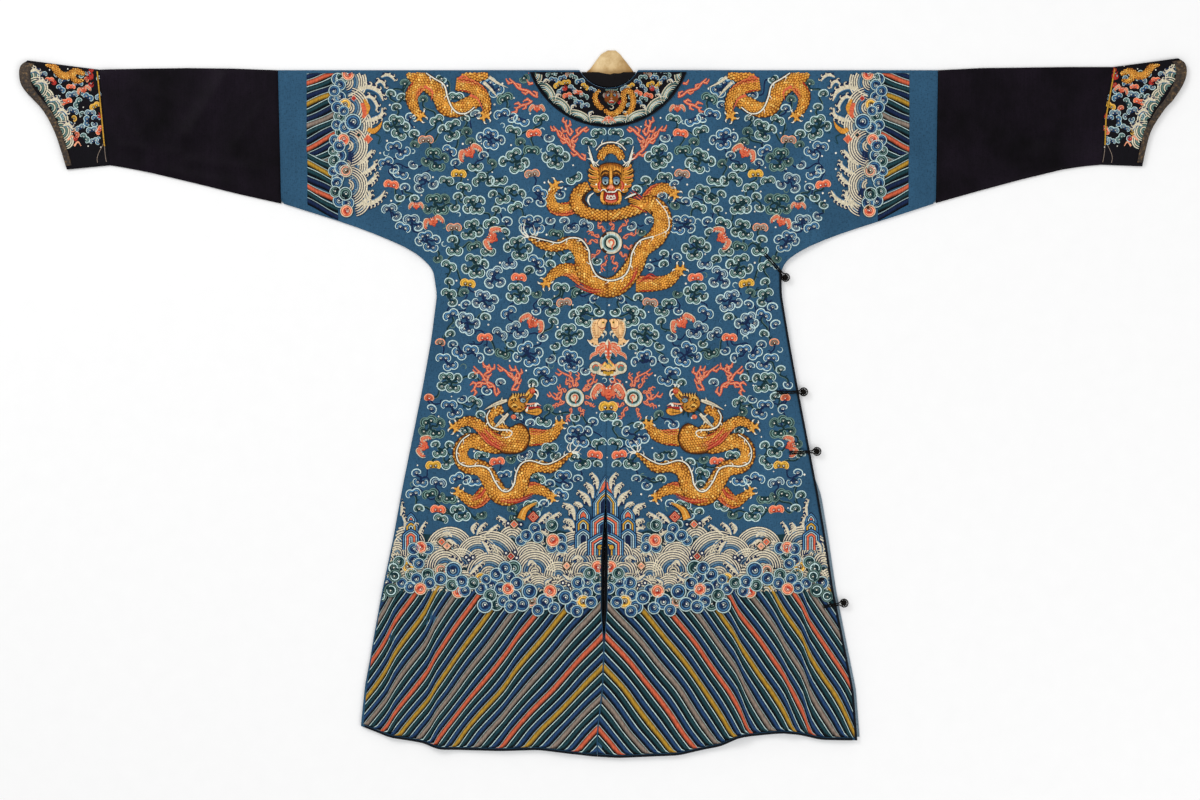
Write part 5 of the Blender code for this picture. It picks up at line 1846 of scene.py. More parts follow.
def cloud_cluster(template, gap, rng, taken, guards, across=CLOUD_BOX[:2]):
    """One try at a cluster: its heads and its middle, or nothing where there is no room."""
    x, y = rng.uniform(*across), rng.uniform(*CLOUD_BOX[2:])
    turn = rng.gauss(0.0, 15.0) + rng.choice((0, 0, 180))
    swell = rng.uniform(0.93, 1.07)
    family = rng.choice(("grey", "grey", "grey", "slate", "slate", "deep", "light"))
    cos, sin = turned(turn)
    heads, spots = [], []
    for double, along_x, up_y, own_turn in template:
        size = (DOUBLE_HALF if double else SINGLE_HALF) * swell
        along_x, up_y = along_x + rng.gauss(0.0, 1.3), up_y + rng.gauss(0.0, 1.0)
        place = x + swell * (along_x * cos - up_y * sin), y + swell * (along_x * sin + up_y * cos)
        heading = turn + own_turn + rng.gauss(0.0, 11.0)
        heads.append((*place, double, size, family, heading, rng.random() < 0.5, rng.uniform(0.88, 1.1)))
        spots += circles_of(*place, double, size, heading)
    if not has_room(spots, taken, guards, gap):
        return None
    taken += spots
    return (x, y, family), heads


def mirrored(head):
    """The same head on the other half of the robe."""
    return (2 * AXIS - head[0], *head[1:5], -head[5], not head[6], head[7])


def draw_head(pen, head, number):
    """One cloud head at its place."""
    x, y, double, size, dye, turn, flip, tone = head
    pen.at(x, y, turn=turn, mirror=flip, base=0.25 + 0.02 * (number % 9))
    if double:
        double_head(pen, dye, size, tone)
    else:
        single_head(pen, dye, size, tone)
    pen.back()


def cluster_stems(pen, clusters, rng):
    """Dark stems from each cluster's middle to its heads and on to the nearest cluster."""
    for k, ((x, y, family), heads) in enumerate(clusters):
        dye = "navy" if family in ("slate", "light") else "pine"
        for head in heads:
            if len(heads) > 1:
                foot = (head[0] + 0.25 * (x - head[0]), head[1] + 0.25 * (y - head[1]))
                stem(pen, (x, y), foot, rng, width=4.4, dye=dye)
        others = sorted(clusters[:k], key=lambda row: math.hypot(row[0][0] - x, row[0][1] - y))
        for (near_x, near_y, _), _ in others[:1 if len(heads) > 1 else 2]:
            if 16 < math.hypot(near_x - x, near_y - y) < 52:
                stem(pen, (x, y), (near_x, near_y), rng, width=3.6, dye=dye)


def warm_heads(taken):
    """The few coral, ochre and taupe heads of the left half."""
    clusters = []
    for number, ((x, y), double, dye) in enumerate(WARM_HEADS):
        size = (DOUBLE_HALF if double else SINGLE_HALF) * 0.95
        turn = 8.0 - 6.0 * (number % 4)
        taken += circles_of(x, y, double, size, turn)
        clusters.append(((x, y, "grey"), [(x, y, double, size, dye, turn, number % 2 == 0, 1.0)]))
    return clusters


def cloud_field(pen, rng):
    """The clouds: the left half's, and on the right half as many of their mirror images as fit."""
    guards = np.array(pen.guards)
    taken = []
    clusters = warm_heads(taken)
    for tries, gap, template in CLUSTERS:
        for _ in range(tries):
            found = cloud_cluster(template, gap, rng, taken, guards)
            if found:
                clusters.append(found)
    copies = []
    for (x, y, family), heads in clusters:
        kept = [head for head in map(mirrored, heads) if head[4] in WARM_DYES
                or has_room(circles_of(*head[:4], head[5]), [], guards, 0.0)]
        if kept:
            copies.append(((2 * AXIS - x, y, family), kept))
    filled = [spot for _, group in copies for head in group for spot in circles_of(*head[:4], head[5])]
    for tries, gap, template in CLUSTERS[-5:]:
        for _ in range(tries // 2):
            found = cloud_cluster(template, gap, rng, filled, guards, RIGHT_CLOUDS)
            if found:
                copies.append(found)
    cluster_stems(pen, clusters, rng)
    cluster_stems(pen, copies, rng)
    heads = [head for _, group in clusters + copies for head in group]
    for number, head in enumerate(heads):
        draw_head(pen, head, number)
    return heads


def stars(pen, heads, rng):
    """Small white dots in what is left of the ground."""
    placed = []
    guards = np.array(pen.guards)
    for _ in range(2500):
        x, y = rng.uniform(-420, 420), rng.uniform(-205, 610)
        if not read(FIELD_EDGE, y, 1) + 8 < x < read(FIELD_EDGE, y, 2) - 8:
            continue
        if math.dist((x, y), COLLAR_CENTRE) < COLLAR_RADIUS + 8 or touches(guards, x, y, 4):
            continue
        if any(math.hypot(x - a[0], y - a[1]) < 0.75 * a[3] + 5 for a in heads):
            continue
        if any(math.hypot(x - a, y - b) < 34 for a, b in placed):
            continue
        placed.append((x, y))
        if len(placed) % 3:
            star(pen, x, y, rng.uniform(1.3, 2.1))
        else:
            pen.at(x, y, turn=rng.uniform(0, 360))
            curl(pen, rng.uniform(3.5, 5.5), rng)
            pen.back()


# ---------------------------------------------------------------- stripes of the skirt

STRIPE_CYCLE = ("taupe", "coral", "ochre")
STRIPE_PITCH = 20.1
STRIPE_FIRST = -371.0        # the middle of the first taupe stripe at the centre line
STRIPE_FOOT = 5.2            # the stripes end this far above the hem
STRIPE_TOP = np.array((
    # x, y of the line that the foam hides, on the left half
    (-434, -350), (-382, -325), (-306, -325), (-250, -333), (-220, -353), (-118, -365), (-24, -365),
    (2, -353), (6, -353),
), float)
KINKS = (
    # side, x at y -360, x at y -650, fall, width
    ("right", 236, 262, 9.0, 18.0), ("right", 372, 376, 12.0, 16.0), ("right", 318, 356, 5.0, 14.0),
    ("left", -316, -306, 8.0, 20.0), ("left", -392, -390, 6.0, 16.0), ("left", -150, -176, 3.0, 20.0),
)


def stripe_fall(side, x, y):
    """How far the stripes have dropped at a point, from their height at the centre line."""
    across = np.abs(x - read(CENTRE_SEAM, y, 1))
    fall = 1.06 * across + 0.00069 * across ** 2
    fall = fall + 1.8 * np.sin(across / 41.0 + y / 90.0) + 1.1 * np.sin(across / 17.0 - y / 60.0)
    for kink_side, upper, lower, drop, width in KINKS:
        if kink_side == side:
            line = upper + (lower - upper) * np.clip((-360.0 - y) / 290.0, 0, 1)
            beyond = (x - line) if side == "right" else (line - x)
            fall = fall + drop * (ease(beyond / width) - ease((beyond - width) / 70.0))
    return fall


def stripe_plan(side, share, level):
    """Where the stripes' level crosses lines at shares of the half's width."""
    sign = SIGN[side]
    y = np.full(len(share), -450.0)
    for _ in range(14):
        inner = seam_x(side, y) + sign * 1.2
        outer = outer_x(side, y) - sign * 1.6
        x = inner + share * (outer - inner)
        y = 0.45 * y + 0.55 * (level - stripe_fall(side, x, y))
    low = hem_y(x) + STRIPE_FOOT
    top = read(STRIPE_TOP, 2.0 - np.abs(sign * x - 2.0), 1)
    return np.stack([x, np.clip(y, low, top)], axis=-1), (y > low) & (y < top)


def stripes(pen, side):
    """The slanting stripes of one half: every third is taupe, coral or ochre by turns."""
    share = np.concatenate([np.linspace(0.0, 0.97, 64), np.linspace(0.974, 1.03, 15)])
    for k in range(-42, 20):
        level = STRIPE_FIRST - k * STRIPE_PITCH
        thread = (STRIPE_CYCLE[k // 3 % 3], "pine", "blue")[k % 3]
        edges = []
        seen = np.zeros(len(share), bool)
        for part in (0.5, 0.39 if k % 3 else 0.42, -0.32, -0.5):
            plan, inside = stripe_plan(side, share, level + part * STRIPE_PITCH)
            edges.append(plan)
            seen |= inside
        if not seen.any():
            continue
        spots = np.flatnonzero(seen)
        run = slice(max(0, spots[0] - 1), spots[-1] + 2)
        top, line, low, bottom = (edge[run] for edge in edges)
        couched_stripe(pen, thread, top, line, low, bottom)


def couched_stripe(pen, thread, top, line, low, bottom):
    """A stripe in satin stitch: a thin pale upper edge as painted highlight, a slope into painted shade and a
    dark gap below.
    """
    dark = thread in ("pine", "blue")
    tones = np.array((0.4, 1.2, 2.0, 0.7, 0.03) if dark else (0.25, 0.8, 1.15, 0.65, 0.08))
    tones = tones * {"blue": 0.55, "ochre": 0.8, "coral": 0.9}.get(thread, 1.0)
    pen.band("black", low, bottom, 0.0, tone=0.2, rows=2)
    # painted shade: the band's tones rise across it and fall into shade at its lower edge
    pen.band(thread, line, low, 0.1, 0.9, tone=tones, rows=5)
    # painted highlight: the pale line along the upper edge
    pen.band("pale", top, line, 0.3, 0.2, tone=(1.0, 1.2, 1.0) if dark else (0.5, 0.9, 0.6))


# ---------------------------------------------------------------- sea, foam and mountain

FANS = (
    # centre, radius, first and last degree, layer
    ((-288, -276), 46, 5, 178, 0), ((-370, -267), 38, 10, 170, 0), ((-235, -288), 41, 5, 175, 1),
    ((-212, -295), 58, 15, 112, 1), ((-171, -254), 26, -5, 185, 0), ((-135, -291), 33, 0, 180, 1),
    ((-51, -280), 42, -10, 150, 1), ((-387, -280), 22, -20, 180, 1), ((-297, -306), 35, -5, 185, 2),
    ((-214, -321), 43, 10, 175, 2), ((-128, -314), 40, -15, 185, 2), ((-34, -316), 30, -5, 185, 2),
    ((-84, -323), 28, 0, 180, 2), ((-344, -293), 26, 20, 160, 1), ((-120, -348), 27, 0, 180, 3),
    ((-259, -338), 24, 10, 170, 2), ((-165, -340), 24, 0, 180, 2), ((-69, -350), 24, 0, 180, 2),
    ((-410, -297), 20, 0, 150, 1), ((-325, -331), 22, 0, 180, 2), ((-24, -286), 30, 20, 175, 5),
    ((-43, -299), 34, 10, 175, 3), ((-69, -297), 32, 0, 180, 2), ((-96, -304), 26, 0, 180, 1),
    ((-314, -286), 30, 10, 175, 0), ((-397, -271), 26, 20, 170, 0), ((-184, -293), 36, 20, 165, 0),
    ((-269, -304), 34, 10, 180, 1),
)
BACK_WAVES = (-286, -308, -331, -353)
SEA_TOP = ((-434, -304), (-397, -271), (-344, -244), (-288, -248), (-250, -256), (-194, -237), (-137, -244),
           (-81, -237), (-43, -248), (0, -265))
SPRAYS = (
    # path, width, side of the hooks
    (((-351, -242), (-357, -233), (-351, -222)), 9, -1), (((-346, -248), (-342, -235), (-333, -220)), 8, -1),
    (((-242, -244), (-246, -233), (-237, -222)), 9, -1), (((-237, -246), (-231, -233), (-220, -222)), 9, -1),
    (((-224, -248), (-210, -237), (-197, -226)), 10, -1), (((-173, -231), (-184, -220), (-197, -210)), 10, 1),
    (((-122, -224), (-111, -212), (-100, -203)), 10, -1), (((-109, -224), (-94, -212), (-81, -203)), 10, -1),
    (((-118, -237), (-105, -246), (-90, -257)), 9, 1), (((-131, -244), (-120, -254), (-113, -265)), 8, 1),
    (((-56, -241), (-64, -233), (-73, -235)), 9, -1), (((-54, -233), (-60, -220), (-73, -216)), 10, 1),
    (((-53, -218), (-58, -195), (-75, -186)), 12, 1), (((-37, -199), (-43, -188), (-53, -184)), 9, 1),
    (((-24, -192), (-30, -175), (-47, -162)), 12, 1), (((-19, -177), (-21, -158), (-32, -147)), 11, 1),
    (((-11, -160), (-11, -143), (-21, -128)), 10, 1), (((-380, -210), (-378, -194), (-383, -179)), 8, -1),
    (((-374, -237), (-372, -222), (-378, -209)), 8, -1), (((-284, -250), (-291, -242), (-301, -242)), 9, 1),
    (((-304, -267), (-289, -257), (-274, -265)), 11, -1), (((-227, -257), (-218, -269), (-214, -282)), 10, 1),
    (((-291, -289), (-274, -297), (-263, -308)), 10, 1), (((-141, -304), (-135, -295), (-124, -303)), 9, -1),
    (((-135, -323), (-148, -331), (-158, -325)), 9, 1), (((-250, -320), (-239, -308), (-225, -295)), 10, -1),
    (((-88, -286), (-79, -278), (-66, -282)), 10, -1), (((-58, -293), (-47, -286), (-36, -293)), 9, -1),
    (((-75, -320), (-62, -329), (-49, -325)), 9, 1), (((-96, -329), (-107, -336), (-103, -348)), 8, 1),
    (((-397, -257), (-404, -267), (-406, -280)), 8, 1), (((-385, -304), (-374, -297), (-368, -286)), 8, 1),
)
FOAM = (
    # centre, radius, dye
    ((-342, -269), 12, "coral"), ((-329, -271), 12, "light"), ((-356, -272), 12, "light"),
    ((-340, -284), 11, "grey"), ((-356, -293), 12, "light"), ((-346, -300), 11, "light"),
    ((-366, -306), 12, "ochre"), ((-360, -320), 12, "grey"), ((-394, -308), 13, "deep"),
    ((-391, -323), 12, "deep"), ((-407, -336), 13, "light"), ((-398, -350), 13, "deep"),
    ((-350, -328), 12, "light"), ((-362, -344), 12, "light"), ((-343, -347), 12, "coral"),
    ((-329, -320), 12, "grey"), ((-326, -336), 12, "light"), ((-304, -312), 12, "taupe"),
    ((-305, -328), 13, "light"), ((-281, -312), 16, "light"), ((-275, -323), 11, "grey"),
    ((-265, -333), 13, "light"), ((-284, -340), 12, "grey"), ((-272, -353), 12, "coral"),
    ((-260, -351), 12, "light"), ((-244, -336), 12, "grey"), ((-229, -328), 12, "ochre"),
    ((-220, -329), 10, "light"), ((-229, -347), 12, "light"), ((-209, -340), 13, "light"),
    ((-200, -320), 13, "light"), ((-184, -308), 13, "light"), ((-168, -308), 15, "grey"),
    ((-176, -325), 13, "light"), ((-162, -337), 13, "light"), ((-192, -347), 13, "light"),
    ((-178, -347), 12, "coral"), ((-166, -361), 13, "light"), ((-212, -359), 13, "grey"),
    ((-187, -370), 12, "light"), ((-222, -378), 15, "light"), ((-200, -376), 13, "grey"),
    ((-173, -380), 13, "light"), ((-152, -376), 14, "light"), ((-134, -371), 12, "taupe"),
    ((-138, -352), 15, "light"), ((-122, -387), 12, "light"), ((-109, -371), 16, "light"),
    ((-99, -351), 13, "coral"), ((-84, -350), 12, "light"), ((-71, -363), 14, "light"),
    ((-50, -358), 12, "light"), ((-31, -355), 12, "light"), ((-47, -336), 13, "light"),
    ((-28, -334), 13, "light"), ((-12, -328), 12, "grey"), ((-25, -318), 12, "grey"),
    ((-10, -306), 13, "coral"), ((-58, -381), 14, "light"), ((-49, -389), 12, "light"),
    ((-37, -371), 13, "ochre"), ((-22, -372), 12, "light"), ((-128, -234), 12, "light"),
    ((-96, -228), 12, "grey"), ((-144, -247), 12, "light"), ((-154, -256), 11, "light"),
    ((-94, -256), 13, "coral"), ((-79, -254), 12, "light"), ((-96, -269), 11, "light"),
    ((-77, -269), 11, "light"), ((-122, -250), 11, "light"), ((-7, -346), 12, "light"),
    ((-383, -297), 12, "grey"), ((-378, -336), 11, "light"), ((-417, -361), 11, "deep"),
    ((-92, -383), 12, "light"),
)


ROCK_X = 5                   # the middle of the rock over the vent
ARCHES = {
    # threads and their widths from the outside in
    "tip": (("navy", 2.0), ("sky", 2.2), ("navy", 2.0), ("pale", 1.8), ("navy", 1.8), ("coral", 9)),
    "gilt": (("navy", 2.0), ("sky", 2.2), ("navy", 1.6), ("pale", 1.6), ("navy", 1.6), ("ochre", 2.8),
             ("navy", 2.0), ("slate", 1.8), ("navy", 9)),
    "dusk": (("navy", 2.0), ("sky", 2.2), ("navy", 1.8), ("pale", 1.8), ("navy", 2.0), ("slate", 2.0),
             ("navy", 9)),
    "peak": (("navy", 1.8), ("sky", 2.0), ("navy", 1.8), ("ochre", 2.8), ("navy", 1.8), ("pale", 1.6),
             ("navy", 9)),
    "rose": (("navy", 2.0), ("sky", 2.2), ("navy", 2.0), ("pale", 1.4), ("navy", 1.4), ("coral", 3.4),
             ("navy", 1.8), ("pale", 1.6), ("navy", 1.8), ("sky", 1.8), ("navy", 9)),
    "rock": (("navy", 2.0), ("sky", 2.2), ("navy", 2.0), ("pale", 1.4), ("navy", 1.6), ("coral", 3.2),
             ("navy", 2.0), ("pale", 1.8), ("navy", 2.0), ("sky", 2.0), ("navy", 2.0), ("ochre", 2.6),
             ("navy", 9)),
}
PEAKS = (
    # threads, across from the middle line, top, foot, half width, rise of the crown
    ("tip", 0, -132, -186, 22, 46), ("gilt", 0, -158, -218, 25, 28),
    ("tip", 42, -192, -222, 14.5, 17), ("peak", 42, -211, -242, 15.5, 13),
    ("dusk", 42, -232, -271, 17, 13),
    ("rose", 0, -201, -256, 30, 17), ("rock", 0, -237, -284, 35, 18),
)
SIDE_ROCKS = (-361, 391)
SIDE_PEAKS = (
    # threads, top, foot, half width, rise of the crown
    ("tip", -203, -227, 12, 15), ("peak", -217, -244, 14, 12),
    ("rose", -233, -274, 17, 12),
)
# how bright the arches' threads are; the others are at 0.8
GLEAMS = {"sky": 1.5, "slate": 1.4, "pale": 1.15, "coral": 1.1, "ochre": 1.15}


def arch_line(sign, x, top, foot, half, rise, inset):
    """One side of an arch with bevelled shoulders, some way inside its outline."""
    wide = max(half - inset, 0.0)
    crown = top - inset * 1.1
    low = max(foot, crown - rise - 60)
    drop = rise * wide / half
    bends = np.array(((x + sign * wide, low), (x + sign * wide, crown - drop),
                      (x + sign * wide * 0.5, crown - 0.36 * drop), (x, crown)))
    return np.stack([np.interp(np.linspace(0, 3, 19), range(4), bends[:, k]) for k in (0, 1)], axis=-1)


def arch_side(pen, kind, sign, x, top, foot, half, rise, base):
    """One side of nested arches, from the outside in; at the middle line the vent stays open."""
    inset = 0.0
    for k, (thread, width) in enumerate(ARCHES[kind]):
        if inset >= half:
            break
        one = arch_line(sign, x, top, foot, half, rise, inset)
        inset = min(half, inset + width)
        other = arch_line(sign, x, top, foot, half, rise, inset)
        if x == ROCK_X:
            for line in (one, other):
                edge = seam_x("right" if sign > 0 else "left", line[:, 1]) + sign * 1.0
                line[:, 0] = np.maximum(line[:, 0], edge) if sign > 0 else np.minimum(line[:, 0], edge)
        pen.band(thread, one, other, base + 0.08 * k, 0.15, GLEAMS.get(thread, 0.8))


def mountain(pen, base=0.4):
    """The rock that rises at the middle, split by the vent, with lower peaks beside it."""
    for k, (kind, across, top, foot, half, rise) in enumerate(PEAKS):
        for sign in (-1, 1):
            if across:
                x = ROCK_X + sign * across
                for side in (-1, 1):
                    arch_side(pen, kind, side, x, top, foot, half, rise, base + 0.7 * k)
            else:
                arch_side(pen, kind, sign, ROCK_X, top, foot, half, rise, base + 0.7 * k)
        pen.guard([(ROCK_X - across, (top + foot) / 2), (ROCK_X + across, (top + foot) / 2)], half + 4)
    for x in SIDE_ROCKS:
        for k, (kind, top, foot, half, rise) in enumerate(SIDE_PEAKS):
            for side in (-1, 1):
                arch_side(pen, kind, side, x, top, foot, half, rise, base + 0.7 * k)
        pen.guard([(x, SIDE_PEAKS[0][1] - 20)], 24)
    for sign in (-1, 1):
        pen.disc("umber", ROCK_X + sign * 11, -269, 6.0, base + 5.2, 0.2)
        pen.disc("ochre", ROCK_X + sign * 11, -269, 4.4, base + 5.4, 0.3)
    pen.guard([(ROCK_X, -132)], 12)


def sea(pen, rng):
    """The left half's waves, foam and spray; the right half mirrors them."""
    tops = np.array(SEA_TOP, float)
    across = np.linspace(tops[0, 0], tops[-1, 0], 60)
    upper = np.stack([across, np.interp(across, tops[:, 0], tops[:, 1])], axis=-1)
    pen.band("pine", upper, np.stack([across, np.full(60, -365)], axis=-1), 0.0, tone=1.2, rows=5)
    for row, y in enumerate(BACK_WAVES):
        for x in range(-424, 8, 27):
            wave_fan(pen, x + 13 * (row % 2), y, rng.uniform(19, 25), 5, 175, 0.3)
    for (x, y), radius, start, end, layer in FANS:
        wave_fan(pen, x, y, radius, start, end, 0.7 + 0.55 * layer)
    for path, width, side in SPRAYS:
        deep = path[0][1] < -255
        spray(pen, path, width, hooks=4 if width < 11 else 5, base=2.9 if deep else 0.9, side=side)
        pen.guard(path, 9.0)
    order = sorted(FOAM, key=lambda row: -row[0][1])
    for k, ((x, y), radius, dye) in enumerate(order):
        swirl_disc(pen, x, y, radius, 3.0 + 0.35 * (k % 4) + 1.6 * k / len(order), dye, rng.uniform(0, 360))
    sea_charms(pen)


CHARMS = (
    # centre and thread of the small lozenges among the waves
    (-303, -259, "coral"), (-293, -267, "blush"), (-68, -304, "blush"), (-173, -286, "ruby"),
    (-167, -226, "coral"),
)
SEA_PEARLS = ((-252, -293), (-257, -288), (-244, -288), (-182, -280), (-165, -278), (-162, -289),
              (-178, -224), (-154, -226), (-75, -336), (-64, -340))
RED_LOZENGE = (-131, -212)
SEA_CURLS = ((8, (-122, -195)), (6, (-152, -194)), (5, (-169, -199)))   # radius and centre


def sea_charms(pen):
    """Lozenges, pearls, a horn and small curls among the waves."""
    for x, y, thread in CHARMS:
        pen.patch("umber", circle(x, y, 9.0, 8, 22), 3.6, 0.1)
        pen.patch("cream", circle(x, y, 8.0, 4), 3.8, 0.2)
        pen.patch(thread, circle(x, y, 6.5, 4), 4.0, 0.3)
        pen.disc("taupe", x, y, 2.0, 4.4, 0.1, sides=7)
    for x, y in SEA_PEARLS:
        pen.disc("navy", x, y, 5.0, 3.7, 0.2, sides=9)
        pen.disc("white", x, y, 2.2, 4.0, 0.3, sides=7)
    horn = smooth([(-154, -216), (-148, -201), (-137, -192), (-124, -187)], 5)
    pen.line("umber", horn, [17, 14, 9, 1], 3.4, dome=0.1)
    pen.line("gold", horn, [14, 11, 6, 0.5], 3.6, dome=0.8)
    pen.line("straw", horn + (0, 2.5), [2, 2, 1], 4.6, **THIN)
    pen.patch("umber", circle(*RED_LOZENGE, 12, 4), 3.5, 0.1)
    pen.patch("ruby", circle(*RED_LOZENGE, 11, 4), 3.7, 0.2)
    for share in (0.75, 0.4):
        box = circle(*RED_LOZENGE, 11 * share, 4)
        pen.line("blush", np.concatenate([box, box[:1]]), 1.3, 4.0, **THIN)
    for radius, (x, y) in SEA_CURLS:
        pen.line("sage", arc(x, y, radius, -60, 170, 8), [1.8, 1.6, 0.8], 0.3, **THIN)


# ---------------------------------------------------------------- flames, emblems and bats

FLAMES = (
    # a path from the root of each flame of the left half
    ((-122, 577), (-141, 587), (-163, 598), (-175, 613)), ((-133, 570), (-152, 560), (-167, 557)),
    ((-122, 594), (-133, 609), (-130, 620)), ((-32, 459), (-49, 470), (-62, 489), (-68, 508)),
    ((-54, 478), (-69, 493), (-84, 508), (-92, 523)), ((-60, 493), (-47, 508), (-32, 519), (-30, 534)),
    ((-60, 504), (-69, 519), (-68, 534)), ((-199, 15), (-207, 34), (-224, 49), (-242, 72)),
    ((-214, 40), (-235, 38), (-248, 23)), ((-171, 25), (-162, 45), (-178, 56), (-197, 75)),
    ((-165, 38), (-158, 53), (-165, 72)), ((-224, 53), (-212, 64), (-214, 75)),
)


def flames(pen, rng):
    """The coral flames of the left half."""
    for path in FLAMES:
        flame(pen, path, rng, width=4.4, base=0.3, licks=4, reach=13.0)


def fish(pen, x, y, mirror):
    """One of the pair of fish: its nose up at the middle line, its tail spread below."""
    pen.at(x, y, mirror=mirror, base=0.5)
    for end, bend in (((39, -17), (32, -20)), ((17, -27), (22, -22)), ((27, -27), (25, -21))):
        tail = smooth([(23, -12), bend, end], 4)
        pen.line("umber", tail, [8.0, 8.0, 3.0], 0.0, dome=0.1, rows=2)
        pen.line("peach", tail, [6.0, 6.4, 1.4], 0.2)
    pen.curve("white", [(39, -16), (34, -23), (27, -28), (16, -27)], [1.0, 2.4, 2.4, 1.0], 0.9, rows=2, per=5)
    body = smooth([(10, 22), (20, 22), (29, 19), (33, 6), (31, -6), (27, -15), (20, -14), (12, -6), (7, 3),
                   (5, 12)], 3, closed=True)
    pen.patch("umber", body + (body - (19, 4)) * 0.07, 0.1, 0.3)
    pen.patch("peach", body, 0.3, 0.9, rings=3)
    for row in range(7):
        for column in range(6):
            spot = (8 + 4.4 * (column + 0.5 * (row % 2)), 16 - 4.4 * row)
            if within(body, spot[0] + 1.6, spot[1]) and within(body, spot[0] - 1.6, spot[1] - 2):
                pen.line("amber", arc(*spot, 2.3, 190, 350, 5), 0.7, 1.0, **THIN)
    pen.curve("cream", [(20, 21), (29, 18), (32, 6), (30, -6), (26, -14)], [0.8, 2.2, 2.0, 1.0], 1.1, rows=2)
    head = smooth([(2, 20), (8, 23), (15, 22), (19.5, 16), (18, 8), (12, 5), (6, 8), (5, 14)], 3, closed=True)
    pen.patch("umber", head + (head - (12, 14)) * 0.1, 1.0, 0.2)
    pen.patch("peach", head, 1.1, 0.5, tone=1.05)
    pen.disc("straw", 9.5, 16.4, 2.9, 1.7, 0.1, sides=8)
    pen.disc("black", 9.5, 16.4, 1.7, 1.9, 0.1, sides=7)
    pen.curve("ruby", [(19, 9), (13, 4.6), (5.5, 7.5)], [0.8, 1.4, 0.8], 1.7, **THIN)
    for root, middle, end in (((9, 0), (4, -3), (5, -9)), ((13, -6), (9, -9), (11, -14)),
                              ((28, 18), (31, 22), (29, 25))):
        plume(pen, [root, middle, end], 4.4, "cream", 0.6)
    pen.guard([(22, 0), (28, -20), (12, 14)], 15)
    pen.back()


def crest_bat(pen, x, y, half, base=0.6):
    """A bat over the lotus: a peaked coral body and arched wings with cream edges."""
    pen.at(x, y, base=base)
    for sign in (-1, 1):
        for points, wide in ((((0.02, 0.3), (0.3, 0.34), (0.56, 0.12), (0.68, -0.2)), 0.36),
                             (((0.5, 0.0), (0.72, -0.12), (0.9, -0.22), (1.02, -0.46)), 0.2),
                             (((0.05, 0.0), (0.24, 0.06), (0.4, -0.08), (0.44, -0.3)), 0.22)):
            wing = smooth(np.array(points) * (sign, 1.0), 4) * half
            pen.line("cream", wing, [wide * half * 0.9, wide * half * 1.15, wide * half, 0.05 * half], 0.0,
                     dome=0.1)
            pen.line("coral", wing, [wide * half * 0.7, wide * half * 0.85, wide * half * 0.7, 0.02 * half],
                     0.25)
            # painted highlight: a thin blush line along the coral wing
            pen.line("blush", wing, [wide * half * 0.2, wide * half * 0.34, wide * half * 0.2, 0.01], 0.9,
                     **THIN)
        pen.disc("white", sign * 0.13 * half, 0.0, 0.06 * half, 1.6, 0.1, sides=7)
        pen.disc("white", sign * 0.12 * half, -0.2 * half, 0.06 * half, 1.6, 0.1, sides=7)
        plume(pen, [(sign * 0.1 * half, -0.2 * half), (sign * 0.22 * half, -0.36 * half),
                    (sign * 0.4 * half, -0.4 * half)], 0.12 * half, "teal", 0.3)
    body = smooth([(0, 0.62), (0.14, 0.4), (0.2, 0.1), (0.12, -0.3), (0, -0.46), (-0.12, -0.3), (-0.2, 0.1),
                   (-0.14, 0.4)], 2, closed=True) * half
    pen.patch("cream", body * 1.12, 0.8, 0.2)
    pen.patch("coral", body, 1.0, 0.5)
    pen.line("ruby", [(0, -0.3 * half), (0, 0.36 * half)], times(half, 0.04, 0.16, 0.03), 1.6, **THIN)
    pen.guard([(0, 0), (half * 0.6, 0), (-half * 0.6, 0)], half * 0.5)
    pen.back()


def lotus(pen, x, y, half, base=0.6):
    """A lotus seen from its side: a gold mound between two rolled cream leaves."""
    pen.at(x, y, base=base)
    for sign in (-1, 1):
        pen.disc("umber", sign * 0.7 * half, -0.02 * half, 0.36 * half, 0.0, 0.1)
        pen.ring("cream", sign * 0.7 * half, -0.02 * half, 0.27 * half, 0.13 * half, 0.3)
        pen.disc("sage", sign * 0.7 * half, -0.02 * half, 0.2 * half, 0.3, 0.2)
        pen.line("coral", arc(sign * 0.7 * half, 0.0, 0.12 * half, 20, 200, 5), 0.07 * half, 0.7, **THIN)
        pen.curve("peach", [(0, -0.16 * half), (sign * 0.3 * half, 0.0), (sign * 0.56 * half, 0.16 * half)],
                  times(half, 0.18, 0.2, 0.08), 0.7)
        pen.curve("cream", [(sign * 0.1 * half, -0.42 * half), (sign * 0.4 * half, -0.34 * half),
                            (sign * 0.62 * half, -0.3 * half)], times(half, 0.16, 0.2, 0.14), 0.5)
        pen.disc("blush", sign * 0.42 * half, 0.1 * half, 0.08 * half, 1.1, 0.2, sides=7)
        pen.line("pale", arc(sign * 0.22 * half, -0.72 * half, 0.13 * half, 90 - sign * 60, 90 + sign * 190,
                             8), times(half, 0.05, 0.05, 0.02), 0.2, rows=2)
    mound = smooth([(0, 0.46), (0.16, 0.3), (0.4, 0.02), (0.36, -0.12), (0, -0.14), (-0.36, -0.12),
                    (-0.4, 0.02), (-0.16, 0.3)], 2, closed=True) * half
    pen.patch("coral", mound * 1.1, 0.6, 0.2)
    pen.patch("straw", mound, 0.8, 0.5)
    pen.curve("sage", [(-0.2 * half, 0.04 * half), (0, 0.24 * half), (0.2 * half, 0.04 * half)], 0.06 * half,
              1.4, **THIN)
    pen.line("umber", [(-0.4 * half, -0.18 * half), (0.4 * half, -0.18 * half)], 0.06 * half, 1.0, **THIN)
    pen.line("ochre", [(-0.3 * half, -0.3 * half), (0, -0.36 * half), (0.3 * half, -0.3 * half)], 0.2 * half,
             0.7)
    pen.guard([(0, 0), (half * 0.6, 0), (-half * 0.6, 0)], half * 0.5)
    pen.back()


EMBLEM_X = 10                # the middle of the emblems


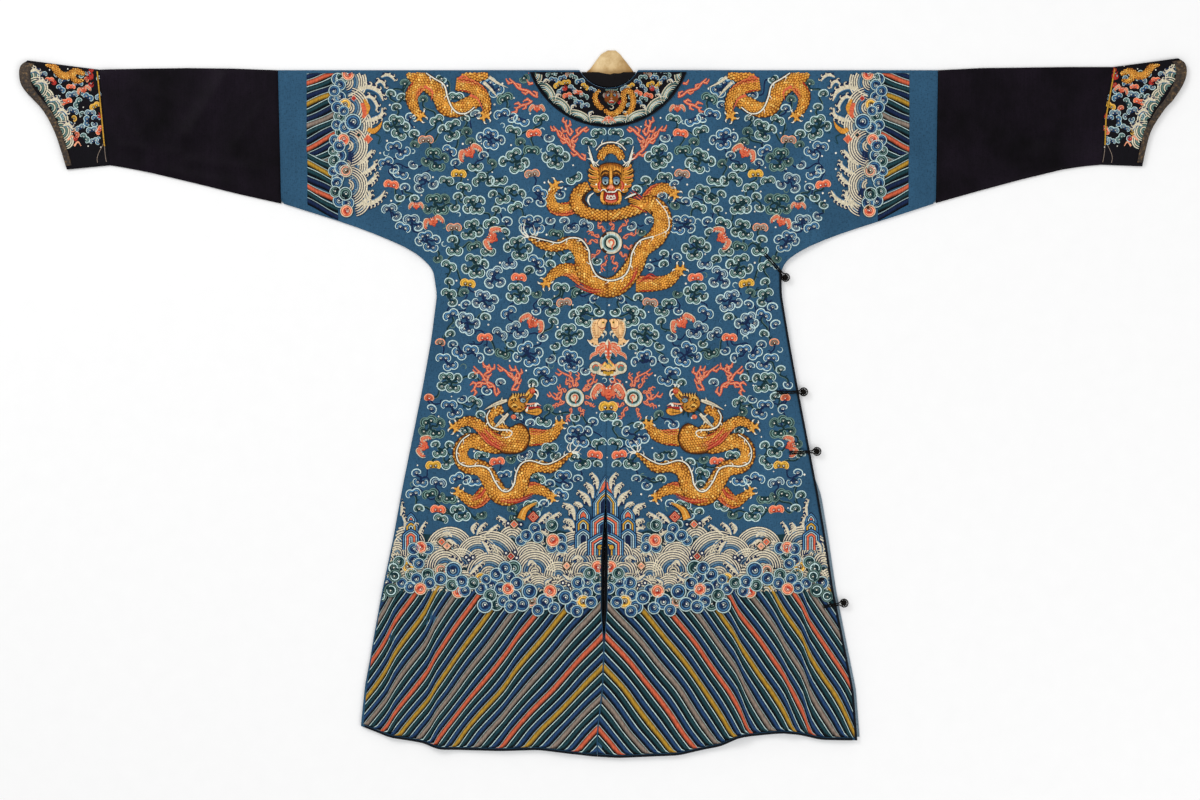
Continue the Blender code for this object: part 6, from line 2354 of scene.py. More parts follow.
def neck_edge(pen):
    """The black binding of the neckline, between the facing and the band."""
    pen.line("black", arc(*NECK_CENTRE, NECK_RADIUS + 0.4, 200, 340, 60), 2.4, 0.0, tone=0.5, **THIN)


def emblems(pen):
    """What stands on the middle line, from the fish down."""
    x = EMBLEM_X
    fish(pen, x, 137, False)
    fish(pen, x, 137, True)
    crest_bat(pen, x, 99, 34)
    lotus(pen, x, 69, 34, 1.2)
    bat(pen, x, 21, 58, base=0.8)
    pen.at(x, -6, base=0.4)
    double_head(pen, "ochre", 17)
    pen.back()
    pen.at(x, -22, turn=180, base=0.3)
    double_head(pen, "grey", 16)
    pen.back()
    pen.guard([(x, -6), (x, -22)], 14)
    pen.guard([(x, 43)], 13)


RED_BATS = (
    # centre, span, turn
    ((-124, 555), 27, 0), ((-250, 472), 42, 28), ((-207, 312), 42, 62), ((-133, 152), 44, -30),
    ((-319, 342), 36, 20), ((-336, -79), 38, 70), ((-351, 372), 26, 0),
)


def red_bats(pen, side):
    """The coral bats of one half."""
    for (x, y), span, turn in RED_BATS:
        if side == "right":
            bat(pen, 2 * AXIS - x, y, span, -turn, mirror=True)
        else:
            bat(pen, x, y, span, turn)


# ---------------------------------------------------------------- the bands above the elbows

ELBOW_STRIPES = (
    # thread, height of its middle at the outer edge and at the inner edge, whether it leans down
    ("navy", 615, 636, False), ("coral", 603, 625, False),
    ("pine", 589, 613, False), ("navy", 576, 600, False),
    ("ochre", 563, 588, False), ("pine", 549, 575, False),
    ("navy", 535, 562, False), ("taupe", 521, 548, False),
    ("pine", 507, 535, False), ("navy", 493, 523, False),
    ("coral", 479, 510, False), ("navy", 464, 495, False),
    ("pine", 450, 481, False), ("taupe", 436, 467, False),
    ("navy", 422, 453, False),
    ("pine", 466, 439, True), ("ochre", 453, 425, True),
    ("pine", 439, 410, True), ("navy", 425, 396, True),
    ("coral", 410, 380, True), ("pine", 396, 365, True),
    ("navy", 382, 351, True),
)
ELBOW_FANS = (
    # centre, radius, layer
    ((-485, 605), 42, 0), ((-479, 557), 40, 1), ((-477, 523), 44, 0), ((-481, 485), 40, 1),
    ((-483, 448), 42, 0), ((-479, 410), 38, 1), ((-470, 385), 34, 0),
)
ELBOW_FOAM = (
    # centre, radius, dye
    ((-499, 611), 12, "light"), ((-490, 614), 12, "grey"), ((-494, 600), 11, "light"),
    ((-505, 589), 11, "light"), ((-494, 577), 11, "light"), ((-485, 563), 12, "ochre"),
    ((-499, 558), 12, "light"), ((-487, 551), 10, "light"), ((-495, 541), 12, "grey"),
    ((-500, 525), 11, "light"), ((-485, 520), 12, "light"), ((-470, 530), 16, "light"),
    ((-492, 511), 12, "grey"), ((-504, 496), 11, "light"), ((-488, 497), 12, "coral"),
    ((-496, 485), 12, "light"), ((-495, 467), 13, "light"), ((-505, 457), 12, "grey"),
    ((-491, 444), 14, "light"), ((-483, 438), 12, "taupe"), ((-498, 425), 12, "light"),
    ((-500, 416), 11, "light"), ((-503, 399), 11, "grey"), ((-484, 395), 13, "grey"),
    ((-495, 382), 13, "light"), ((-479, 378), 12, "light"), ((-482, 363), 12, "coral"),
    ((-479, 620), 12, "coral"), ((-507, 572), 10, "light"), ((-507, 438), 10, "light"),
    ((-507, 476), 10, "grey"),
)
ELBOW_SPRAYS = (
    # path, width, side of the hooks, hooks
    (((-459, 590), (-440, 596), (-421, 587), (-413, 570)), 13, 1, 6),
    (((-451, 575), (-436, 577), (-425, 562), (-427, 551)), 10, 1, 4),
    (((-445, 532), (-430, 536), (-417, 543), (-415, 557)), 12, -1, 5),
    (((-462, 449), (-449, 459), (-438, 472), (-434, 478)), 11, -1, 5),
    (((-457, 431), (-442, 438), (-430, 448), (-430, 457)), 11, -1, 5),
    (((-447, 410), (-436, 419), (-429, 427), (-429, 434)), 11, -1, 5),
    (((-464, 372), (-449, 380), (-438, 389), (-438, 401)), 11, -1, 5),
    (((-451, 374), (-434, 378), (-419, 387), (-410, 401)), 12, -1, 6),
    (((-417, 615), (-406, 619), (-397, 615), (-391, 607)), 9, 1, 4),
    (((-427, 602), (-419, 607), (-412, 602), (-410, 594)), 9, 1, 3),
    (((-476, 485), (-460, 495), (-453, 508)), 9, -1, 4),
    (((-479, 579), (-464, 587), (-455, 598)), 9, -1, 3),
)


ELBOW_EDGES = (-557, -498)   # x of the stripes' outer and inner ends
ELBOW_GUARDS = (609, 572, 534, 496, 459, 421, 384)   # y of the circles that keep clouds off
ELBOW_STARS = ((-434, 511), (-445, 513), (-449, 506), (-460, 572), (-451, 579), (-406, 495), (-419, 472),
               (-419, 442), (-398, 382))


def elbow_stripes(pen):
    """Stripes that lean up above a crease and down below it."""
    outer, inner = ELBOW_EDGES
    for thread, start, end, lower in ELBOW_STRIPES:
        xs = np.linspace(outer + (1.5 if lower else 0), inner, 12)
        share = (xs - outer) / (inner - outer)
        middle = start + (end - start) * share + 1.2 * np.sin(share * 5.0 + start * 0.1)
        floor = 376 + (xs - outer) * -0.55
        crease = 473 + (446 - 473) * share
        plans = []
        for rise in (7.2, 5.8, -4.6, -7.2):
            low, high = (floor, crease) if lower else (crease, 622)
            plans.append(np.stack([xs, np.clip(middle + rise, low, high)], axis=1))
        if np.all(plans[0][:, 1] - plans[-1][:, 1] < 0.5):
            continue
        couched_stripe(pen, thread, *plans)


def elbow_band(pen, rng):
    """The left band of stripes, foam and waves; the right one mirrors it."""
    elbow_stripes(pen)
    for (x, y), radius, layer in ELBOW_FANS:
        wave_fan(pen, x, y, radius, -78, 78, 0.8 + 0.5 * layer)
    for path, width, side, hooks in ELBOW_SPRAYS:
        spray(pen, path, width, hooks, 0.9, side)
        pen.guard(path, 10)
    for k, ((x, y), radius, dye) in enumerate(ELBOW_FOAM):
        swirl_disc(pen, x, y, radius, 2.2 + 0.3 * (k % 4), dye, rng.uniform(0, 360))
    elbow_charms(pen)
    pen.guard([(-485, y) for y in ELBOW_GUARDS], 30)


def elbow_charms(pen):
    """A horn, lozenges, curls and stars beside the elbow's foam."""
    horn = smooth([(-442, 517), (-432, 513), (-421, 521), (-415, 532)], 5)
    pen.line("umber", horn, [9, 12, 8, 1], 1.2, dome=0.1)
    pen.line("gold", horn, [7, 10, 6, 0.5], 1.4, dome=0.6)
    pen.curve("coral", [(-453, 566), (-447, 549), (-451, 538)], [6, 11, 5], 2.0)
    pen.curve("gold", [(-449, 573), (-442, 558), (-444, 545)], [4, 9, 4], 1.9)
    for x, y, size, thread in ((-442, 498, 8, "coral"), (-468, 575, 5, "ruby"), (-459, 506, 5, "pine")):
        pen.patch("blush", circle(x, y, size + 1.5, 4), 1.5, 0.1)
        pen.patch(thread, circle(x, y, size, 4), 1.7, 0.3)
    for path in ([(-412, 530), (-404, 519), (-408, 510), (-397, 511)],
                 [(-429, 508), (-419, 502), (-423, 489), (-415, 496)]):
        pen.curve("teal", path, [2.4, 2.0, 1.4, 0.4], 0.4, per=5)
    for x, y in ELBOW_STARS:
        star(pen, x, y, 2.0)
    pen.curve("sky", [(-464, 359), (-449, 370), (-429, 376)], [5, 8, 2], 0.5)


# ---------------------------------------------------------------- collar and cuffs


def flame_lick(pen, x, y, turn, size, base=0.4, thread="ruby"):
    """A small tuft of three flames."""
    pen.at(x, y, turn=turn, base=base)
    for dx, dy in ((0, 1), (0.5, 0.8), (-0.5, 0.7)):
        plume(pen, [(0, 0), (dx * size * 0.6, dy * size * 0.5), (dx * size * 0.5, dy * size)], size * 0.3,
              thread)
    pen.back()


def small_dragon(pen, path, widths, rng, base=0.6):
    """A little dragon: gold, with a dark edge and small claws."""
    body = Serpent(path, widths)
    body.stitch(pen, base, rng, swell=0.6, scale=3.4, outline=1.8)
    return body


COLLAR_DYES = ("light", "slate", "grey", "coral", "light", "ochre", "slate", "grey", "taupe")
COLLAR_LICKS = (
    # across from the neck's middle, y, size
    (30.08, 604, 16), (62.04, 628, 12), (82.72, 589, 12), (22.56, 564, 10),
)
COLLAR_STARS = (
    # across from the neck's middle, y
    (7.52, 612.97), (16.92, 586.65), (52.64, 594.17), (67.68, 612.97), (78.96, 567.85), (41.36, 616.73),
    (94.0, 586.65),
)


def on_collar_arc(side, degrees, inset):
    """A point of the facing: by degrees from its lowest point, and some way in from its rim."""
    return ring_point(COLLAR_CENTRE, COLLAR_RADIUS - inset, side * math.radians(degrees))


def collar_rim(pen, side):
    """The waves along one half of the rim and the spray over them."""
    for k, degrees in enumerate((70, 8, 52, 22, 38)):
        pen.at(*on_collar_arc(side, degrees, 3.5), turn=side * degrees, mirror=side < 0)
        long_wave(pen, 27, 16 - 2 * (k % 2), 0.2 + 0.12 * k)
        pen.back()
    for degrees in range(14, 74, 15):
        inward = to_left(turned(side * degrees))
        aside = -to_left(inward) * side
        start = on_collar_arc(side, degrees, 11)
        path = [start, start + inward * 8 + aside * 3, start + inward * 13 - aside * 3]
        spray(pen, path, 5, 3, 0.9, side=side)


def collar_heads(pen, side, rng):
    """Three rows of small cloud heads on one half of the facing."""
    for row, inset in enumerate((30, 46, 63)):
        for k, degrees in enumerate(np.arange(20 + 5 * (row % 2), 80, 760 / (COLLAR_RADIUS - inset))):
            dye = COLLAR_DYES[(k + 2 * row) % len(COLLAR_DYES)]
            x, y = on_collar_arc(side, degrees, inset)
            x += rng.gauss(0, 1)
            y += rng.gauss(0, 1)
            pen.at(x, y, turn=rng.uniform(-50, 50), base=0.15)
            double_head(pen, dye, rng.uniform(7.4, 9.0), 0.9)
            pen.back()


def collar_stitches(pen, rng):
    """The facing: waves along its rim, clouds, and a dragon's head at the middle."""
    for side in (-1, 1):
        collar_rim(pen, side)
        collar_heads(pen, side, rng)
        for across, y, size in COLLAR_LICKS:
            flame_lick(pen, NECK_CENTRE[0] + side * across, y, rng.uniform(-50, 50), size, 0.9)
        for across, y in COLLAR_STARS:
            star(pen, NECK_CENTRE[0] + side * across, y, 1.3)
    small_dragon(pen, [(2, 553), (17, 544), (32, 553), (40, 570), (38, 583), (49, 589), (57, 573), (53, 553),
                       (40, 543)], [5, 9, 10, 9, 9, 9, 10, 9, 4], rng, 0.9)
    small_dragon(pen, [(0, 555), (-11, 564), (-15, 579), (-6, 590)], [8, 9, 8, 3], rng, 0.9)
    pen.at(16, 577, size=0.4, base=1.6)
    head_stitches(pen)
    pen.back()
    crest_bat(pen, 11, 534, 13, 0.8)


def head_stitches(pen):
    """A small face: brow, eyes and muzzle."""
    face = circle(0, 0, 34, 14)
    pen.patch("umber", face * 1.12, 0.0, 0.3)
    pen.patch("amber", face, 0.3, 1.0, tone=0.42, rings=2)
    for k in range(7):
        across = -24 + 8 * k
        pen.line("taupe", [(across, 30 - 0.02 * across ** 2), (across * 0.9, 14)], [3.0, 5.0, 2.0], 1.1,
                 tone=0.9)
        pen.curve("sage", [(across, 30), (across * 1.25, 46), (across * 1.5, 52)], [6.0, 5.0, 1.0], 0.2,
                  tone=1.3, per=3)
    pen.line("gold", [(0, 20), (0, 0)], [6.0, 10.0], 1.2, tone=0.5)
    for sign in (-1, 1):
        pen.patch("slate", arc(sign * 13, 8, (9, 7), 0, 315, 8), 1.0, 0.3)
        pen.disc("black", sign * 11, 7, 3.4, 1.4, 0.1, sides=7)
        pen.line("black", [(sign * 4, 18), (sign * 14, 24), (sign * 26, 17)], [2, 5, 1], 1.2)
        pen.patch("taupe", arc(sign * 33, 8, (8, 12), 0, 315, 8), 0.5, 0.4)
        pen.curve("ruby", [(sign * 20, -6), (sign * 28, 2), (sign * 24, 14)], [2.0, 4.0, 1.0], 1.6, rows=2,
                  per=3)
    pen.patch("blush", circle(0, -8, 6, 8), 1.4, 0.6, tone=0.6)
    pen.patch("ruby", arc(0, -23, (13, 6), 0, 330, 10), 1.2, 0.3, tone=0.9)
    pen.line("white", [(-10, -20), (0, -18), (10, -20)], 2.4, 1.6, rows=2)
    pen.curve("sage", [(-20, -24), (-10, -36), (0, -32), (10, -36), (20, -24)], [3.0, 5.0, 3.0], 0.9, per=3)
    pen.line("cream", arc(0, -48, 9, -150, 110, 8), [2.0, 4.0, 2.0], 1.2)


CUFF_HEADS = (
    # centre, turn, dye, half width
    ((-1013, 609), 20, "light", 11), ((-1019, 592), -40, "slate", 10), ((-998, 581), 10, "light", 12),
    ((-987, 566), 60, "grey", 11), ((-996, 551), -20, "light", 11), ((-968, 577), -30, "slate", 11),
    ((-955, 560), 30, "ochre", 11), ((-964, 547), 0, "light", 11), ((-947, 579), 40, "light", 9),
    ((-970, 532), 90, "slate", 11), ((-961, 515), 10, "light", 11), ((-974, 500), -50, "grey", 11),
    ((-946, 515), 60, "coral", 10), ((-1008, 568), 20, "coral", 11), ((-953, 538), 0, "slate", 9),
    ((-983, 519), 30, "light", 10), ((-987, 602), 0, "slate", 10), ((-957, 495), 20, "light", 9),
    ((-1026, 622), 70, "light", 8), ((-944, 613), 20, "light", 9), ((-949, 495), 80, "slate", 8),
    ((-1000, 596), 0, "coral", 9), ((-1011, 543), 40, "slate", 10), ((-1053, 620), 0, "light", 9),
    ((-1040, 609), 0, "coral", 9),
)
CUFF_BOX = (-1047, -964, 489, 624)   # left, right, low and high limits of the small heads
CUFF_FANS = (
    # centre, radius, direction, layer
    ((-1077, 617), 24, 45, 0), ((-1064, 594), 26, 40, 1), ((-1051, 575), 24, 30, 0),
    ((-1038, 557), 26, 25, 1), ((-1026, 534), 26, 15, 0), ((-1019, 513), 24, 15, 1),
    ((-1011, 495), 20, 10, 0), ((-1083, 632), 18, 50, 1),
)
CUFF_SPRAYS = (
    ((-1066, 605), (-1053, 607), (-1043, 600)), ((-1040, 570), (-1026, 573), (-1019, 564)),
    ((-1026, 549), (-1015, 553), (-1006, 543)), ((-1015, 523), (-1004, 526), (-996, 515)),
    ((-1077, 624), (-1066, 628), (-1058, 620)),
)
CUFF_LICKS = (
    # centre, turn, size
    ((-961, 611), 30, 17), ((-966, 596), -40, 13), ((-944, 538), 20, 12), ((-1028, 602), 60, 12),
    ((-993, 495), -20, 11), ((-962, 624), 0, 12),
)
CUFF_STARS = ((-1040, 628), (-1006, 630), (-981, 636), (-957, 634), (-1021, 579), (-977, 558), (-940, 555),
              (-983, 540), (-993, 528), (-998, 508), (-968, 485), (-944, 483))


def cuff_heads(pen, rng):
    """Cloud heads at their places and, between them, small ones by a fixed random rule."""
    placed = []
    for (x, y), turn, dye, half in CUFF_HEADS:
        pen.at(x, y, turn=turn, base=0.2)
        double_head(pen, dye, half * 0.92)
        pen.back()
        placed += [(x - half * 0.4, y), (x + half * 0.4, y)]
    left, right, low, high = CUFF_BOX
    for k in range(500):
        y = rng.uniform(low, high)
        x = rng.uniform(left, right) + 0.09 * (high - y)
        if x < left + 0.45 * (high - y):
            continue
        if all(math.hypot(x - a, y - b) > 10.4 for a, b in placed):
            placed.append((x, y))
            pen.at(x, y, turn=rng.uniform(0, 360), base=0.15)
            single_head(pen, COLLAR_DYES[k % len(COLLAR_DYES)], rng.uniform(4.8, 6.0))
            pen.back()


def cuff_stitches(pen, rng):
    """The left cuff's embroidery; the right one mirrors it."""
    for (x, y), radius, turn, layer in CUFF_FANS:
        wave_fan(pen, x, y, radius * 0.85, turn - 90, turn + 90, 0.2 + 0.4 * layer, 3.8, ground="teal",
                 threads=SOFT_WAVES)
    for path in CUFF_SPRAYS:
        spray(pen, path, 9, 4, 0.9, 1)
    cuff_heads(pen, rng)
    small_dragon(pen, [(-1047, 639), (-1032, 634), (-1021, 620), (-1006, 617), (-991, 626), (-974, 620)],
                 [6, 12, 13, 13, 11, 6], rng, 0.9)
    small_dragon(pen, [(-998, 620), (-991, 607), (-976, 609)], [10, 9, 4], rng, 0.8)
    bat(pen, -976, 590, 24, 20, base=0.9)
    for (x, y), turn, size in CUFF_LICKS:
        flame_lick(pen, x, y, turn, size, 0.8)
    for x, y in CUFF_STARS:
        star(pen, x, y, 1.3)
    for path in ([(-994, 485), (-987, 493), (-981, 485)], [(-1006, 496), (-998, 504), (-991, 496)]):
        pen.curve("blush", path, [3.5, 3.0, 1.0], 0.6)


def wrist_threads(pen, side):
    """The ochre couching at the wrist seam and the pale threads beside it."""
    wrist = along(CUFF_WRIST[side], np.linspace(0.02, 0.8, 26))
    sign = SIGN[side]
    inside = wrist + (sign * 4.0, 0.0)
    pen.line("umber", inside, 3.6, 1.0, dome=0.0)
    pen.line("ochre", inside, 2.2, 1.1)
    end = wrist[-1]
    for reach, drop in ((2.0, 46.0), (18.0, 44.0)):
        tail = smooth([end + (sign * 5, 8), end + (sign * reach, -drop * 0.5),
                       end + (sign * (reach - 6), -drop)], 8)
        pen.line("taupe", tail, 1.0, 0.2, rows=2)


# ---------------------------------------------------------------- cords and buttons


def closure(number, tail_x, tail_y, button_x, button_y, material):
    """A cord loop with a stitched tail, and the knotted button that it holds."""
    button = np.array((button_x, button_y), float)
    tail = np.array((tail_x, tail_y), float)
    forward = (button - tail) / np.linalg.norm(button - tail)
    sideways = to_left(forward)
    around = BUTTON_RADIUS + SEAM_GAP + LOOP_CORD_RADIUS
    spread = LOOP_CORD_RADIUS + SEAM_GAP
    neck = button - forward * (around + 3.0)
    route = [tail + sideways * spread, (tail + neck) / 2 + sideways * spread, neck + sideways * spread]
    for step in range(9):
        angle = math.radians(-150.0 + 300.0 * step / 8)
        route.append(button + (forward * math.cos(angle) - sideways * math.sin(angle)) * around)
    route += [neck - sideways * spread, (tail + neck) / 2 - sideways * spread, tail - sideways * spread]
    route = smooth(route, 6)
    ground = back_z(route[:, 0], route[:, 1]) + WALL / 2 + SEAM_GAP + TRIM_WALL + SEAM_GAP
    twist = np.sin(reach_along(route) * 2.2)
    radius = LOOP_CORD_RADIUS * (0.8 + 0.16 * twist)
    loop = tube(f"cord_loop_{number}", np.column_stack([route, ground + LOOP_CORD_RADIUS]), radius, material)
    own(loop, [f"loop_{number}"])
    knot = knotted_button(f"cord_knot_{number}", button, material, math.atan2(forward[1], forward[0]))
    own(knot, [f"button_{number}"])


def add_ball(mesh, centre, radius, sides=16, rows=10):
    """Adds a ball to a bmesh ring by ring, so that its faces come in the same order each run."""
    rings = []
    for polar in np.arange(rows + 1) * math.pi / rows:
        size = radius * math.sin(polar)
        around = circle(centre[0], centre[1], size, sides if 0 < len(rings) < rows else 1)
        height = centre[2] + radius * math.cos(polar)
        rings.append([mesh.verts.new((x * MM, y * MM, height * MM)) for x, y in around])
    (top,), *rings, (foot,) = rings
    for k in range(sides):
        mesh.faces.new((top, rings[0][k - 1], rings[0][k]))
        mesh.faces.new((foot, rings[-1][k], rings[-1][k - 1]))
        for high, low in zip(rings, rings[1:]):
            mesh.faces.new((high[k - 1], low[k - 1], low[k], high[k]))


def knotted_button(name, centre, material, turn):
    """A ball knot: one cord wound over and under itself round a ball."""
    t = np.linspace(0.0, 2 * math.pi, 141)
    radius = BUTTON_RADIUS - KNOT_CORD_RADIUS
    lift_angle = 1.05 * np.sin(4 * t)
    around_angle = 3 * t
    line = np.stack([np.cos(around_angle) * np.cos(lift_angle), np.sin(around_angle) * np.cos(lift_angle),
                     np.sin(lift_angle)], axis=-1) * (radius + 0.5 * np.cos(8 * t))[:, None]
    spin = np.array(((math.cos(turn), -math.sin(turn)), (math.sin(turn), math.cos(turn))))
    line[:, :2] = line[:, :2] @ spin.T
    line += (*centre, BUTTON_HEIGHT)
    cord_piece = tube(name, line, KNOT_CORD_RADIUS, material, sides=7)
    knot = bmesh.new()
    knot.from_mesh(cord_piece.data)
    add_ball(knot, np.array((*centre, BUTTON_HEIGHT)), radius - 0.2)
    knot.to_mesh(cord_piece.data)
    knot.free()
    cord_piece.data.shade_smooth()
    return cord_piece


def binding_strip(name, edge, inside, node, material):
    """A rolled binding along an edge, on the cloth."""
    edge, inside = np.asarray(edge), np.asarray(inside)
    width = BINDING_WIDTH / np.linalg.norm(inside - edge, axis=1, keepdims=True)
    lines = []
    for part in np.linspace(0.0, 1.0, 6):
        line = edge + (inside - edge) * width * part
        roll = 0.5 * math.sin(part * math.pi)
        line = line + (0.0, 0.0, WALL / 2 + BINDING_GAP + TRIM_WALL / 2 + roll)
        lines.append(line)
    grid = np.stack(lines)
    return own(cloth(name, grid, material, wall=TRIM_WALL), [node])


def back_line(side, shares, rows):
    """Points of the back's layer, from shares of its width and heights up the robe."""
    x, y = body_plan(side, np.asarray(shares, float), np.asarray(rows, float))
    return np.column_stack([x, y, back_z(x, y)])


def bindings(material):
    """The hem's and the right side's dark bindings."""
    edges = {}
    for side in ("left", "right"):
        last = 0.983 if side == "right" else 0.985
        shares = np.linspace(0.0, last, 90)
        edge = back_line(side, shares, np.full(90, LAST_ROW))
        inside = back_line(side, shares, np.full(90, LAST_ROW + 9.0))
        edges[side] = binding_strip(f"cloth_hem_{side}", edge, inside, f"hem_binding_{side}", material)
    rows = np.linspace(LAST_ROW, OVERLAP_UNDERARM[1] - 11.0, 130)
    edge = back_line("right", np.ones(130), rows)
    inside = back_line("right", np.full(130, 0.975), rows)
    edges["side"] = binding_strip("cloth_side_right", edge, inside, "side_binding_right", material)
    return edges


def piping(material):
    """The black cord round the facing."""
    radius = COLLAR_RADIUS + SEAM_GAP + PIPING_RADIUS
    half = half_angle(COLLAR_CENTRE, radius, COLLAR_TOP)
    plan = ring_point(COLLAR_CENTRE, radius, np.linspace(-half, half, 110))
    z = back_z(plan[:, 0], plan[:, 1]) + WALL / 2 + SEAM_GAP + PIPING_RADIUS
    item = tube("cord_collar_piping", np.column_stack([plan, z]), PIPING_RADIUS, material)
    return own(item, ["collar_piping"])


# ---------------------------------------------------------------- stage


WORLD_LIGHT = 0.72
LAMPS = (
    # name, place in metres, size in metres, watts
    ("key", (-2.6, 2.8, 3.6), 2.0, 74.0),
    ("fill", (3.0, -2.0, 4.0), 3.0, 56.0),
)
CAMERA_AT = (-0.0055, 0.0076, 5.332)
CAMERA_LENS = 85.0


def stage():
    """A pale floor, soft light from above and a camera over the robe."""
    bpy.ops.mesh.primitive_plane_add(size=30.0, location=(0.0, 0.0, -0.0005))
    floor = bpy.context.object
    floor.name = "floor"
    nodes = Nodes("paper")
    fleck = nodes.noise(nodes.scaled((30, 30, 30)), 1.0, 2.0)
    shade = nodes.ramp(fleck, [(0.0, (0.94, 0.94, 0.94, 1)), (1.0, (0.97, 0.97, 0.97, 1))])
    floor.data.materials.append(nodes.finish(shade, 0.9, specular=0.1))

    world = bpy.data.worlds.new("studio")
    world.use_nodes = True
    world.node_tree.nodes["Background"].inputs["Color"].default_value = (1.0, 1.0, 1.0, 1.0)
    world.node_tree.nodes["Background"].inputs["Strength"].default_value = WORLD_LIGHT
    bpy.context.scene.world = world
    for name, place, size, power in LAMPS:
        data = bpy.data.lights.new(name, "AREA")
        data.energy = power
        data.size = size
        lamp = bpy.data.objects.new(name, data)
        lamp.location = place
        lamp.rotation_euler = (-Vector(place)).to_track_quat("-Z", "Y").to_euler()
        bpy.context.scene.collection.objects.link(lamp)

    data = bpy.data.cameras.new("camera")
    data.lens = CAMERA_LENS
    camera = bpy.data.objects.new("camera", data)
    camera.location = CAMERA_AT
    bpy.context.scene.collection.objects.link(camera)
    bpy.context.scene.camera = camera
    bpy.context.scene.view_settings.view_transform = "Standard"


# ---------------------------------------------------------------- the robe

SIDE_OPENS_AT = 300.0        # below this height the back's side edges are bound or open
# where the two halves' drawings mirror each other: the sum of x and its mirror image
UPPER_SHIFT = 19
SKIRT_SHIFT = 4
CUFF_SHIFT = -1


def declare(cuts):
    """Goes through the cut of each cloth and turns what it lies on and the pieces on it into lists, which are
    not kept.
    """
    for piece, width, length, area, under, pieces in cuts:
        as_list(under)
        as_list(pieces)


def on_back(x, y):
    """Where the back's stitches may lie: inside its edges, and off the facing and the neck opening."""
    off_collar = np.hypot(x - COLLAR_CENTRE[0], y - COLLAR_CENTRE[1]) > COLLAR_RADIUS + 4.5
    at_neck = np.hypot(x - NECK_CENTRE[0], y - NECK_CENTRE[1]) < NECK_RADIUS + 2
    from_side = np.where(x > 0, outer_x("right", y) - x, x - outer_x("left", y))
    margin = np.where(y < SIDE_OPENS_AT, np.where(x > 0, 3.2, 2.2), 1.0)
    return (off_collar | at_neck) & (from_side > margin) & (y < COLLAR_TOP) & (y > hem_y(x) + 4.6)


def back_top(x, y):
    """The back's upper surface."""
    return back_z(x, y) + WALL / 2


def on_collar(x, y):
    """Where stitches may lie on the facing."""
    inside = np.hypot(x - COLLAR_CENTRE[0], y - COLLAR_CENTRE[1]) < COLLAR_RADIUS - 1.0
    off_neck = np.hypot(x - NECK_CENTRE[0], y - NECK_CENTRE[1]) > NECK_RADIUS + 2.0
    return inside & off_neck & (y < 623)


def on_trims(x, y):
    """Where stitches may lie on the facing and the cuffs, and just over the wrist seams."""
    seams = {side: read(np.array(CUFF_WRIST[side])[::-1, ::-1], y, 1) for side in SIGN}
    seam = np.where(x > 0, seams["right"], -seams["left"])
    beyond = np.abs(x) > seam - np.where(y < 481, 8.0, 0.0)
    return np.where(np.abs(x) > 500, beyond & (y > 453) & (y < 640), on_collar(x, y))


def mirror_copy(pen, draw, rng, shift):
    """Draws something again, mirrored about the line at half of a shift."""
    pen.at(shift, 0, mirror=True)
    draw(pen, rng)
    pen.back()


def embroider_back(body):
    """The stitches of the back, from the dragons down to the stripes, and then the clouds between them."""
    pen = Pen()
    rng = random.Random(8)
    shoulder_dragon(pen, rng)
    mirror_copy(pen, shoulder_dragon, rng, UPPER_SHIFT)
    main_dragon(pen, rng)
    skirt_dragon(pen, rng)
    mirror_copy(pen, skirt_dragon, rng, SKIRT_SHIFT)
    neck_edge(pen)
    emblems(pen)
    both_halves = ((flames, UPPER_SHIFT), (sea, SKIRT_SHIFT), (elbow_band, UPPER_SHIFT))
    red_bats(pen, "left")
    stripes(pen, "left")
    for draw, _ in both_halves:
        draw(pen, rng)
    red_bats(pen, "right")
    stripes(pen, "right")
    for draw, shift in both_halves:
        mirror_copy(pen, draw, rng, shift)
    mountain(pen)
    heads = cloud_field(pen, rng)
    stars(pen, heads, rng)
    backs = [body["left"], body["right"]]
    return lay(pen, backs, "thread", on_back, back_top), rng


def embroider_trims(collar, cuffs, sleeves, rng):
    """The stitches of the facing, the cuffs and the wrist seams."""
    pen = Pen()
    collar_stitches(pen, rng)
    cuff_stitches(pen, rng)
    mirror_copy(pen, cuff_stitches, rng, CUFF_SHIFT)
    for side in SIGN:
        wrist_threads(pen, side)
    grounds = [collar, *cuffs.values(), *sleeves.values()]
    return lay(pen, grounds, "trim_thread", on_trims)


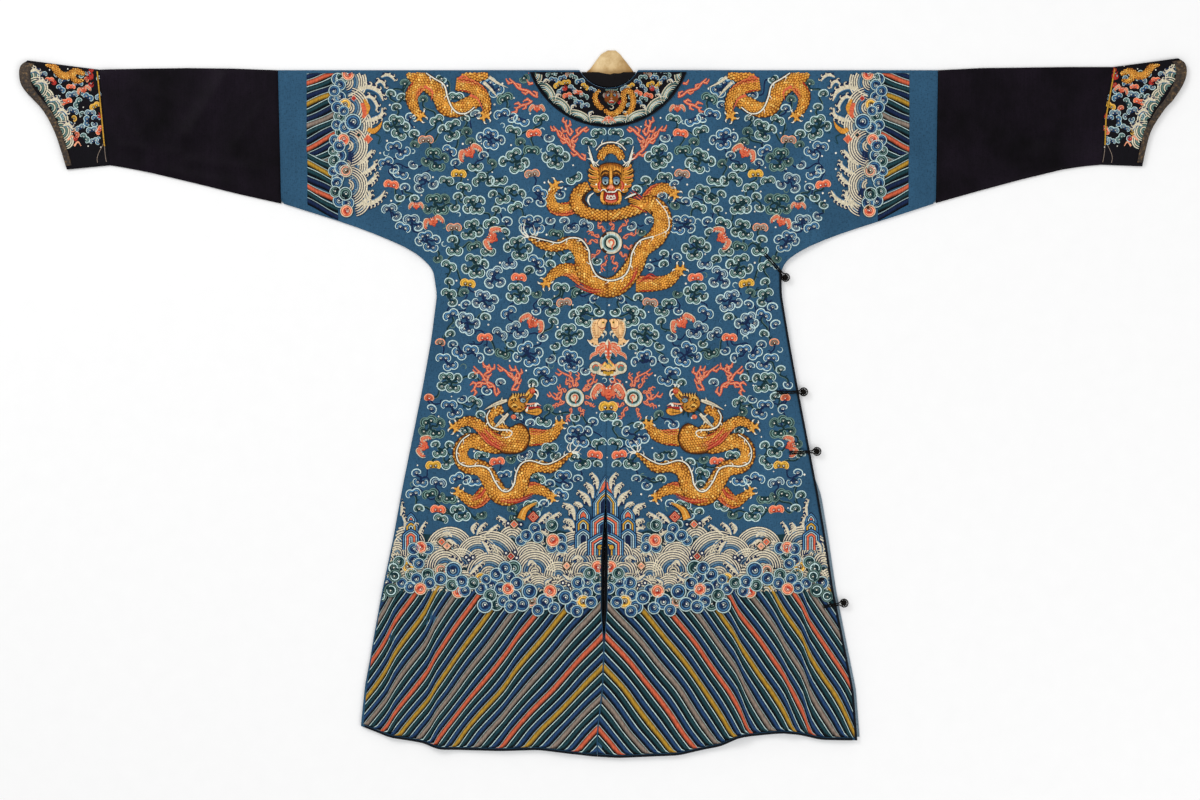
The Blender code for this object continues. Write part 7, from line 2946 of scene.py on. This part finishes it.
def main():
    """Makes the cloths, cords and stitches, lists the cuts and sets the stage."""
    blue = silk("robe_silk", srgb(43, 78, 104))
    # the lining is near black over the strip about the middle line, where the vent opens
    inside = silk("robe_lining", srgb(112, 130, 142), facing=srgb(10, 11, 14))
    sleeve = silk("sleeve_silk", srgb(10, 6, 12), streak=0.9, roughness=0.5, light=2.6, dark=0.35)
    ground = silk("cuff_silk", srgb(14, 12, 17), roughness=0.5)
    satin = silk("black_satin", srgb(13, 10, 12), roughness=0.35, shine=0.1)
    lining = flap_silk()
    edging = silk("dark_binding", srgb(16, 20, 26))
    cord_dye = silk("dark_cord", srgb(15, 11, 9))
    gilt = brocade()

    body = {side: body_piece(side, blue, inside) for side in SIGN}
    overlap = overlap_piece(blue, inside)
    sleeves = {side: sleeve_piece(side, sleeve) for side in SIGN}
    cuffs = {side: cuff_piece(side, ground) for side in SIGN}
    trims = {side: trim_piece(side, gilt) for side in SIGN}
    collar = collar_piece(ground)
    band = band_piece(satin)
    tongue = lining_piece(lining)
    edges = bindings(edging)
    edges["piping"] = piping(satin)
    for number, row in enumerate(CLOSURES, start=1):
        closure(number, *row, cord_dye)

    bpy.context.view_layer.update()
    threads, rng = embroider_back(body)
    trim_threads = embroider_trims(collar, cuffs, sleeves, rng)

    backs = [body["left"].name, body["right"].name]
    cuts = (
        # piece, width, length and area in metres, what it lies on, pieces on it
        (body["left"], 0.62, 2.57, 1.104, ["floor"], [edges["left"], *threads]),
        (body["right"], 0.64, 2.57, 1.131, [overlap.name], [edges["right"], edges["side"]]),
        (overlap, 0.49, 1.25, 0.408, ["floor"], []),
        (sleeves["left"], 0.51, 0.342, 0.142, ["floor"], []),
        (sleeves["right"], 0.51, 0.333, 0.135, ["floor"], []),
        (cuffs["left"], 0.46, 0.17, 0.044, ["floor"], [trims["left"]]),
        (cuffs["right"], 0.46, 0.16, 0.042, ["floor"], [trims["right"]]),
        (collar, 0.29, 0.105, 0.019, backs, [edges["piping"], *trim_threads]),
        (band, 0.102, 0.03, 0.0022, [body["left"].name], []),
        (tongue, 0.092, 0.063, 0.004, ["floor"], []),
    )
    declare(cuts)
    stage()


main()
